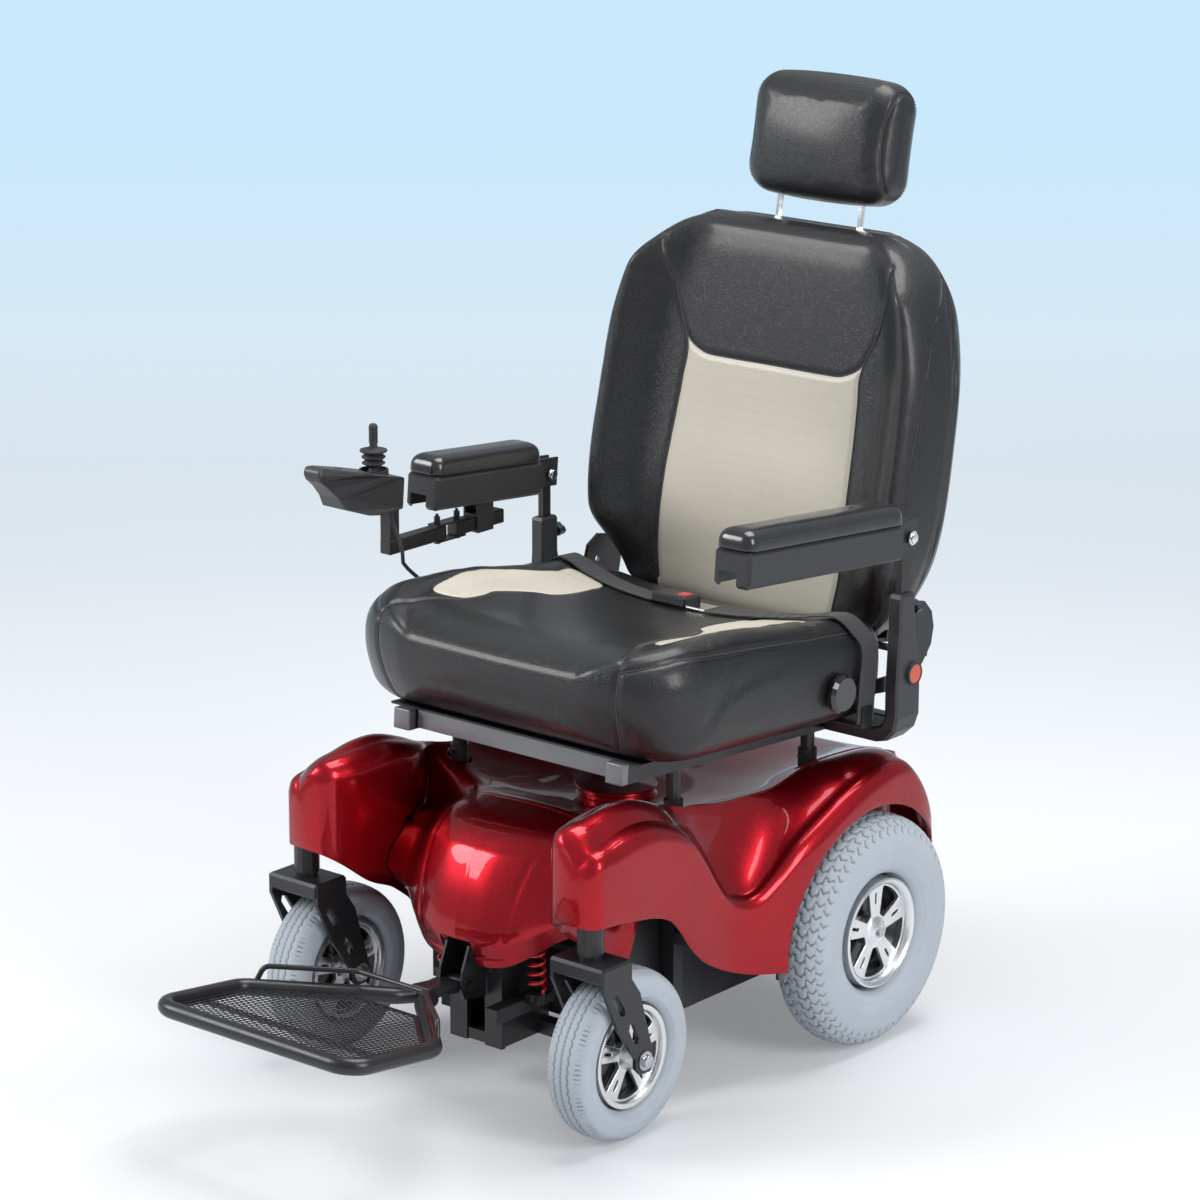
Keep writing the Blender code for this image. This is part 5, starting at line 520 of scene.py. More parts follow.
def place_group(tree, name, **values):
    """One of the node groups, with its inputs set or linked."""
    item = tree.nodes.new("ShaderNodeGroup")
    item.node_tree = GROUPS[name]
    return feed(tree, item, values)


def rgba(colour):
    return (*colour[:3], 1.0)


def finish_base(name, **values):
    """A material whose shader has the plain values given, and its tree and shader."""
    finish = bpy.data.materials.new(name)
    finish.use_nodes = True
    tree = finish.node_tree
    shader = tree.nodes["Principled BSDF"]
    for label, value in values.items():
        shader.inputs[label.replace("_", " ")].default_value = value
    FINISHES[name] = finish
    return tree, shader


def set_bump(tree, shader, height, strength, distance):
    ridge = add(tree, "Bump", {"Height": height, "Strength": strength, "Distance": distance})
    tree.links.new(ridge.outputs["Normal"], shader.inputs["Normal"])


def painted(name, colour, roughness, texture=900.0, depth=0.00008, wear=0.35, coat=0.0, metallic=0.0):
    """Paint or moulded plastic with fine texture, slow drift and rubbed edges."""
    tree, shader = finish_base(name, Coat_Weight=coat, Coat_Roughness=0.12, Metallic=metallic)
    drift = place_group(tree, "colour_drift", Colour=rgba(colour), Amount=0.22, Scale=16.0)
    mask = place_group(tree, "edge_wear", Amount=wear).outputs["Mask"]
    pale = [min(1.0, part * 2.2 + 0.04) for part in colour]
    mixed = blend_colours(tree, mask, drift.outputs["Colour"], rgba(pale))
    tree.links.new(mixed, shader.inputs["Base Color"])
    value = remap(tree, drift.outputs["Value"], 0.3, 0.7, roughness - 0.05, roughness + 0.07)
    tree.links.new(value, shader.inputs["Roughness"])
    speck = place_group(tree, "fine_texture", Scale=texture)
    set_bump(tree, shader, speck.outputs["Height"], 0.5, depth)


def metal(name, colour, roughness, grain=1400.0, depth=0.00003):
    """Bare or plated metal with fine tool marks and clouded gloss."""
    tree, shader = finish_base(name, Metallic=1.0)
    drift = place_group(tree, "colour_drift", Colour=rgba(colour), Amount=0.10, Scale=30.0)
    tree.links.new(drift.outputs["Colour"], shader.inputs["Base Color"])
    low, high = max(0.03, roughness - 0.05), roughness + 0.08
    tree.links.new(remap(tree, drift.outputs["Value"], 0.3, 0.7, low, high), shader.inputs["Roughness"])
    speck = place_group(tree, "fine_texture", Scale=grain)
    set_bump(tree, shader, speck.outputs["Height"], 0.4, depth)


def upholstery(name, vinyl, cream):
    """Grained vinyl, with cream porous panels where the piece's panel value says so."""
    tree, shader = finish_base(name, Specular_IOR_Level=0.42, Coat_Weight=0.30, Coat_Roughness=0.20)
    grain = place_group(tree, "leather_grain", Scale=560.0, Creases=0.35)
    drift = place_group(tree, "colour_drift", Colour=rgba(vinyl), Amount=0.35, Scale=7.0)
    # painted shade: the grooves between the grain's pebbles are darker
    valley = calc(tree, "MULTIPLY", grain.outputs["Valleys"], 0.45)
    deep = [part * 0.45 for part in vinyl]
    dark = blend_colours(tree, valley, drift.outputs["Colour"], rgba(deep))
    pores = place_group(tree, "breathing_pores", Pitch=0.0044)
    pale = place_group(tree, "colour_drift", Colour=rgba(cream), Amount=0.10, Scale=9.0)
    shade = [part * 0.62 for part in cream]
    share = calc(tree, "MULTIPLY", pores.outputs["Pores"], 0.55)
    light = blend_colours(tree, share, pale.outputs["Colour"], rgba(shade))
    value = add(tree, "Attribute", attribute_name="panel").outputs["Fac"]
    panel = remap(tree, value, -0.0006, 0.0006)
    tree.links.new(blend_colours(tree, panel, dark, light), shader.inputs["Base Color"])
    gloss = remap(tree, drift.outputs["Value"], 0.3, 0.7, 0.30, 0.40)
    rough = calc(tree, "ADD", gloss, calc(tree, "MULTIPLY", panel, 0.25))
    tree.links.new(rough, shader.inputs["Roughness"])
    first = calc(tree, "MULTIPLY", grain.outputs["Height"], calc(tree, "SUBTRACT", 1.0, panel))
    second = calc(tree, "MULTIPLY", pores.outputs["Height"], panel)
    set_bump(tree, shader, calc(tree, "ADD", first, second), 0.7, 0.00038)


def make_finishes(paint_deep, paint_bright, vinyl, cream, tyre):
    """Every material of the chair."""
    for build in (
        grain_group, drift_group, wear_group, speckle_group, flake_group, ribs_group, pores_group,
    ):
        tree = build()
        GROUPS[tree.name] = tree

    tree, shader = finish_base(
        "candy_red", Metallic=0.85, Coat_Weight=0.8, Coat_Roughness=0.03, Coat_IOR=1.33, Roughness=0.32
    )
    flakes = place_group(tree, "lacquer_flakes", Deep=rgba(paint_deep), Bright=rgba(paint_bright))
    # painted shade: the base colour turns to a near-black deep red where the covers turn away from the
    # camera
    facing = add(tree, "LayerWeight", {"Blend": 0.35}).outputs["Facing"]
    rim = [part * 0.12 for part in paint_deep]
    tree.links.new(
        blend_colours(tree, calc(tree, "MULTIPLY", facing, 0.85), flakes.outputs["Colour"], rgba(rim)),
        shader.inputs["Base Color"],
    )
    value = remap(tree, flakes.outputs["Flake"], 0.0, 1.0, 0.24, 0.42)
    tree.links.new(value, shader.inputs["Roughness"])
    slow = add(tree, "TexNoise", {"Vector": add(tree, "TexCoord").outputs["Object"], "Scale": 26.0})
    set_bump(tree, shader, slow.outputs["Fac"], 0.12, 0.0004)

    upholstery("seat_vinyl", vinyl, cream)
    painted("frame_powder", (0.016, 0.016, 0.018), 0.34, 1500.0, 0.00004, 0.0)
    painted("moulded_black", (0.027, 0.027, 0.030), 0.40, 1900.0, 0.00005, 0.0)
    painted("arm_skin", (0.020, 0.020, 0.022), 0.24, 520.0, 0.00005, 0.2, coat=0.3)
    painted("paddle_gloss", (0.013, 0.013, 0.015), 0.14, 1200.0, 0.00001, 0.0, coat=0.6)
    painted("battery_grey", (0.12, 0.125, 0.135), 0.52, 1500.0, 0.00006, 0.0)
    painted("stay_grey", (0.20, 0.205, 0.215), 0.36, 1500.0, 0.00003, 0.0, metallic=0.3)
    painted("spring_gloss", (0.62, 0.012, 0.014), 0.22, 500.0, 0.00003, 0.3, coat=0.7)
    painted("button_red", (0.62, 0.02, 0.02), 0.3, 700.0, 0.00004, 0.2, coat=0.4)
    painted("soft_rubber", (0.024, 0.024, 0.026), 0.62, 800.0, 0.00012, 0.25)
    painted("dish_black", (0.012, 0.012, 0.013), 0.22, 1200.0, 0.00002, 0.0, coat=0.3)
    # black thread of the stitches, also used for the dark tubes of painted seam shade
    painted("thread_and_seam_shade", (0.045, 0.045, 0.05), 0.55, 2600.0, 0.00012, 0.0)
    tyre_finish("tyre_drive", tyre)
    tyre_finish("tyre_caster", tyre)
    metal("alloy_face", (0.80, 0.805, 0.815), 0.30, 2400.0, 0.00001)
    metal("chrome", (0.84, 0.845, 0.855), 0.07, 2000.0, 0.00001)
    metal("zinc_plate", (0.55, 0.555, 0.57), 0.30)

    tree, shader = finish_base("webbing", Sheen_Weight=0.15, Roughness=0.74)
    ribs = place_group(tree, "webbing_weave", Pitch=0.0052)
    drift = place_group(tree, "colour_drift", Colour=(0.030, 0.030, 0.033, 1.0), Amount=0.3, Scale=60.0)
    # painted shade: the grooves between the ribs are near black
    groove = remap(tree, ribs.outputs["Height"], 0.0, 0.5, 1.0, 0.0)
    mixed = blend_colours(tree, groove, drift.outputs["Colour"], (0.006, 0.006, 0.007, 1.0))
    tree.links.new(mixed, shader.inputs["Base Color"])
    set_bump(tree, shader, ribs.outputs["Height"], 0.8, 0.0009)

    tree, shader = finish_base("reflector_orange", Coat_Weight=1.0, Coat_Roughness=0.05, Roughness=0.25)
    place = add(tree, "TexCoord").outputs["Object"]
    inputs = {"Vector": place, "Scale": 420.0, "Randomness": 0.1}
    prisms = add(tree, "TexVoronoi", inputs, feature="DISTANCE_TO_EDGE")
    # painted reflection and shade: each prism is lighter in its middle and darker at its edges
    glow = remap(tree, prisms.outputs["Distance"], 0.0, 0.3)
    mixed = blend_colours(tree, glow, (0.50, 0.035, 0.004, 1.0), (1.0, 0.13, 0.012, 1.0))
    tree.links.new(mixed, shader.inputs["Base Color"])
    set_bump(tree, shader, prisms.outputs["Distance"], 0.7, 0.0008)


# Making pieces
def put(item, body, finish, replaced=(), angle=40):
    """Give an object its material, its body and what it stands for."""
    if finish:
        item.data.materials.clear()
        item.data.materials.append(FINISHES[finish])
    if item.type == "MESH" and angle:
        item.data.shade_smooth()
        item.data.set_sharp_from_angle(angle=math.radians(angle))
    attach(item, body)
    if replaced:
        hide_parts(*replaced)
    return item


def placed(name, data):
    """A new object in the scene."""
    item = bpy.data.objects.new(name, data)
    bpy.context.scene.collection.objects.link(item)
    return item


def new_mesh(name, points, faces):
    mesh = bpy.data.meshes.new(name)
    mesh.from_pydata([tuple(point) for point in points], [], faces)
    mesh.update()
    return placed(name, mesh)


def from_bmesh(name, bm):
    mesh = bpy.data.meshes.new(name)
    bm.to_mesh(mesh)
    bm.free()
    return placed(name, mesh)


def shape_of(item):
    """The evaluated shape of an object, as a new mesh."""
    bpy.context.view_layer.update()
    graph = bpy.context.evaluated_depsgraph_get()
    return bpy.data.meshes.new_from_object(item.evaluated_get(graph))


def settle(item):
    """Keep the evaluated shape as the object's own mesh."""
    mesh = shape_of(item)
    item.modifiers.clear()
    item.data = mesh
    return item


def joined(name, items):
    """Several mesh objects as one."""
    bm = bmesh.new()
    for item in items:
        bpy.context.view_layer.update()
        mesh = item.data.copy()
        mesh.transform(item.matrix_world)
        bm.from_mesh(mesh)
        bpy.data.objects.remove(item, do_unlink=True)
    return from_bmesh(name, bm)


def loft(name, rings, closed_ring=True, caps=True, around=False):
    """A skin over rings of points."""
    count = len(rings[0])
    points = [point for ring in rings for point in ring]
    faces = []
    last = len(rings) if around else len(rings) - 1
    for row in range(last):
        after = (row + 1) % len(rings)
        for n in range(count if closed_ring else count - 1):
            m = (n + 1) % count
            faces.append((row * count + n, row * count + m, after * count + m, after * count + n))
    if caps and not around:
        faces.append(tuple(range(count))[::-1])
        faces.append(tuple((len(rings) - 1) * count + n for n in range(count)))
    item = new_mesh(name, points, faces)
    bm = bmesh.new()
    bm.from_mesh(item.data)
    bmesh.ops.recalc_face_normals(bm, faces=bm.faces)
    bm.to_mesh(item.data)
    bm.free()
    return item


def turned(name, profile, steps, centre, axis="X"):
    """A closed or open profile of (radius, height) points turned about an axis."""
    rings = []
    for n in range(steps):
        angle = 2 * math.pi * n / steps
        ring = []
        for radius, height in profile:
            a, b = radius * math.cos(angle), radius * math.sin(angle)
            ring.append((height, a, b) if axis == "X" else (a, b, height))
        rings.append([Vector(point) + Vector(centre) for point in ring])
    return loft(name, rings, closed_ring=True, caps=False, around=True)


def round_curve(name, points, radius, sides):
    """A curve with a round section along points."""
    curve = bpy.data.curves.new(name, "CURVE")
    curve.dimensions = "3D"
    curve.bevel_depth = radius
    curve.bevel_resolution = sides
    curve.use_fill_caps = True
    spline = curve.splines.new("POLY")
    spline.points.add(len(points) - 1)
    for control, point in zip(spline.points, points):
        control.co = (*point, 1.0)
    return placed(name, curve)


def pipe(name, points, radius, sides):
    """A smooth round bar along points, as a mesh."""
    item = round_curve(name, points, radius, sides)
    mesh = shape_of(item)
    bpy.data.objects.remove(item, do_unlink=True)
    return placed(name, mesh)


def rod(name, start, end, radius, sides=24, edge=0.0):
    """A round bar with softened rims."""
    start, end = Vector(start), Vector(end)
    axis = end - start
    bm = bmesh.new()
    bmesh.ops.create_cone(
        bm, cap_ends=True, segments=sides, radius1=radius, radius2=radius, depth=axis.length
    )
    place = Matrix.Translation((start + end) / 2) @ axis.to_track_quat("Z", "Y").to_matrix().to_4x4()
    bm.transform(place)
    item = from_bmesh(name, bm)
    if edge:
        soften(item, edge, 2, 50)
        settle(item)
    return item


def brick(name, low, high, place=None, edge=0.0015, segments=3):
    """A box between two corners with softened edges, in a leaning frame if one is given."""
    bm = bmesh.new()
    size = [b - a for a, b in zip(low, high)]
    bmesh.ops.create_cube(bm, size=1.0, matrix=Matrix.Diagonal((*size, 1.0)))
    bmesh.ops.translate(bm, verts=bm.verts, vec=[(a + b) / 2 for a, b in zip(low, high)])
    bmesh.ops.bevel(bm, geom=bm.edges[:], offset=edge, segments=segments, profile=0.5, affect="EDGES")
    for vertex in bm.verts:
        vertex.co = place(vertex.co) if place else vertex.co + SHIFT
    return from_bmesh(name, bm)


def soften(item, width, segments=2, angle=35):
    edge = item.modifiers.new("softened_edges", "BEVEL")
    edge.width = width
    edge.segments = segments
    edge.limit_method = "ANGLE"
    edge.angle_limit = math.radians(angle)
    edge.harden_normals = False
    return item


def bolt(name, centre, axis, radius, height, sides=6):
    """A bolt head with a chamfer and a washer under it."""
    axis = Vector(axis).normalized()
    centre = Vector(centre)
    washer = rod(name, centre, centre + axis * height * 0.22, radius * 1.35, 24)
    head = rod(name, centre + axis * height * 0.2, centre + axis * height, radius, sides)
    soften(head, radius * 0.14, 2, 30)
    settle(head)
    return joined(name, [washer, head])


# Stage and camera
def camera_axes(azimuth, elevation, roll):
    """Right, up and backward directions of a camera turned towards the chair."""
    level = math.cos(elevation)
    back = Vector((math.sin(azimuth) * level, -math.cos(azimuth) * level, math.sin(elevation)))
    right = (-back).cross(Vector((0.0, 0.0, 1.0))).normalized()
    up = right.cross(-back)
    leaning_right = right * math.cos(roll) + up * math.sin(roll)
    leaning_up = up * math.cos(roll) - right * math.sin(roll)
    return leaning_right, leaning_up, back


def place_camera(azimuth, elevation, roll, lens, place):
    camera = bpy.data.cameras.new("photo_camera")
    camera.lens = lens
    camera.sensor_width = 36.0
    camera.clip_end = 200.0
    item = placed("photo_camera", camera)
    axes = Matrix(camera_axes(azimuth, elevation, roll)).transposed().to_4x4()
    item.matrix_world = Matrix.Translation(Vector(place) + SHIFT) @ axes
    bpy.context.scene.camera = item


def softbox(name, place, target, size, power):
    lamp = bpy.data.lights.new(name, "AREA")
    lamp.shape = "RECTANGLE"
    lamp.size, lamp.size_y = size
    lamp.energy = power
    aim = (Vector(place) - Vector(target)).to_track_quat("Z", "Y").to_matrix().to_4x4()
    placed(name, lamp).matrix_world = Matrix.Translation(Vector(place) + SHIFT) @ aim


def floor_finish(near, far):
    """Pale floor that turns pale blue into the distance and keeps the shadow."""
    finish = bpy.data.materials.new("studio_floor")
    finish.use_nodes = True
    tree = finish.node_tree
    shader = tree.nodes["Principled BSDF"]
    shader.inputs["Roughness"].default_value = 0.9
    shader.inputs["Specular IOR Level"].default_value = 0.0
    place = add(tree, "SeparateXYZ", {0: add(tree, "TexCoord").outputs["Object"]})
    depth = calc(
        tree, "ADD",
        calc(tree, "MULTIPLY", place.outputs["X"], -math.sin(CAMERA_AZIMUTH)),
        calc(tree, "MULTIPLY", place.outputs["Y"], math.cos(CAMERA_AZIMUTH)),
    )
    tint = blend_colours(tree, remap(tree, depth, 0.2, 8.5), rgba(near), rgba(far))
    tree.links.new(tint, shader.inputs["Base Color"])
    rays = add(tree, "LightPath")
    seen = calc(tree, "ADD", rays.outputs["Is Camera Ray"], rays.outputs["Is Glossy Ray"], True)
    glow = add(tree, "Emission", {"Color": tint, "Strength": 1.0})
    share = remap(tree, depth, 0.6, 5.0, 0.28, 0.97)
    mixed = add(tree, "MixShader", {0: calc(tree, "MULTIPLY", seen, share)})
    tree.links.new(shader.outputs[0], mixed.inputs[1])
    tree.links.new(glow.outputs[0], mixed.inputs[2])
    tree.links.new(mixed.outputs[0], tree.nodes["Material Output"].inputs["Surface"])
    return finish


def make_world(colour):
    world = bpy.data.worlds.new("studio")
    world.use_nodes = True
    tree = world.node_tree
    tree.nodes["Background"].inputs["Color"].default_value = rgba(colour)
    rays = add(tree, "LightPath")
    mirrored = calc(tree, "ADD", rays.outputs["Is Camera Ray"], rays.outputs["Is Glossy Ray"], True)
    seen = calc(tree, "ADD", mirrored, rays.outputs["Is Transmission Ray"], True)
    strength = calc(tree, "ADD", 0.30, calc(tree, "MULTIPLY", seen, 0.14))
    tree.links.new(strength, tree.nodes["Background"].inputs["Strength"])
    bpy.context.scene.world = world


def curve_through(knots, step=None, count=None):
    """Places at about equal steps, or in a given number, on a smooth curve through the knots."""
    knots = [Vector(knot) for knot in knots]
    lengths = [0.0]
    for first, second in zip(knots, knots[1:]):
        lengths.append(lengths[-1] + (second - first).length)
    tracks = [
        [(at, knot[axis]) for at, knot in zip(lengths, knots)] for axis in range(len(knots[0]))
    ]
    places = spread(0.0, lengths[-1], count or max(3, int(lengths[-1] / step)))
    return [Vector([smooth(track, at) for track in tracks]) for at in places]


def cable_places():
    start, *knots, end = CABLE_ROUTE
    middle = curve_through(knots, count=CABLE_POINTS)
    return [Vector(point) + SHIFT for point in (start, *middle, end)]


def joystick_cable():
    points = cable_places()
    item = round_curve("joystick_lead", points, CABLE_RADIUS, 6)
    put(item, "chassis", "soft_rubber", ["joystick_cable"])
    for name, body, top, way in (
        ("lead_boot_case", "joystick_swing", points[0], -1),
        ("lead_boot_base", "chassis", points[-1], 1),
    ):
        axis = Vector((0, 0, way))
        profile = [(0.0032, 0.0), (0.0058, 0.0), (0.0058, 0.0015)]
        for n in range(4):
            at = 0.0025 + 0.0024 * n
            radius = 0.0054 - 0.0005 * n
            profile += [(radius, at), (radius, at + 0.0012), (radius - 0.0009, at + 0.0016)]
        profile += [(0.0032, 0.012)]
        boot = turned(name, profile, 32, (0, 0, 0), axis="Z")
        turn = axis.to_track_quat("Z", "Y").to_matrix().to_4x4()
        boot.data.transform(Matrix.Translation(top) @ turn)
        put(boot, body, "soft_rubber")


# Covers
def arc(centre, radius, start, end, steps):
    return [
        (
            centre[0] + radius * math.cos(math.radians(angle)),
            centre[1] + radius * math.sin(math.radians(angle)),
        )
        for angle in spread(start, end, steps + 1)
    ]


def side_section(y):
    """Outline of a side cover across the chair at one place along it."""
    inner, outer = smooth(INNER_X, y), smooth(OUTER_X, y)
    top, shoulder = smooth(INNER_TOP_Z, y), smooth(SHOULDER_Z, y)
    inner_round, outer_round = smooth(INNER_ROUND, y), smooth(OUTER_ROUND, y)
    crown = smooth(CROWN, y)
    start, end = inner + inner_round, outer - outer_round
    low = smooth(INNER_LOW_Z, y)
    points = [(inner, z) for z in spread(low, top - inner_round, 6)[:-1]]
    points += arc((start, top - inner_round), inner_round, 180, 90, 8)
    for t in spread(0.0, 1.0, 12)[1:-1]:
        points.append((start + (end - start) * t, top + (shoulder - top) * t + crown * 4 * t * (1 - t)))
    points += arc((end, shoulder - outer_round), outer_round, 90, 0, 9)
    points += [(outer, z) for z in spread(shoulder - outer_round, smooth(OUTER_LOW_Z, y), 10)[1:]]
    return points


def faced_out(item):
    """Turn an open shell's faces away from its middle."""
    bm = bmesh.new()
    bm.from_mesh(item.data)
    bmesh.ops.recalc_face_normals(bm, faces=bm.faces)
    middle = sum((v.co for v in bm.verts), Vector()) / len(bm.verts)
    lean = sum(face.normal.dot(face.calc_center_median() - middle) * face.calc_area() for face in bm.faces)
    if lean < 0:
        bmesh.ops.reverse_faces(bm, faces=bm.faces)
    bm.to_mesh(item.data)
    bm.free()
    return item


def walled(item, thickness):
    wall = item.modifiers.new("wall", "SOLIDIFY")
    wall.thickness = thickness
    wall.offset = -1.0
    wall.use_even_offset = False
    return item


def cut_by(item, cutters):
    """Take closed shapes away from an item."""
    for cutter in cutters:
        taken = item.modifiers.new("cut", "BOOLEAN")
        taken.operation = "DIFFERENCE"
        taken.solver = "MANIFOLD"
        taken.object = cutter
        settle(item)
        bpy.data.objects.remove(cutter, do_unlink=True)
    return item


def side_cover(name, side):
    stations = spread(COVER_FRONT_Y, COVER_REAR_Y, 110)
    rings = [[here(side * x, y, z) for x, z in side_section(y)] for y in stations]
    item = loft("fender_" + name, rings, closed_ring=False, caps=True)
    faced_out(item)
    walled(item, COVER_WALL)
    settle(item)
    arch = rod("arch", here(side * 0.262, 0, 0.178), here(side * 0.396, 0, 0.178), ARCH_RADIUS, 160)
    xs = sorted((side * 0.1850, side * 0.2505))
    passage = brick("passage", (xs[0], -0.4545, 0.296), (xs[1], -0.3645, 0.362), edge=0.004)
    cut_by(item, [arch, passage])
    soften(item, 0.0011, 2, 50)
    settle(item)
    put(item, "chassis", "candy_red", ["side_cover_" + name], angle=42)


def nose_point(across, place):
    centre_y = smooth(list(enumerate(y for y, z in NOSE_PROFILE)), place)
    centre_z = smooth(list(enumerate(z for y, z in NOSE_PROFILE)), place)
    depth = ease((NOSE_SEAM_Y - centre_y) / 0.125)
    edge_y = centre_y + NOSE_RECESS[-1][1] * depth
    x = across * (smooth(INNER_X, edge_y) - SEAM_GAP)
    y = centre_y + smooth(NOSE_RECESS, abs(x)) * depth
    fall = (NOSE_TOP - centre_z) / (NOSE_TOP - NOSE_BOTTOM)
    top = NOSE_TOP - smooth(NOSE_DROP, abs(x))
    return Vector((x, y, top - fall * (top - smooth(NOSE_LOW_Z, abs(x)))))


def top_point(across, y):
    half = smooth(INNER_X, y) - SEAM_GAP
    x = across * half
    pull = REAR_TUCK * ease((y - 0.120) / 0.080)
    centre, edge = smooth(TOP_CENTRE_Z, y), smooth(TOP_EDGE_Z, y - pull)
    z = centre + (edge - centre) * abs(across) ** 3.2
    front = ease((-0.345 - y) / (-0.345 - NOSE_SEAM_Y))
    z += (NOSE_TOP - smooth(NOSE_DROP, abs(x)) - z) * front
    return Vector((x, y - pull * abs(across) ** 4, z))


def nose_crease(across, place):
    """How deep the pressed outline of the nose panel is at one place."""
    half = 0.50 - 0.10 * ease((place - 3.0) / 4.0)
    edge = min((half - abs(across)) * 0.20, (7.15 - place) * 0.026)
    return 0.0022 * bump(edge, 0.0035) * ease((place - 1.2) / 1.2)


def nose_cover():
    rings = []
    for place in spread(0.0, 8.0, 97):
        ring = []
        for across in spread(-1.0, 1.0, 97):
            point = nose_point(across, place)
            point.y += nose_crease(across, place)
            ring.append(point + SHIFT)
        rings.append(ring)
    item = loft("nose_panel", rings, closed_ring=False, caps=False)
    lean = sum(face.normal.y for face in item.data.polygons)
    if lean > 0:
        item.data.flip_normals()
    walled(item, COVER_WALL)
    settle(item)
    cut_by(item, [brick("notch", (-0.030, -0.62, 0.150), (0.030, -0.51, 0.245), edge=0.003)])
    soften(item, 0.0010, 2, 50)
    settle(item)
    put(item, "chassis", "candy_red", ["nose_cover"], angle=42)


def top_cover():
    """The cover between the side covers, with the seat's ring and the lead's gland."""
    columns = spread(-1.0, 1.0, 81)
    rows = [[top_point(across, y) for across in columns] for y in spread(-0.4035, 0.185, 100)]
    wall = [(0.206, 0.366), (0.2125, 0.345), (0.214, 0.320), (0.212, 0.220)]
    steps = [
        (y + (next_y - y) * t, z + (next_z - z) * t)
        for (y, z), (next_y, next_z) in zip(wall, wall[1:]) for t in (0.0, 0.25, 0.5, 0.75)
    ]
    for y, z in steps + wall[-1:]:
        rows.append([Vector((a * REAR_HALF, y - REAR_TUCK * abs(a) ** 4, z)) for a in columns])
    rings = [[point + SHIFT for point in row] for row in rows]
    item = loft("top_panel", rings, closed_ring=False, caps=False)
    if sum(face.normal.z for face in item.data.polygons) < 0:
        item.data.flip_normals()
    walled(item, COVER_WALL)
    settle(item)
    holes = [
        rod("hole", here(x, y, 0.30), here(x, y, 0.48), POST_HOLE, 48)
        for x in (-POST_X, POST_X) for y in POST_PLACES_Y
    ]
    cut_by(item, holes)
    soften(item, 0.0010, 2, 50)
    settle(item)
    put(item, "chassis", "candy_red", ["top_cover"], angle=42)
    ring = turned("seat_ring", [
        (0.0001, 0.368), (0.0605, 0.368), (0.0620, 0.3695), (0.0620, 0.3755), (0.0605, 0.3770),
        (0.0575, 0.3785), (0.0575, 0.3845), (0.0605, 0.3862), (0.0620, 0.3875), (0.0620, 0.3905),
        (0.0608, 0.3920), (0.0001, 0.3920),
    ], 96, here(0, -0.200, 0), axis="Z")
    put(ring, "chassis", "candy_red", angle=35)
    gland = turned("lead_gland", [
        (0.0034, 0.374), (0.0080, 0.374), (0.0080, 0.3885), (0.0070, 0.3905),
        (0.0070, 0.394), (0.0034, 0.394),
    ], 40, here(-0.100, -0.050, 0), axis="Z")
    put(gland, "chassis", "soft_rubber", angle=35)


# Cushions
def rounded(point, half_sizes, radii):
    """A point of a box brought onto the same box with rounded edges."""
    inner = [half - radius for half, radius in zip(half_sizes, radii)]
    core = Vector([min(max(c, -i), i) for c, i in zip(point, inner)])
    offset = [(c - k) / r for c, k, r in zip(point, core, radii)]
    length = math.sqrt(sum(part * part for part in offset))
    if length < 1.0:
        return Vector(point)
    return core + Vector([part / length * r for part, r in zip(offset, radii)])


def seat_shape(u, v, w):
    """A point of the seat cushion, in the seat's leaning frame."""
    half = (SEAT_HALF, (SEAT_REAR - SEAT_FRONT) / 2, SEAM_REAR / 2)
    point = rounded([c * h for c, h in zip((u, v, w), half)], half, (0.048, 0.052, 0.034))
    across = min(abs(point.x) / half[0], 1.0)
    along = point.y / half[1]
    level = min(max((point.z / half[2] + 1) / 2, 0.0), 1.0)
    top = SEAM_FRONT + (SEAM_REAR - SEAM_FRONT) * (along + 1) / 2
    upper = ease(level * 1.6 - 0.6)
    scoop = -0.017 * max(0.0, 1 - (across / 0.74) ** 2) ** 1.5 * ease((along + 1.15) / 0.8)
    swell = 0.42 + 0.58 * bump(along + 0.20, 0.50)
    bolster = 0.023 * swell * bump(across - 0.87, 0.12)
    channel = -0.005 * bump(across - 0.735, 0.016)
    fall = -0.014 * ease((-along - 0.62) / 0.38)
    front = ease((-along - 0.45) / 0.55)
    side = ease((across - 0.75) / 0.25)
    bulge = 1 - (2 * level - 1) ** 2
    corner = max(0.0, 1 - (point.y + half[1]) / 0.115)
    narrow = 0.115 * (1 - math.sqrt(1 - min(corner, 0.98) ** 2))
    x = point.x * (1 - narrow / half[0]) + math.copysign(0.008, point.x) * bulge * side
    y = (SEAT_FRONT + SEAT_REAR) / 2 + point.y + front * (0.044 * (1 - level) ** 2.2 - 0.010 * bulge)
    z = PAN_TOP + level * (top - PAN_TOP) + upper * (scoop + bolster + channel + fall)
    return Vector((x, y, z))


def back_shape(u, w, v):
    """A point of the back cushion, in the back's leaning frame."""
    z = (BACK_LOW + BACK_TOP) / 2 + v * (BACK_TOP - BACK_LOW) / 2
    half, panel, size = smooth(BACK_OUTLINE, z), smooth(PANEL_HALF, z), abs(u)
    x = size / 0.60 * panel
    if size > 0.60:
        x = panel + (size - 0.60) / 0.40 * (half - panel)
    edge_x = max(0.0, 1 - (half - x) / BACK_ROUND)
    edge_z = max(0.0, 1 - min(BACK_TOP - z, z - BACK_LOW) / BACK_ROUND)
    inward = math.sqrt(max(0.0, 1 - min(1.0, edge_x**2 + edge_z**2)))
    share = x / half
    low, high = ease(z / 0.10), ease((BACK_TOP + 0.010 - z) / 0.110)
    bolster = 0.058 * bump(share - 0.93, 0.17) * low * high
    lumbar = 0.010 * bump(z - 0.150, 0.10) * max(0.0, 1 - share**2)
    front = BACK_ROUND * (1 - inward) - bolster * inward - lumbar * low
    rear = BACK_THICKNESS - 0.026 * (1 - inward) - 0.030 * ease((share - 0.70) / 0.30)
    return Vector((math.copysign(x, u), front + (rear - front) * (w + 1) / 2, z))


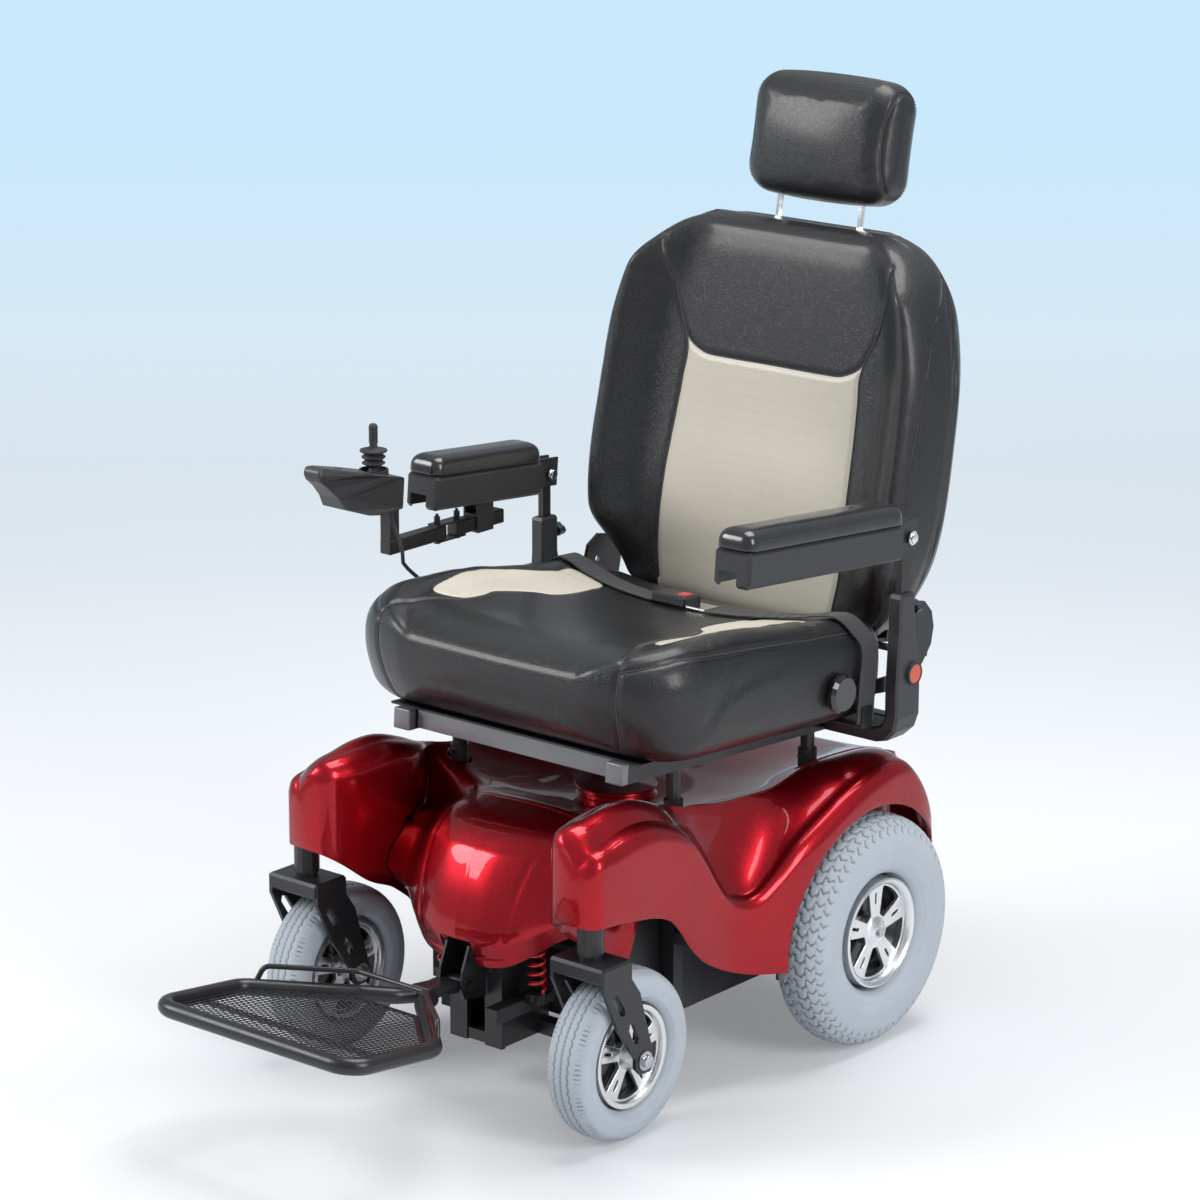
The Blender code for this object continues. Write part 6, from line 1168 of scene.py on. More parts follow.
def head_shape(u, v, w):
    """A point of the headrest, in the back's leaning frame."""
    half = (0.135, 0.046, 0.0915)
    point = rounded([c * h for c, h in zip((u, v, w), half)], half, (0.042, 0.034, 0.040))
    across, upward = point.x / half[0], point.z / half[2]
    crown = 0.012 * (1 - across**2) * (1 - upward**2) * (1 - point.y / half[1]) / 2
    rise = 0.006 * (1 - across**2) * upward
    return Vector((point.x, point.y + 0.078 - crown, point.z + 0.7095 + rise))


def cushion(name, shape, counts, place):
    """A closed skin over a shape that is given on the faces of a cube."""
    index, points, faces = {}, [], []

    def corner(key):
        if key not in index:
            index[key] = len(points)
            points.append(place(shape(*(2 * k / count - 1 for k, count in zip(key, counts)))))
        return index[key]

    for axis in range(3):
        first, second = [n for n in range(3) if n != axis]
        for end in (0, counts[axis]):
            for i in range(counts[first]):
                for j in range(counts[second]):
                    face = []
                    for di, dj in ((0, 0), (1, 0), (1, 1), (0, 1)):
                        key = [end, end, end]
                        key[first], key[second] = i + di, j + dj
                        face.append(corner(tuple(key)))
                    faces.append(face)
    return faced_out(new_mesh(name, points, faces))


def coordinates(item):
    places = np.empty(len(item.data.vertices) * 3)
    item.data.vertices.foreach_get("co", places)
    return places.reshape(-1, 3)


def set_coordinates(item, places):
    item.data.vertices.foreach_set("co", places.reshape(-1))
    item.data.update()


def normals_of(item):
    ways = np.empty(len(item.data.vertices) * 3)
    item.data.vertices.foreach_get("normal", ways)
    return ways.reshape(-1, 3)


def in_frame(places, frame_place):
    """Points of the room in a leaning frame of the chair."""
    origin = np.array(frame_place((0, 0, 0)))
    axes = np.array([np.array(frame_place(axis)) - origin for axis in ((1, 0, 0), (0, 1, 0), (0, 0, 1))])
    return (places - origin) @ axes.T


def distance_to_line(places, line):
    """Least distance of each point to a row of points."""
    best = np.full(len(places), 9.0)
    for start, end in zip(line, line[1:]):
        start, along = np.array(start), np.array(end) - np.array(start)
        share = np.clip(((places - start) @ along) / max(along @ along, 1e-12), 0.0, 1.0)
        best = np.minimum(best, np.linalg.norm(places - (start + share[:, None] * along), axis=1))
    return best


def padded_out(item, cap, held):
    """Fill a cushion with cloth pressure; held gives how firmly each point is sewn down."""
    rest = coordinates(item)
    group = item.vertex_groups.new(name="sewn_down")
    for index, weight in enumerate(held):
        if weight > 0.01:
            group.add([index], float(weight), "REPLACE")
    padding = item.modifiers.new("padding", "CLOTH")
    padding.settings.quality = 4
    padding.settings.mass = 0.3
    padding.settings.use_pressure = True
    padding.settings.uniform_pressure_force = 4.0
    padding.settings.vertex_group_mass = "sewn_down"
    padding.settings.effector_weights.gravity = 0.0
    padding.collision_settings.use_collision = False
    padding.point_cache.frame_start = 1
    padding.point_cache.frame_end = CLOTH_FRAMES
    scene = bpy.context.scene
    for number in range(1, CLOTH_FRAMES + 1):
        scene.frame_set(number)
    graph = bpy.context.evaluated_depsgraph_get()
    blown = bpy.data.meshes.new_from_object(item.evaluated_get(graph))
    item.modifiers.clear()
    scene.frame_set(1)
    places = np.empty(len(blown.vertices) * 3)
    blown.vertices.foreach_get("co", places)
    bpy.data.meshes.remove(blown)
    move = places.reshape(-1, 3) - rest
    size = np.linalg.norm(move, axis=1, keepdims=True)
    limit = cap * (1 - np.asarray(held))[:, None]
    move *= np.minimum(1.0, limit / np.maximum(size, 1e-9))
    set_coordinates(item, rest + move)


def refined(item):
    finer = item.modifiers.new("finer", "SUBSURF")
    finer.levels = finer.render_levels = 1
    return settle(item)


def pressed(item, lines, depth, width):
    """Draw the skin in along sewn lines."""
    places, ways = coordinates(item), normals_of(item)
    sink = np.zeros(len(places))
    for line in lines:
        away = distance_to_line(places, [spot for spot, way in line])
        sink = np.maximum(sink, np.exp(-((away / width) ** 2)))
    set_coordinates(item, places - ways * (sink * depth)[:, None])


def on_skin(tree, knots, frame_place, aim=None, step=0.004):
    """A sewn line on the skin: places and outward directions along it."""
    found = []
    origin = frame_place((0, 0, 0))
    for point in curve_through(knots, step):
        target = frame_place(point)
        if aim is None:
            spot, way = tree.find_nearest(target)[:2]
        else:
            direction = (frame_place(aim) - origin).normalized()
            spot, way = tree.ray_cast(target - direction * 0.25, direction)[:2]
        if spot is not None:
            found.append((spot, way))
    return found


def stitched(name, body, runs):
    """Rows of raised stitches along sewn lines."""
    bm = bmesh.new()
    for line, offset in runs:
        travelled = 0.0
        for (a, way), (b, _) in zip(line, line[1:]):
            gap = (b - a).length
            travelled += gap
            if travelled < STITCH_PITCH or gap < 1e-6:
                continue
            travelled = 0.0
            along = (b - a).normalized()
            across = way.cross(along).normalized()
            centre = a + across * offset + way * STITCH_RADIUS * 0.35
            turn = Matrix((along, across, way)).transposed().to_4x4()
            size = Matrix.Diagonal((STITCH_LENGTH / 2, STITCH_RADIUS, STITCH_RADIUS, 1.0))
            shape = Matrix.Translation(centre) @ turn @ size
            bmesh.ops.create_icosphere(bm, subdivisions=1, radius=1.0, matrix=shape)
    put(from_bmesh(name, bm), body, "thread_and_seam_shade", angle=80)


def seam_shade_tubes(name, body, lines, seam_depth):
    """Thin dark tubes sunk into the sewn lines, as painted shade in the seams."""
    sink = seam_depth * SEAM_SHADE_SINK
    shade_tubes = [pipe(name, [spot - way * sink for spot, way in line], SEAM_SHADE_RADIUS, 2) for line in lines]
    put(joined(name, shade_tubes), body, "thread_and_seam_shade", angle=80)


def skin_of(item):
    return BVHTree.FromObject(item, bpy.context.evaluated_depsgraph_get())


def upholstered(item, body, node):
    put(item, body, "seat_vinyl", [node], angle=0)
    item.data.shade_smooth()


def mark_panel(item, values):
    layer = item.data.attributes.new("panel", "FLOAT", "POINT")
    layer.data.foreach_set("value", np.asarray(values, dtype=np.float32))


def polygon_depth(places, outline):
    """Signed distance of flat points into a closed outline."""
    ring = np.array(outline + outline[:1])
    best = distance_to_line(np.c_[places, np.zeros(len(places))], np.c_[ring, np.zeros(len(ring))])
    inside = np.zeros(len(places), dtype=bool)
    for (ax, ay), (bx, by) in zip(ring, ring[1:]):
        crossing = (ay > places[:, 1]) != (by > places[:, 1])
        reach = ax + (places[:, 1] - ay) * (bx - ax) / (by - ay if by != ay else 1e-12)
        inside ^= crossing & (places[:, 0] < reach)
    return np.where(inside, best, -best)


SEAT_GUSSET = [
    (0.229, -0.033, 0.158), (0.258, -0.010, 0.167), (0.278, 0.025, 0.174), (0.291, 0.110, 0.174),
    (0.2925, 0.212, 0.169), (0.292, 0.319, 0.163), (0.291, 0.430, 0.157),
]
SEAT_CORNER_SEAM = [
    (0.229, -0.033, 0.158), (0.2284, -0.038, 0.124), (0.2254, -0.031, 0.090),
    (0.2218, -0.017, 0.055), (0.2127, 0.0, 0.033),
]
SEAT_TOP_SEAM = [
    (0.229, -0.030, 0.16), (0.2207, -0.014, 0.16), (0.202, 0.038, 0.16), (0.182, 0.103, 0.16),
    (0.1815, 0.145, 0.16), (0.188, 0.180, 0.16), (0.165, 0.235, 0.16), (0.140, 0.262, 0.16),
    (0.135, 0.320, 0.16), (0.150, 0.390, 0.16), (0.190, 0.440, 0.16),
]
CRESCENT_OUTER = [
    (0.182, 0.103), (0.200, 0.083), (0.226, 0.081), (0.241, 0.135), (0.250, 0.190), (0.245, 0.271),
    (0.230, 0.359), (0.233, 0.396),
]
BACK_SIDE_SEAM = [
    (0.000, 0.168), (0.060, 0.176), (0.155, 0.176), (0.250, 0.172), (0.320, 0.168),
    (0.366, 0.166), (0.425, 0.188), (0.490, 0.207), (0.535, 0.217),
]
YOKE_SEAM = [(0.0, 0.3565), (0.120, 0.3565), (0.137, 0.360), (0.160, 0.3716), (0.171, 0.385)]
BACK_GUSSET = [
    (0.248, 0.059, 0.524), (0.2855, 0.002, 0.451), (0.298, -0.021, 0.3645),
    (0.300, -0.030, 0.283), (0.300, -0.035, 0.2125), (0.297, -0.030, 0.120), (0.285, -0.010, 0.050),
]


def both_sides(knots):
    return [[(side * knot[0], *knot[1:]) for knot in knots] for side in (1, -1)]


def seat_cushion(seam_depth, swell):
    item = cushion("seat_pad", seat_shape, SEAT_GRID, on_seat)
    eased = item.modifiers.new("eased_edges", "SMOOTH")
    eased.factor = 0.5
    eased.iterations = 16
    settle(item)
    local = in_frame(coordinates(item), on_seat)
    held = np.clip((0.055 - local[:, 2]) / 0.02, 0.0, 1.0)
    drift = BELT_DRIFT * np.array([ease((SEAT_HALF - abs(x)) / 0.20) for x in local[:, 0]])
    held = np.maximum(held, np.clip((0.052 - np.abs(local[:, 1] - BELT_Y - drift)) / 0.020, 0.0, 1.0))
    padded_out(item, swell, held)
    refined(item)
    tree = skin_of(item)
    gussets = [on_skin(tree, knots, on_seat) for knots in both_sides(SEAT_GUSSET)]
    corners = [on_skin(tree, knots, on_seat) for knots in both_sides(SEAT_CORNER_SEAM)]
    tops = [on_skin(tree, knots, on_seat, (0, 0, -1)) for knots in both_sides(SEAT_TOP_SEAM)]
    outer = [(*knot, 0.16) for knot in CRESCENT_OUTER]
    rims = [on_skin(tree, knots, on_seat, (0, 0, -1)) for knots in both_sides(outer)]
    seams = gussets + corners + tops + rims
    pressed(item, seams, seam_depth, 0.0042)
    local = in_frame(coordinates(item), on_seat)
    ring = [tuple(point) for point in curve_through([k[:2] for k in CRESCENT_OUTER], 0.006)]
    inner = [tuple(point) for point in curve_through([k[:2] for k in SEAT_TOP_SEAM[3:]], 0.006)]
    flat = np.c_[np.abs(local[:, 0]), local[:, 1]]
    depth = polygon_depth(flat, ring + inner[::-1])
    mark_panel(item, np.where(local[:, 2] > 0.12, depth, -0.01))
    upholstered(item, "seat", "seat_cushion")
    tree = skin_of(item)
    seam_shade_tubes("seat_seam_shade", "seat", seams, seam_depth)
    gussets = [on_skin(tree, knots, on_seat, step=0.0048) for knots in both_sides(SEAT_GUSSET)]
    runs = [(line, way) for line in gussets for way in (-0.0045, 0.0045)]
    stitched("seat_stitches", "seat", runs)


def back_cushion(seam_depth, swell):
    item = cushion("back_pad", back_shape, BACK_GRID, on_back)
    local = in_frame(coordinates(item), on_back)
    held = np.clip((local[:, 1] - 0.060) / 0.02, 0.0, 1.0)
    padded_out(item, swell, held)
    refined(item)
    tree = skin_of(item)
    sides = [(x, 0.0, z) for z, x in BACK_SIDE_SEAM]
    yoke = [(-x, 0.0, z) for x, z in reversed(YOKE_SEAM[1:])] + [(x, 0.0, z) for x, z in YOKE_SEAM]
    seams = [on_skin(tree, knots, on_back, (0, 1, 0)) for knots in both_sides(sides)]
    seams.append(on_skin(tree, yoke, on_back, (0, 1, 0)))
    gussets = [on_skin(tree, knots, on_back) for knots in both_sides(BACK_GUSSET)]
    pressed(item, seams + gussets, seam_depth, 0.0045)
    local = in_frame(coordinates(item), on_back)
    size = np.abs(local[:, 0])
    reach = np.array([smooth(BACK_SIDE_SEAM, z) for z in local[:, 2]])
    roof = np.array([smooth(YOKE_SEAM, x) for x in size])
    depth = np.minimum(reach - size, roof - local[:, 2])
    mark_panel(item, np.where(local[:, 1] < 0.05, depth, -0.01))
    upholstered(item, "back", "back_cushion")
    seam_shade_tubes("back_seam_shade", "back", seams + gussets, seam_depth)
    tree = skin_of(item)
    gussets = [on_skin(tree, knots, on_back, step=0.0048) for knots in both_sides(BACK_GUSSET)]
    runs = [(line, way) for line in gussets for way in (-0.0045, 0.0045)]
    stitched("back_stitches", "back", runs)


def headrest(seam_depth, swell):
    item = cushion("headrest_cushion", head_shape, HEAD_GRID, on_back)
    local = in_frame(coordinates(item), on_back)
    held = np.clip((local[:, 1] - 0.105) / 0.02, 0.0, 1.0)
    padded_out(item, swell, held)
    refined(item)
    tree = skin_of(item)
    rings = []
    for side in (1, -1):
        knots = [
            (side * 0.122, 0.078 + 0.040 * math.cos(turn), 0.7095 + 0.078 * math.sin(turn))
            for turn in spread(0.0, 2 * math.pi, 25)
        ]
        rings.append(on_skin(tree, knots, on_back, step=0.0045))
    pressed(item, rings, seam_depth, 0.0040)
    mark_panel(item, np.full(len(item.data.vertices), -0.01))
    upholstered(item, "headrest", "headrest_pad")
    seam_shade_tubes("headrest_seam_shade", "headrest", rings, seam_depth)
    runs = [(line, way) for line in rings for way in (-0.0042, 0.0042)]
    stitched("headrest_stitches", "headrest", runs)


def arm_pads():
    for name in ARM_LENGTH:
        half, rear = 0.0325, -0.041
        front = rear - ARM_LENGTH[name] - 0.002
        low, high = 0.0265, 0.057
        rings = []
        for z, shrink in (
            (low, 0.0012), (low + 0.0012, 0.0), (low + 0.009, 0.0), (low + 0.016, 0.0008),
            (low + 0.022, 0.0034), (low + 0.0265, 0.0080), (low + 0.0293, 0.0142), (high, 0.0205),
        ):
            corner = max(0.017 - shrink * 0.5, 0.006)
            reach_x, low_y, high_y = half - shrink, front + shrink, rear - shrink
            ring = []
            for cx, cy, start in (
                (reach_x - corner, high_y - corner, 0), (-reach_x + corner, high_y - corner, 90),
                (-reach_x + corner, low_y + corner, 180), (reach_x - corner, low_y + corner, 270),
            ):
                ring += [on_arm(name, (x, y, z)) for x, y in arc((cx, cy), corner, start, start + 90, 9)]
            rings.append(ring)
        item = loft("armrest_skin_" + name, rings)
        finer = item.modifiers.new("finer", "SUBSURF")
        finer.levels = finer.render_levels = 2
        settle(item)
        put(item, "armrest_" + name, "arm_skin", ["arm_pad_" + name], angle=0)
        item.data.shade_smooth()


def strap_centre(end, clearance):
    """Centre line of a belt strap over the cushion, in the seat's frame."""
    v = (BELT_Y - (SEAT_FRONT + SEAT_REAR) / 2) / ((SEAT_REAR - SEAT_FRONT) / 2)
    points = []
    for n, u in enumerate((1.0, 0.955, 0.91, 0.87)):
        point = seat_shape(u, v, 1.0)
        lean = math.radians(25 + 55 * n / 3)
        points.append((point.x + clearance * math.cos(lean), point.z + clearance * math.sin(lean)))
    for u in (0.80, 0.70, 0.60, 0.48, 0.35, 0.22, 0.10):
        if u * SEAT_HALF > end:
            points.append((u * SEAT_HALF, seat_shape(u, v, 1.0).z + clearance))
    points.append((end, seat_shape(end / SEAT_HALF, v, 1.0).z + clearance))
    low, rise = PAN_TOP + 0.003, points[0][1] - 0.022
    return [(BELT_SIDE_X, z) for z in (low, (low + rise) / 2, rise)] + points


def lap_belts():
    for name, side, end in (("left", 1, 0.0523), ("right", -1, 0.0503)):
        path = curve_through(strap_centre(end, BELT_CLEARANCE), 0.004)
        rings = []
        for n, point in enumerate(path):
            ahead = path[min(n + 1, len(path) - 1)] - path[max(n - 1, 0)]
            normal = Vector((ahead.y, -ahead.x)).normalized()
            slide = BELT_DRIFT * ease((SEAT_HALF - abs(point.x)) / 0.20)
            ring = []
            for way in (1, -1):
                for t in spread(-way, way, 33):
                    rib = 0.00035 * abs(math.sin(3.5 * math.pi * (t + 1)))  # 7 ribs
                    out = way * (0.0010 + rib)
                    x, z = side * (point.x + out * normal.x), point.y + out * normal.y
                    ring.append(on_seat((x, BELT_Y + slide + t * BELT_HALF, z)))
            rings.append(ring)
        item = loft("strap_" + name, rings)
        put(item, "seat", "webbing", ["belt_" + name], angle=50)


# Wheels
def tread_of_drive(around, across):
    """How deep the drive tyre's chevron tread is cut, from places in metres."""
    column = round(across / LUG_WIDTH)
    side = across / LUG_WIDTH - column
    row = around / (2 * math.pi * DRIVE_RADIUS / LUG_ROWS) + 0.5 * (column % 2)
    along = row - math.floor(row) - 0.5
    chevron = bump(along - (0.24 - 0.72 * abs(side)), 0.085)
    between = bump(abs(side) - 0.5, 0.075) * ease((0.30 - along) / 0.25)
    return max(chevron, 0.75 * between) * ease((0.056 - abs(across)) / 0.006)


def tread_of_caster(around, across):
    wave = 0.0011 * math.sin(2 * math.pi * around / 0.0133)
    groove = 0.0
    for place in (-0.0125, 0.0, 0.0125):
        groove = max(groove, bump(across - place - wave, 0.0015))
    rib = abs(math.sin(math.pi * around / 0.0075))
    shoulder = ease((abs(across) - 0.021) / 0.003) * ease((0.034 - abs(across)) / 0.004)
    return max(groove, shoulder * bump(rib, 0.30))


def tyre(name, body, centre, radius, inner, half, tread, depth, node, steps, finish):
    """A tyre from its rounded section, with tread cut in and rings on the sidewalls."""
    middle, reach = (radius + inner) / 2, (radius - inner) / 2
    section = []
    for t in spread(-1.0, 1.0, 91):
        turn = t * math.pi * 0.80
        x = half * math.copysign(abs(math.sin(turn)) ** 0.78, turn)
        r = middle + reach * math.copysign(abs(math.cos(turn)) ** 0.78, math.cos(turn))
        section.append(Vector((x, r)))
    lengths = [0.0]
    for first, second in zip(section, section[1:]):
        lengths.append(lengths[-1] + (second - first).length)
    mid = lengths[-1] / 2
    points, faces, shade = [], [], []
    for n in range(steps):
        angle = 2 * math.pi * n / steps
        for index, point in enumerate(section):
            arc_across = lengths[index] - mid
            before, after = section[max(index - 1, 0)], section[min(index + 1, len(section) - 1)]
            normal = Vector((-(after - before).y, (after - before).x)).normalized()
            if normal.dot(Vector((point.x, point.y - middle))) < 0:
                normal = -normal
            groove = tread(angle * radius, arc_across)
            ring = max(bump(abs(arc_across) - mid * at, width) for at, width in SIDEWALL_RINGS)
            moved = point - normal * (depth * groove) + normal * 0.0006 * ring
            spot = Vector((moved.x, moved.y * math.cos(angle), moved.y * math.sin(angle)))
            points.append(spot + Vector(centre))
            # painted shade for the tyre's finish: full in the tread grooves, faint on the sidewall rings
            shade.append(max(groove, ring * 0.3))
    count = len(section)
    for n in range(steps):
        m = (n + 1) % steps
        for k in range(count):
            j = (k + 1) % count
            faces.append((n * count + k, n * count + j, m * count + j, m * count + k))
    item = faced_out(new_mesh(name, points, faces))
    layer = item.data.attributes.new("groove", "FLOAT", "POINT")
    layer.data.foreach_set("value", np.asarray(shade, dtype=np.float32))
    put(item, body, finish, [node], angle=55)


def tyre_finish(name, colour):
    """Grey rubber with painted shade in the tread grooves and, faintly, on the sidewall rings."""
    tree, shader = finish_base(name)
    drift = place_group(tree, "colour_drift", Colour=rgba(colour), Amount=0.10, Scale=24.0)
    dark = [part * 0.36 for part in colour]
    value = add(tree, "Attribute", attribute_name="groove").outputs["Fac"]
    # painted shade: the tread grooves darken towards the shade colour
    groove_shade = remap(tree, value, 0.10, 0.85, 0.0, 0.8)
    mixed = blend_colours(tree, groove_shade, drift.outputs["Colour"], rgba(dark))
    tree.links.new(mixed, shader.inputs["Base Color"])
    tree.links.new(remap(tree, drift.outputs["Value"], 0.3, 0.7, 0.58, 0.74), shader.inputs["Roughness"])
    speck = place_group(tree, "fine_texture", Scale=1300.0)
    set_bump(tree, shader, speck.outputs["Height"], 0.5, 0.00012)


def filled_outline(name, outlines, depth, edge):
    """A flat plate from outlines, the first its rim and the others holes, with soft edges."""
    curve = bpy.data.curves.new(name, "CURVE")
    curve.dimensions = "2D"
    curve.fill_mode = "BOTH"
    curve.extrude = depth / 2 - edge
    curve.bevel_depth = edge
    curve.bevel_resolution = 2
    curve.offset = -edge
    for outline in outlines:
        spline = curve.splines.new("POLY")
        spline.points.add(len(outline) - 1)
        for control, (x, y) in zip(spline.points, outline):
            control.co = (x, y, 0.0, 1.0)
        spline.use_cyclic_u = True
    item = placed(name, curve)
    mesh = shape_of(item)
    bpy.data.objects.remove(item, do_unlink=True)
    bm = bmesh.new()
    bm.from_mesh(mesh)
    bmesh.ops.remove_doubles(bm, verts=bm.verts, dist=1e-6)
    bmesh.ops.recalc_face_normals(bm, faces=bm.faces)
    return from_bmesh(name, bm)


def polar(radius, degrees):
    return radius * math.cos(math.radians(degrees)), radius * math.sin(math.radians(degrees))


def spoke_outlines(spokes, hub, rim, root, tip):
    """Rim, windows and spoke slots of a wheel face; root and tip are spoke half widths."""
    outlines = [[polar(rim + 0.004, 360 * n / 96) for n in range(96)]]
    step = 360 / spokes
    for n in range(spokes):
        base = n * step + 90
        start, end = math.degrees(math.asin(root / hub)), math.degrees(math.asin(tip / rim))
        corners = [polar(hub, base + start), *[polar(rim, base + a) for a in spread(end, step - end, 9)]]
        corners += [polar(hub, base + step - start)]
        corners = [Vector((x, y, 0.0)) for x, y in corners]
        window = rounded_path(corners, 0.0035, 4, closed=True)
        outlines.append([(point.x, point.y) for point in window])
        lean = math.radians(base)
        out, off = Vector((math.cos(lean), math.sin(lean))), Vector((-math.sin(lean), math.cos(lean)))
        low, high = hub + (rim - hub) * 0.42, hub + (rim - hub) * 0.74
        slot = []
        for end_place, way in ((high, 0.0021), (low, -0.0021)):
            for t in spread(0, math.pi, 7):
                slot.append(out * end_place + off * way * math.cos(t) + out * way * math.sin(t))
        outlines.append([tuple(point) for point in slot])
    return outlines


def wheel_face(name, centre, way, offset, spokes, hub, rim, root, tip):
    """The spoked face of a wheel, turned outwards."""
    plate = filled_outline(name, spoke_outlines(spokes, hub, rim, root, tip), 0.007, 0.0012)
    turn = Matrix(((0, 0, way), (way, 0, 0), (0, 1, 0))).to_4x4()
    plate.data.transform(Matrix.Translation(Vector(centre) + Vector((way * offset, 0, 0))) @ turn)
    return plate


def drive_rims():
    for name, side in SIDES:
        centre = here(side * DRIVE_X, 0, DRIVE_RADIUS)
        lip = turned("lip", [
            (0.0842, side * 0.036), (0.0815, side * 0.0372), (0.0765, side * 0.0350),
            (0.0738, side * 0.0300), (0.0725, side * 0.0240), (0.0725, side * -0.030),
            (0.0745, side * -0.0345), (0.0842, side * -0.036),
        ], 128, centre)
        face = wheel_face("face", centre, side, 0.0215, 5, 0.027, 0.0700, 0.0105, 0.0175)
        dome = turned("dome", [
            (0.0001, side * 0.0325), (0.006, side * 0.0322), (0.0125, side * 0.0305),
            (0.0190, side * 0.0270), (0.0232, side * 0.0250), (0.0250, side * 0.0215),
            (0.0250, side * -0.006), (0.0001, side * -0.006),
        ], 64, centre)
        near, far = (centre - Vector((side * reach, 0, 0)) for reach in (0.006, 0.098))
        axle = rod("axle", near, far, 0.009, 24)
        item = joined("wheel_alloy_" + name, [lip, face, dome, axle])
        put(item, "wheel_" + name, "alloy_face", ["drive_rim_" + name], angle=40)
        dish = turned("wheel_dish_" + name, [
            (0.020, side * 0.006), (0.060, side * 0.002), (0.0718, side * 0.012), (0.0718, side * -0.028),
            (0.060, side * -0.018), (0.020, side * -0.010),
        ], 96, centre)
        put(dish, "wheel_" + name, "dish_black")
        end = centre + Vector((side * 0.0318, 0, 0))
        nut = bolt("wheel_bolt_" + name, end, (side, 0, 0), 0.0062, 0.0048)
        put(nut, "wheel_" + name, "zinc_plate")


def caster_rims():
    for name, side in SIDES:
        centre = here(side * CASTER_X, CASTER_Y, CASTER_RADIUS)
        lip = turned("lip", [
            (0.0762, 0.0278), (0.0735, 0.0286), (0.0690, 0.0270), (0.0668, 0.0225), (0.0662, 0.016),
            (0.0662, -0.016), (0.0668, -0.0225), (0.0690, -0.0270), (0.0735, -0.0286), (0.0762, -0.0278),
        ], 112, centre)
        faces = [
            wheel_face("face", centre, way, 0.0165, 5, 0.023, 0.0638, 0.0090, 0.0150)
            for way in (1, -1)
        ]
        hub = turned("hub", [
            (0.0055, 0.0425), (0.0140, 0.0425), (0.0175, 0.030), (0.0215, 0.0205), (0.0215, -0.0205),
            (0.0175, -0.030), (0.0140, -0.0425), (0.0055, -0.0425),
        ], 64, centre)
        item = joined("caster_alloy_" + name, [lip, hub, *faces])
        put(item, "caster_" + name, "alloy_face", ["caster_rim_" + name], angle=40)
        dish = turned("caster_dish_" + name, [
            (0.0205, 0.008), (0.0655, 0.006), (0.0655, -0.006), (0.0205, -0.008),
        ], 80, centre)
        put(dish, "caster_" + name, "dish_black")


def tyres(tread_depth):
    for name, side in SIDES:
        centre = here(side * DRIVE_X, 0, DRIVE_RADIUS)
        tyre(
            "drive_tread_" + name, "wheel_" + name, centre, DRIVE_RADIUS, 0.0843, DRIVE_WIDTH / 2,
            tread_of_drive, tread_depth, "drive_tyre_" + name, 560, "tyre_drive",
        )
        centre = here(side * CASTER_X, CASTER_Y, CASTER_RADIUS)
        tyre(
            "caster_tread_" + name, "caster_" + name, centre, CASTER_RADIUS, 0.0763, CASTER_WIDTH / 2,
            tread_of_caster, tread_depth * 0.6, "caster_tyre_" + name, 440, "tyre_caster",
        )


def springs():
    for name, side in SIDES:
        middle, count = side * COIL_X, COIL_CURLS * COIL_STEPS
        points = [Vector((middle + COIL_RADIUS, COIL_Y, COIL_LOW - COIL_END))]
        for n in range(count + 1):
            angle = side * 2 * math.pi * n / COIL_STEPS
            points.append(Vector((
                middle + COIL_RADIUS * math.cos(angle), COIL_Y + COIL_RADIUS * math.sin(angle),
                COIL_LOW + (COIL_HIGH - COIL_LOW) * n / count,
            )))
        points.append(points[-1] + Vector((0, 0, COIL_END)))
        item = pipe("coil_" + name, [point + SHIFT for point in points], COIL_WIRE, 4)
        put(item, "chassis", "spring_gloss", ["spring_" + name], angle=60)
        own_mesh(item)


# Footplate
def foot_z(y):
    return FOOT_REAR_Z + (FOOT_REAR_Y - y) * math.tan(FOOT_SLOPE)


def footplate():
    half = 0.0185
    pivot = (-0.558, 0.174)
    hub = rod("hub", here(-half, *pivot), here(half, *pivot), 0.0128, 32, 0.0012)

    def sloped(point):
        x, y, z = point
        lean = FOOT_SLOPE
        return here(
            x, pivot[0] + y * math.cos(lean) + z * math.sin(lean),
            pivot[1] - y * math.sin(lean) + z * math.cos(lean),
        )

    low, high = (-half + 0.0005, -0.084, -0.008), (half - 0.0005, -0.010, 0.008)
    tongue = brick("tongue", low, high, sloped, 0.002)
    corners = [
        (0.0145, -0.634), (0.026, -0.664), (FOOT_REAR_HALF, FOOT_REAR_Y), (FOOT_HALF, FOOT_SIDE_Y),
        (FOOT_HALF, FOOT_FRONT_Y),
    ]
    corners += [(-x, y) for x, y in reversed(corners)]
    path = rounded_path([here(x, y, foot_z(y)) for x, y in corners], 0.034, 12)
    rail = pipe("rail", path, 0.0125, 6)
    fence = [
        (0.177, -0.800, foot_z(-0.800)), (0.167, -0.788, foot_z(-0.800) + 0.030),
        (0.064, -0.700, foot_z(-0.700) + 0.034),
    ]
    fence += [(-x, y, z) for x, y, z in reversed(fence)]
    heel = pipe("heel", rounded_path([here(*point) for point in fence], 0.014, 8), 0.004, 5)
    stay_z = foot_z(-0.9005) - 0.0058
    stay = rod("stay", here(-FOOT_HALF, -0.9005, stay_z), here(FOOT_HALF, -0.9005, stay_z), 0.004, 16)
    item = joined("footplate_rail", [hub, tongue, rail, heel, stay])
    put(item, "footplate", "frame_powder", ["footplate_frame"], angle=45)


def clip_line(outline, start, along):
    """Where a line passes through a convex outline, as two distances along it."""
    low, high = -9.0, 9.0
    for n, point in enumerate(outline):
        edge = outline[(n + 1) % len(outline)] - point
        normal = Vector((edge.y, -edge.x))
        away = normal.dot(start - point)
        pace = normal.dot(along)
        if abs(pace) < 1e-12:
            if away > 0:
                return None
            continue
        t = -away / pace
        if pace > 0:
            high = min(high, t)
        else:
            low = max(low, t)
    return (low, high) if high - low > 0.002 else None


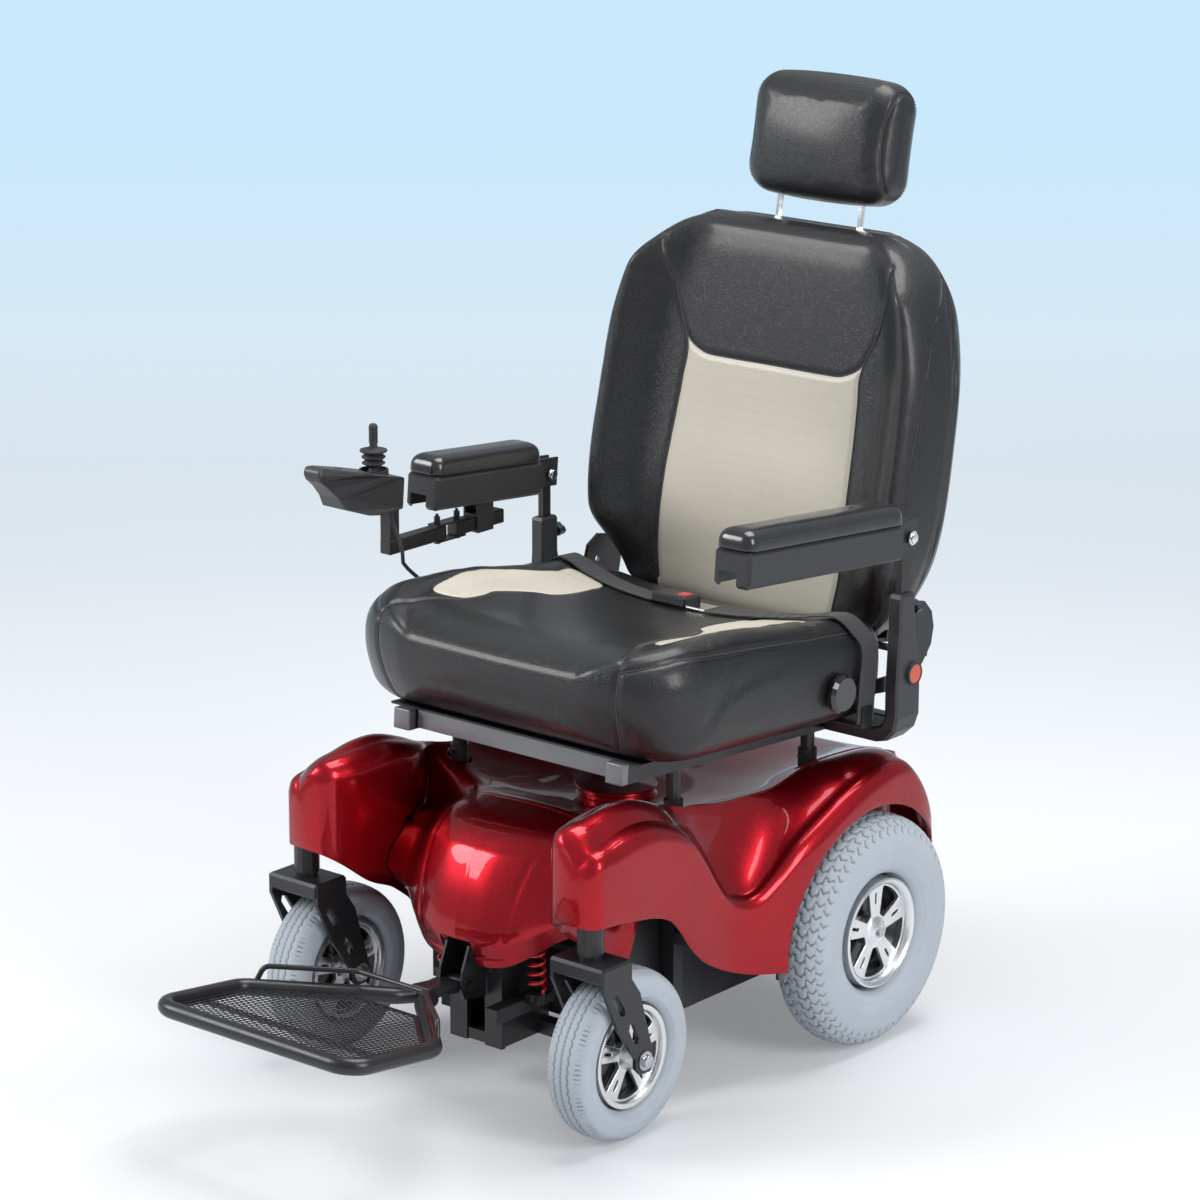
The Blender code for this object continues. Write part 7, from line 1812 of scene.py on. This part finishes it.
def footplate_mesh(pitch):
    """Expanded metal between the footplate's rails."""
    lean = math.cos(FOOT_SLOPE)
    margin = 0.0125
    corners = [
        (-FOOT_HALF + margin, FOOT_FRONT_Y + margin), (FOOT_HALF - margin, FOOT_FRONT_Y + margin),
        (FOOT_HALF - margin, FOOT_SIDE_Y - 0.006), (FOOT_REAR_HALF - 0.006, FOOT_REAR_Y - margin),
        (-FOOT_REAR_HALF + 0.006, FOOT_REAR_Y - margin), (-FOOT_HALF + margin, FOOT_SIDE_Y - 0.006),
    ]
    outline = [Vector((x, (y - FOOT_REAR_Y) / lean)) for x, y in corners]
    bm = bmesh.new()
    for tilt, level in ((1, 0.0004), (-1, -0.0004)):
        along = Vector((1.0, tilt * 0.5)).normalized()
        across = Vector((-along.y, along.x))
        for n in range(-90, 91):
            start = Vector((0.0, -0.14)) + across * (n * pitch)
            ends = clip_line(outline, start, along)
            if not ends:
                continue
            middle = start + along * (ends[0] + ends[1]) / 2
            turn = Matrix((
                (along.x, across.x, 0, middle.x), (along.y, across.y, 0, middle.y),
                (0, 0, 1, level), (0, 0, 0, 1),
            ))
            shape = turn @ Matrix.Diagonal((ends[1] - ends[0], 0.0011, 0.0014, 1.0))
            bmesh.ops.create_cube(bm, size=1.0, matrix=shape)
    for n, point in enumerate(outline):
        end = outline[(n + 1) % len(outline)]
        along = (end - point).normalized()
        across = Vector((-along.y, along.x))
        middle = (point + end) / 2 + across * 0.003
        turn = Matrix((
            (along.x, across.x, 0, middle.x), (along.y, across.y, 0, middle.y),
            (0, 0, 1, 0), (0, 0, 0, 1),
        ))
        shape = turn @ Matrix.Diagonal(((end - point).length, 0.006, 0.003, 1.0))
        bmesh.ops.create_cube(bm, size=1.0, matrix=shape)
    slope = Matrix.Rotation(-FOOT_SLOPE, 4, "X")
    bm.transform(Matrix.Translation(here(0, FOOT_REAR_Y, FOOT_REAR_Z)) @ slope)
    item = from_bmesh("expanded_metal", bm)
    put(item, "footplate", "frame_powder", ["footplate_deck"], angle=30)


# Joystick
def joystick_stick():
    top = 0.918 - STICK_Z
    profile = [(0.0001, top), (0.0036, top - 0.0004), (0.0060, top - 0.0022), (0.0070, top - 0.0055)]
    for n in range(5):
        at = top - 0.008 - 0.0038 * n
        profile += [(0.0070, at), (0.0064, at - 0.0012), (0.0064, at - 0.0020), (0.0070, at - 0.0030)]
    profile += [
        (0.0058, 0.0500), (0.0066, 0.0470), (0.0205, 0.0428), (0.0210, 0.0415), (0.0205, 0.0404),
        (0.0140, 0.0370), (0.0134, 0.0358), (0.0178, 0.0330), (0.0184, 0.0319), (0.0178, 0.0308),
        (0.0130, 0.0278), (0.0126, 0.0268), (0.0172, 0.0234), (0.0178, 0.0225), (0.0172, 0.0216),
        (0.0114, 0.0186), (0.0112, 0.0178), (0.0060, 0.0150), (0.0080, 0.0110), (0.0125, 0.0045),
        (0.0132, 0.0), (0.0122, -0.0050), (0.0080, -0.0105), (0.0001, -0.0127),
    ]
    item = turned("joystick_grip", profile, 56, here(-ARM_X, STICK_Y, STICK_Z), axis="Z")
    put(item, "joystick_stick", "soft_rubber", ["joystick_lever"], angle=50)


# Fasteners and small trim
def small_parts():
    for name, side in SIDES:
        x = side * CASTER_X
        outer = CASTER_WIDTH / 2 + FORK_ROOM + FORK_PLATE
        for way in (1, -1):
            end = f"{name}_{'out' if way * side > 0 else 'in'}"
            centre = here(x + way * (outer + 0.0005), CASTER_Y, CASTER_RADIUS)
            nut = bolt("axle_nut_" + end, centre, (way, 0, 0), 0.0105, 0.0095, 6)
            put(nut, "swivel_" + name, "zinc_plate")
        for way in (1, -1):
            end = f"{name}_{'out' if way * side > 0 else 'in'}"
            centre = here(side * ARM_X + way * HINGE_BOLT_X, ARM_Y, ARM_Z[name])
            pin = bolt("hinge_bolt_" + end, centre, (way, 0, 0), 0.0078, 0.0046, 24)
            put(pin, "arm_" + name, "chrome")
        centre = here(side * 0.3595 - side * 0.0002, 0.055, 0.573)
        bezel = turned("reflector_bezel_" + name, [
            (0.0146, 0.0), (0.0172, 0.0), (0.0172, side * 0.0042), (0.0160, side * 0.0052),
            (0.0146, side * 0.0052),
        ], 48, centre)
        put(bezel, "seat", "soft_rubber")


def seat_trim():
    """Grey end caps of the seat tubes, and the strips along the front bar and behind the seat."""
    for name, side in SIDES:
        xs = sorted((side * 0.1882, side * 0.2198))
        cap = brick("tube_cap_" + name, (xs[0], -0.0045, -0.0158), (xs[1], 0.0110, 0.0158), on_seat, 0.0022)
        put(cap, "seat", "stay_grey", angle=35)
    strip = brick("front_strip", (-0.186, 0.0120, -0.0125), (0.186, 0.0148, 0.0150), on_seat, 0.0009)
    put(strip, "seat", "stay_grey", angle=35)
    floor = seat_shape(0.0, 1.0, 1.0).z - 0.020
    low, high = (-0.205, 0.5075, floor - 0.012), (0.205, 0.5105, floor + 0.006)
    edge = brick("rear_strip", low, high, on_seat, 0.0012)
    put(edge, "seat", "chrome", angle=35)


CAD_FINISHES = {
    "frame_powder": (
        "chassis_frame", "seat_frame", "back_bracket", "joystick_bar", "joystick_link",
        "joystick_swing_bar", "footplate_hanger", "suspension_arm_left", "suspension_arm_right",
        "caster_fork_left", "caster_fork_right", "arm_post_left", "arm_post_right",
    ),
    "moulded_black": (
        "battery_tray", "control_module", "belt_buckle", "arm_bracket_left", "arm_bracket_right",
        "joystick_case", "arm_channel_left", "arm_channel_right", "arm_knob_left", "arm_knob_right",
    ),
    "battery_grey": ("battery_front", "battery_rear", "power_button"),
    "dish_black": ("drive_motor_left", "drive_motor_right"),
    "chrome": ("belt_tongue", "headrest_rod"),
    "button_red": ("belt_button",),
    "reflector_orange": ("reflector_left", "reflector_right"),
    "paddle_gloss": ("recline_lever",),
    "zinc_plate": ("joystick_gimbal",),
}


def finish_carried_over():
    for finish, names in CAD_FINISHES.items():
        for name in names:
            item = NODES[name]
            if not item.material_slots:
                item.data.materials.append(None)
            for slot in item.material_slots:
                slot.link = "OBJECT"
                slot.material = FINISHES[finish]


# Settings, operators and panel
class ChairColours(bpy.types.PropertyGroup):
    paint_deep: bpy.props.FloatVectorProperty(
        name="Paint, deep", description="Red of the covers in their shade", subtype="COLOR",
        size=3, min=0.0, max=1.0, default=(0.26, 0.002, 0.008),
    )
    paint_bright: bpy.props.FloatVectorProperty(
        name="Paint, bright", description="Red of the covers in full light", subtype="COLOR",
        size=3, min=0.0, max=1.0, default=(0.70, 0.006, 0.020),
    )
    vinyl: bpy.props.FloatVectorProperty(
        name="Vinyl", description="Dark vinyl of the cushions", subtype="COLOR",
        size=3, min=0.0, max=1.0, default=(0.0085, 0.0085, 0.0098),
    )
    cream: bpy.props.FloatVectorProperty(
        name="Cream", description="Porous panels of the cushions", subtype="COLOR",
        size=3, min=0.0, max=1.0, default=(0.58, 0.54, 0.45),
    )
    tyre: bpy.props.FloatVectorProperty(
        name="Tyre", description="Grey rubber of the tyres", subtype="COLOR",
        size=3, min=0.0, max=1.0, default=(0.43, 0.47, 0.52),
    )


class ChairSizes(bpy.types.PropertyGroup):
    tread_depth: bpy.props.FloatProperty(
        name="Tread depth", description="Depth of the drive tyres' tread", unit="LENGTH",
        min=0.0, max=0.006, default=0.0028,
    )
    seam_depth: bpy.props.FloatProperty(
        name="Seam depth", description="How far a sewn line draws the skin in", unit="LENGTH",
        min=0.0, max=0.006, default=0.0026,
    )
    swell: bpy.props.FloatProperty(
        name="Padding", description="Most that the padding lifts a cushion's skin", unit="LENGTH",
        min=0.0, max=0.02, default=0.002,
    )
    mesh_pitch: bpy.props.FloatProperty(
        name="Mesh pitch", description="Distance between strands of the footplate's mesh",
        unit="LENGTH", min=0.003, max=0.02, default=0.0084,
    )


class CHAIR_OT_stage(bpy.types.Operator):
    """Camera, lamps, floor and sky"""
    bl_idname = "chair.stage"
    bl_label = "Stage"

    def execute(self, context):
        place_camera(CAMERA_AZIMUTH, CAMERA_ELEVATION, CAMERA_ROLL, CAMERA_LENS, CAMERA_PLACE)
        middle = (0.0, -0.2, 0.6)
        softbox("key_box", (-3.2, -3.4, 3.0), middle, (2.2, 2.0), 170.0)
        softbox("side_box", (4.4, -0.6, 2.6), middle, (1.6, 2.6), 120.0)
        softbox("top_box", (0.2, 0.8, 4.4), middle, (2.6, 2.6), 150.0)
        reach = FLOOR_REACH
        corners = [(-reach, -reach, 0), (reach, -reach, 0), (reach, reach, 0), (-reach, reach, 0)]
        floor = new_mesh("studio_floor", corners, [(0, 1, 2, 3)])
        floor.data.materials.append(floor_finish((0.80, 0.81, 0.83), (0.61, 0.83, 0.99)))
        make_world((0.86, 0.93, 1.0))
        context.scene.view_settings.view_transform = "Standard"
        return {"FINISHED"}


class CHAIR_OT_finishes(bpy.types.Operator):
    """Every material of the chair"""
    bl_idname = "chair.finishes"
    bl_label = "Finishes"

    def execute(self, context):
        colours = context.scene.chair_colours
        make_finishes(
            tuple(colours.paint_deep), tuple(colours.paint_bright), tuple(colours.vinyl),
            tuple(colours.cream), tuple(colours.tyre),
        )
        finish_carried_over()
        return {"FINISHED"}


class CHAIR_OT_cable(bpy.types.Operator):
    """Lead from the joystick to the base"""
    bl_idname = "chair.cable"
    bl_label = "Joystick lead"

    def execute(self, context):
        joystick_cable()
        return {"FINISHED"}


class CHAIR_OT_covers(bpy.types.Operator):
    """Side covers, nose and top cover of the base"""
    bl_idname = "chair.covers"
    bl_label = "Covers"

    def execute(self, context):
        for name, side in SIDES:
            side_cover(name, side)
        nose_cover()
        top_cover()
        return {"FINISHED"}


class CHAIR_OT_upholstery(bpy.types.Operator):
    """Seat, back and head cushions with their sewn lines"""
    bl_idname = "chair.upholstery"
    bl_label = "Upholstery"

    def execute(self, context):
        sizes = context.scene.chair_sizes
        seat_cushion(sizes.seam_depth, sizes.swell)
        back_cushion(sizes.seam_depth, sizes.swell)
        headrest(sizes.seam_depth * 0.8, sizes.swell * 0.5)
        return {"FINISHED"}


class CHAIR_OT_armrests(bpy.types.Operator):
    """Skins of the armrest pads"""
    bl_idname = "chair.armrests"
    bl_label = "Armrests"

    def execute(self, context):
        arm_pads()
        return {"FINISHED"}


class CHAIR_OT_belts(bpy.types.Operator):
    """Webbing of the lap belt"""
    bl_idname = "chair.belts"
    bl_label = "Lap belt"

    def execute(self, context):
        lap_belts()
        return {"FINISHED"}


class CHAIR_OT_wheels(bpy.types.Operator):
    """Tyres and alloy wheels"""
    bl_idname = "chair.wheels"
    bl_label = "Wheels"

    def execute(self, context):
        tyres(context.scene.chair_sizes.tread_depth)
        drive_rims()
        caster_rims()
        return {"FINISHED"}


class CHAIR_OT_springs(bpy.types.Operator):
    """Coils of the front suspension"""
    bl_idname = "chair.springs"
    bl_label = "Springs"

    def execute(self, context):
        springs()
        return {"FINISHED"}


class CHAIR_OT_footplate(bpy.types.Operator):
    """Rails and mesh of the footplate"""
    bl_idname = "chair.footplate"
    bl_label = "Footplate"

    def execute(self, context):
        footplate()
        footplate_mesh(context.scene.chair_sizes.mesh_pitch)
        return {"FINISHED"}


class CHAIR_OT_joystick(bpy.types.Operator):
    """Boot and grip of the joystick"""
    bl_idname = "chair.joystick"
    bl_label = "Joystick"

    def execute(self, context):
        joystick_stick()
        return {"FINISHED"}


class CHAIR_OT_small_parts(bpy.types.Operator):
    """Nuts, bolts, bezels and the seat's trim"""
    bl_idname = "chair.small_parts"
    bl_label = "Small parts"

    def execute(self, context):
        small_parts()
        seat_trim()
        return {"FINISHED"}


OPERATORS = (
    CHAIR_OT_stage, CHAIR_OT_finishes, CHAIR_OT_cable, CHAIR_OT_covers, CHAIR_OT_upholstery,
    CHAIR_OT_armrests, CHAIR_OT_belts, CHAIR_OT_wheels, CHAIR_OT_springs, CHAIR_OT_footplate,
    CHAIR_OT_joystick, CHAIR_OT_small_parts,
)


class CHAIR_PT_panel(bpy.types.Panel):
    """Pieces of the power wheelchair"""
    bl_idname = "CHAIR_PT_panel"
    bl_label = "Power wheelchair"
    bl_space_type = "VIEW_3D"
    bl_region_type = "UI"
    bl_category = "Wheelchair"

    def draw(self, context):
        for group in (context.scene.chair_colours, context.scene.chair_sizes):
            for name in group.__annotations__:
                self.layout.prop(group, name)
        for operator in OPERATORS:
            self.layout.operator(operator.bl_idname)


CLASSES = (ChairColours, ChairSizes, *OPERATORS, CHAIR_PT_panel)


def register():
    for item in CLASSES:
        bpy.utils.register_class(item)
    bpy.types.Scene.chair_colours = bpy.props.PointerProperty(type=ChairColours)
    bpy.types.Scene.chair_sizes = bpy.props.PointerProperty(type=ChairSizes)


def unregister():
    del bpy.types.Scene.chair_sizes
    del bpy.types.Scene.chair_colours
    for item in reversed(CLASSES):
        bpy.utils.unregister_class(item)


def main():
    register()
    for operator in OPERATORS:
        group, name = operator.bl_idname.split(".")
        getattr(getattr(bpy.ops, group), name)()


if __name__ == "__main__":
    main()
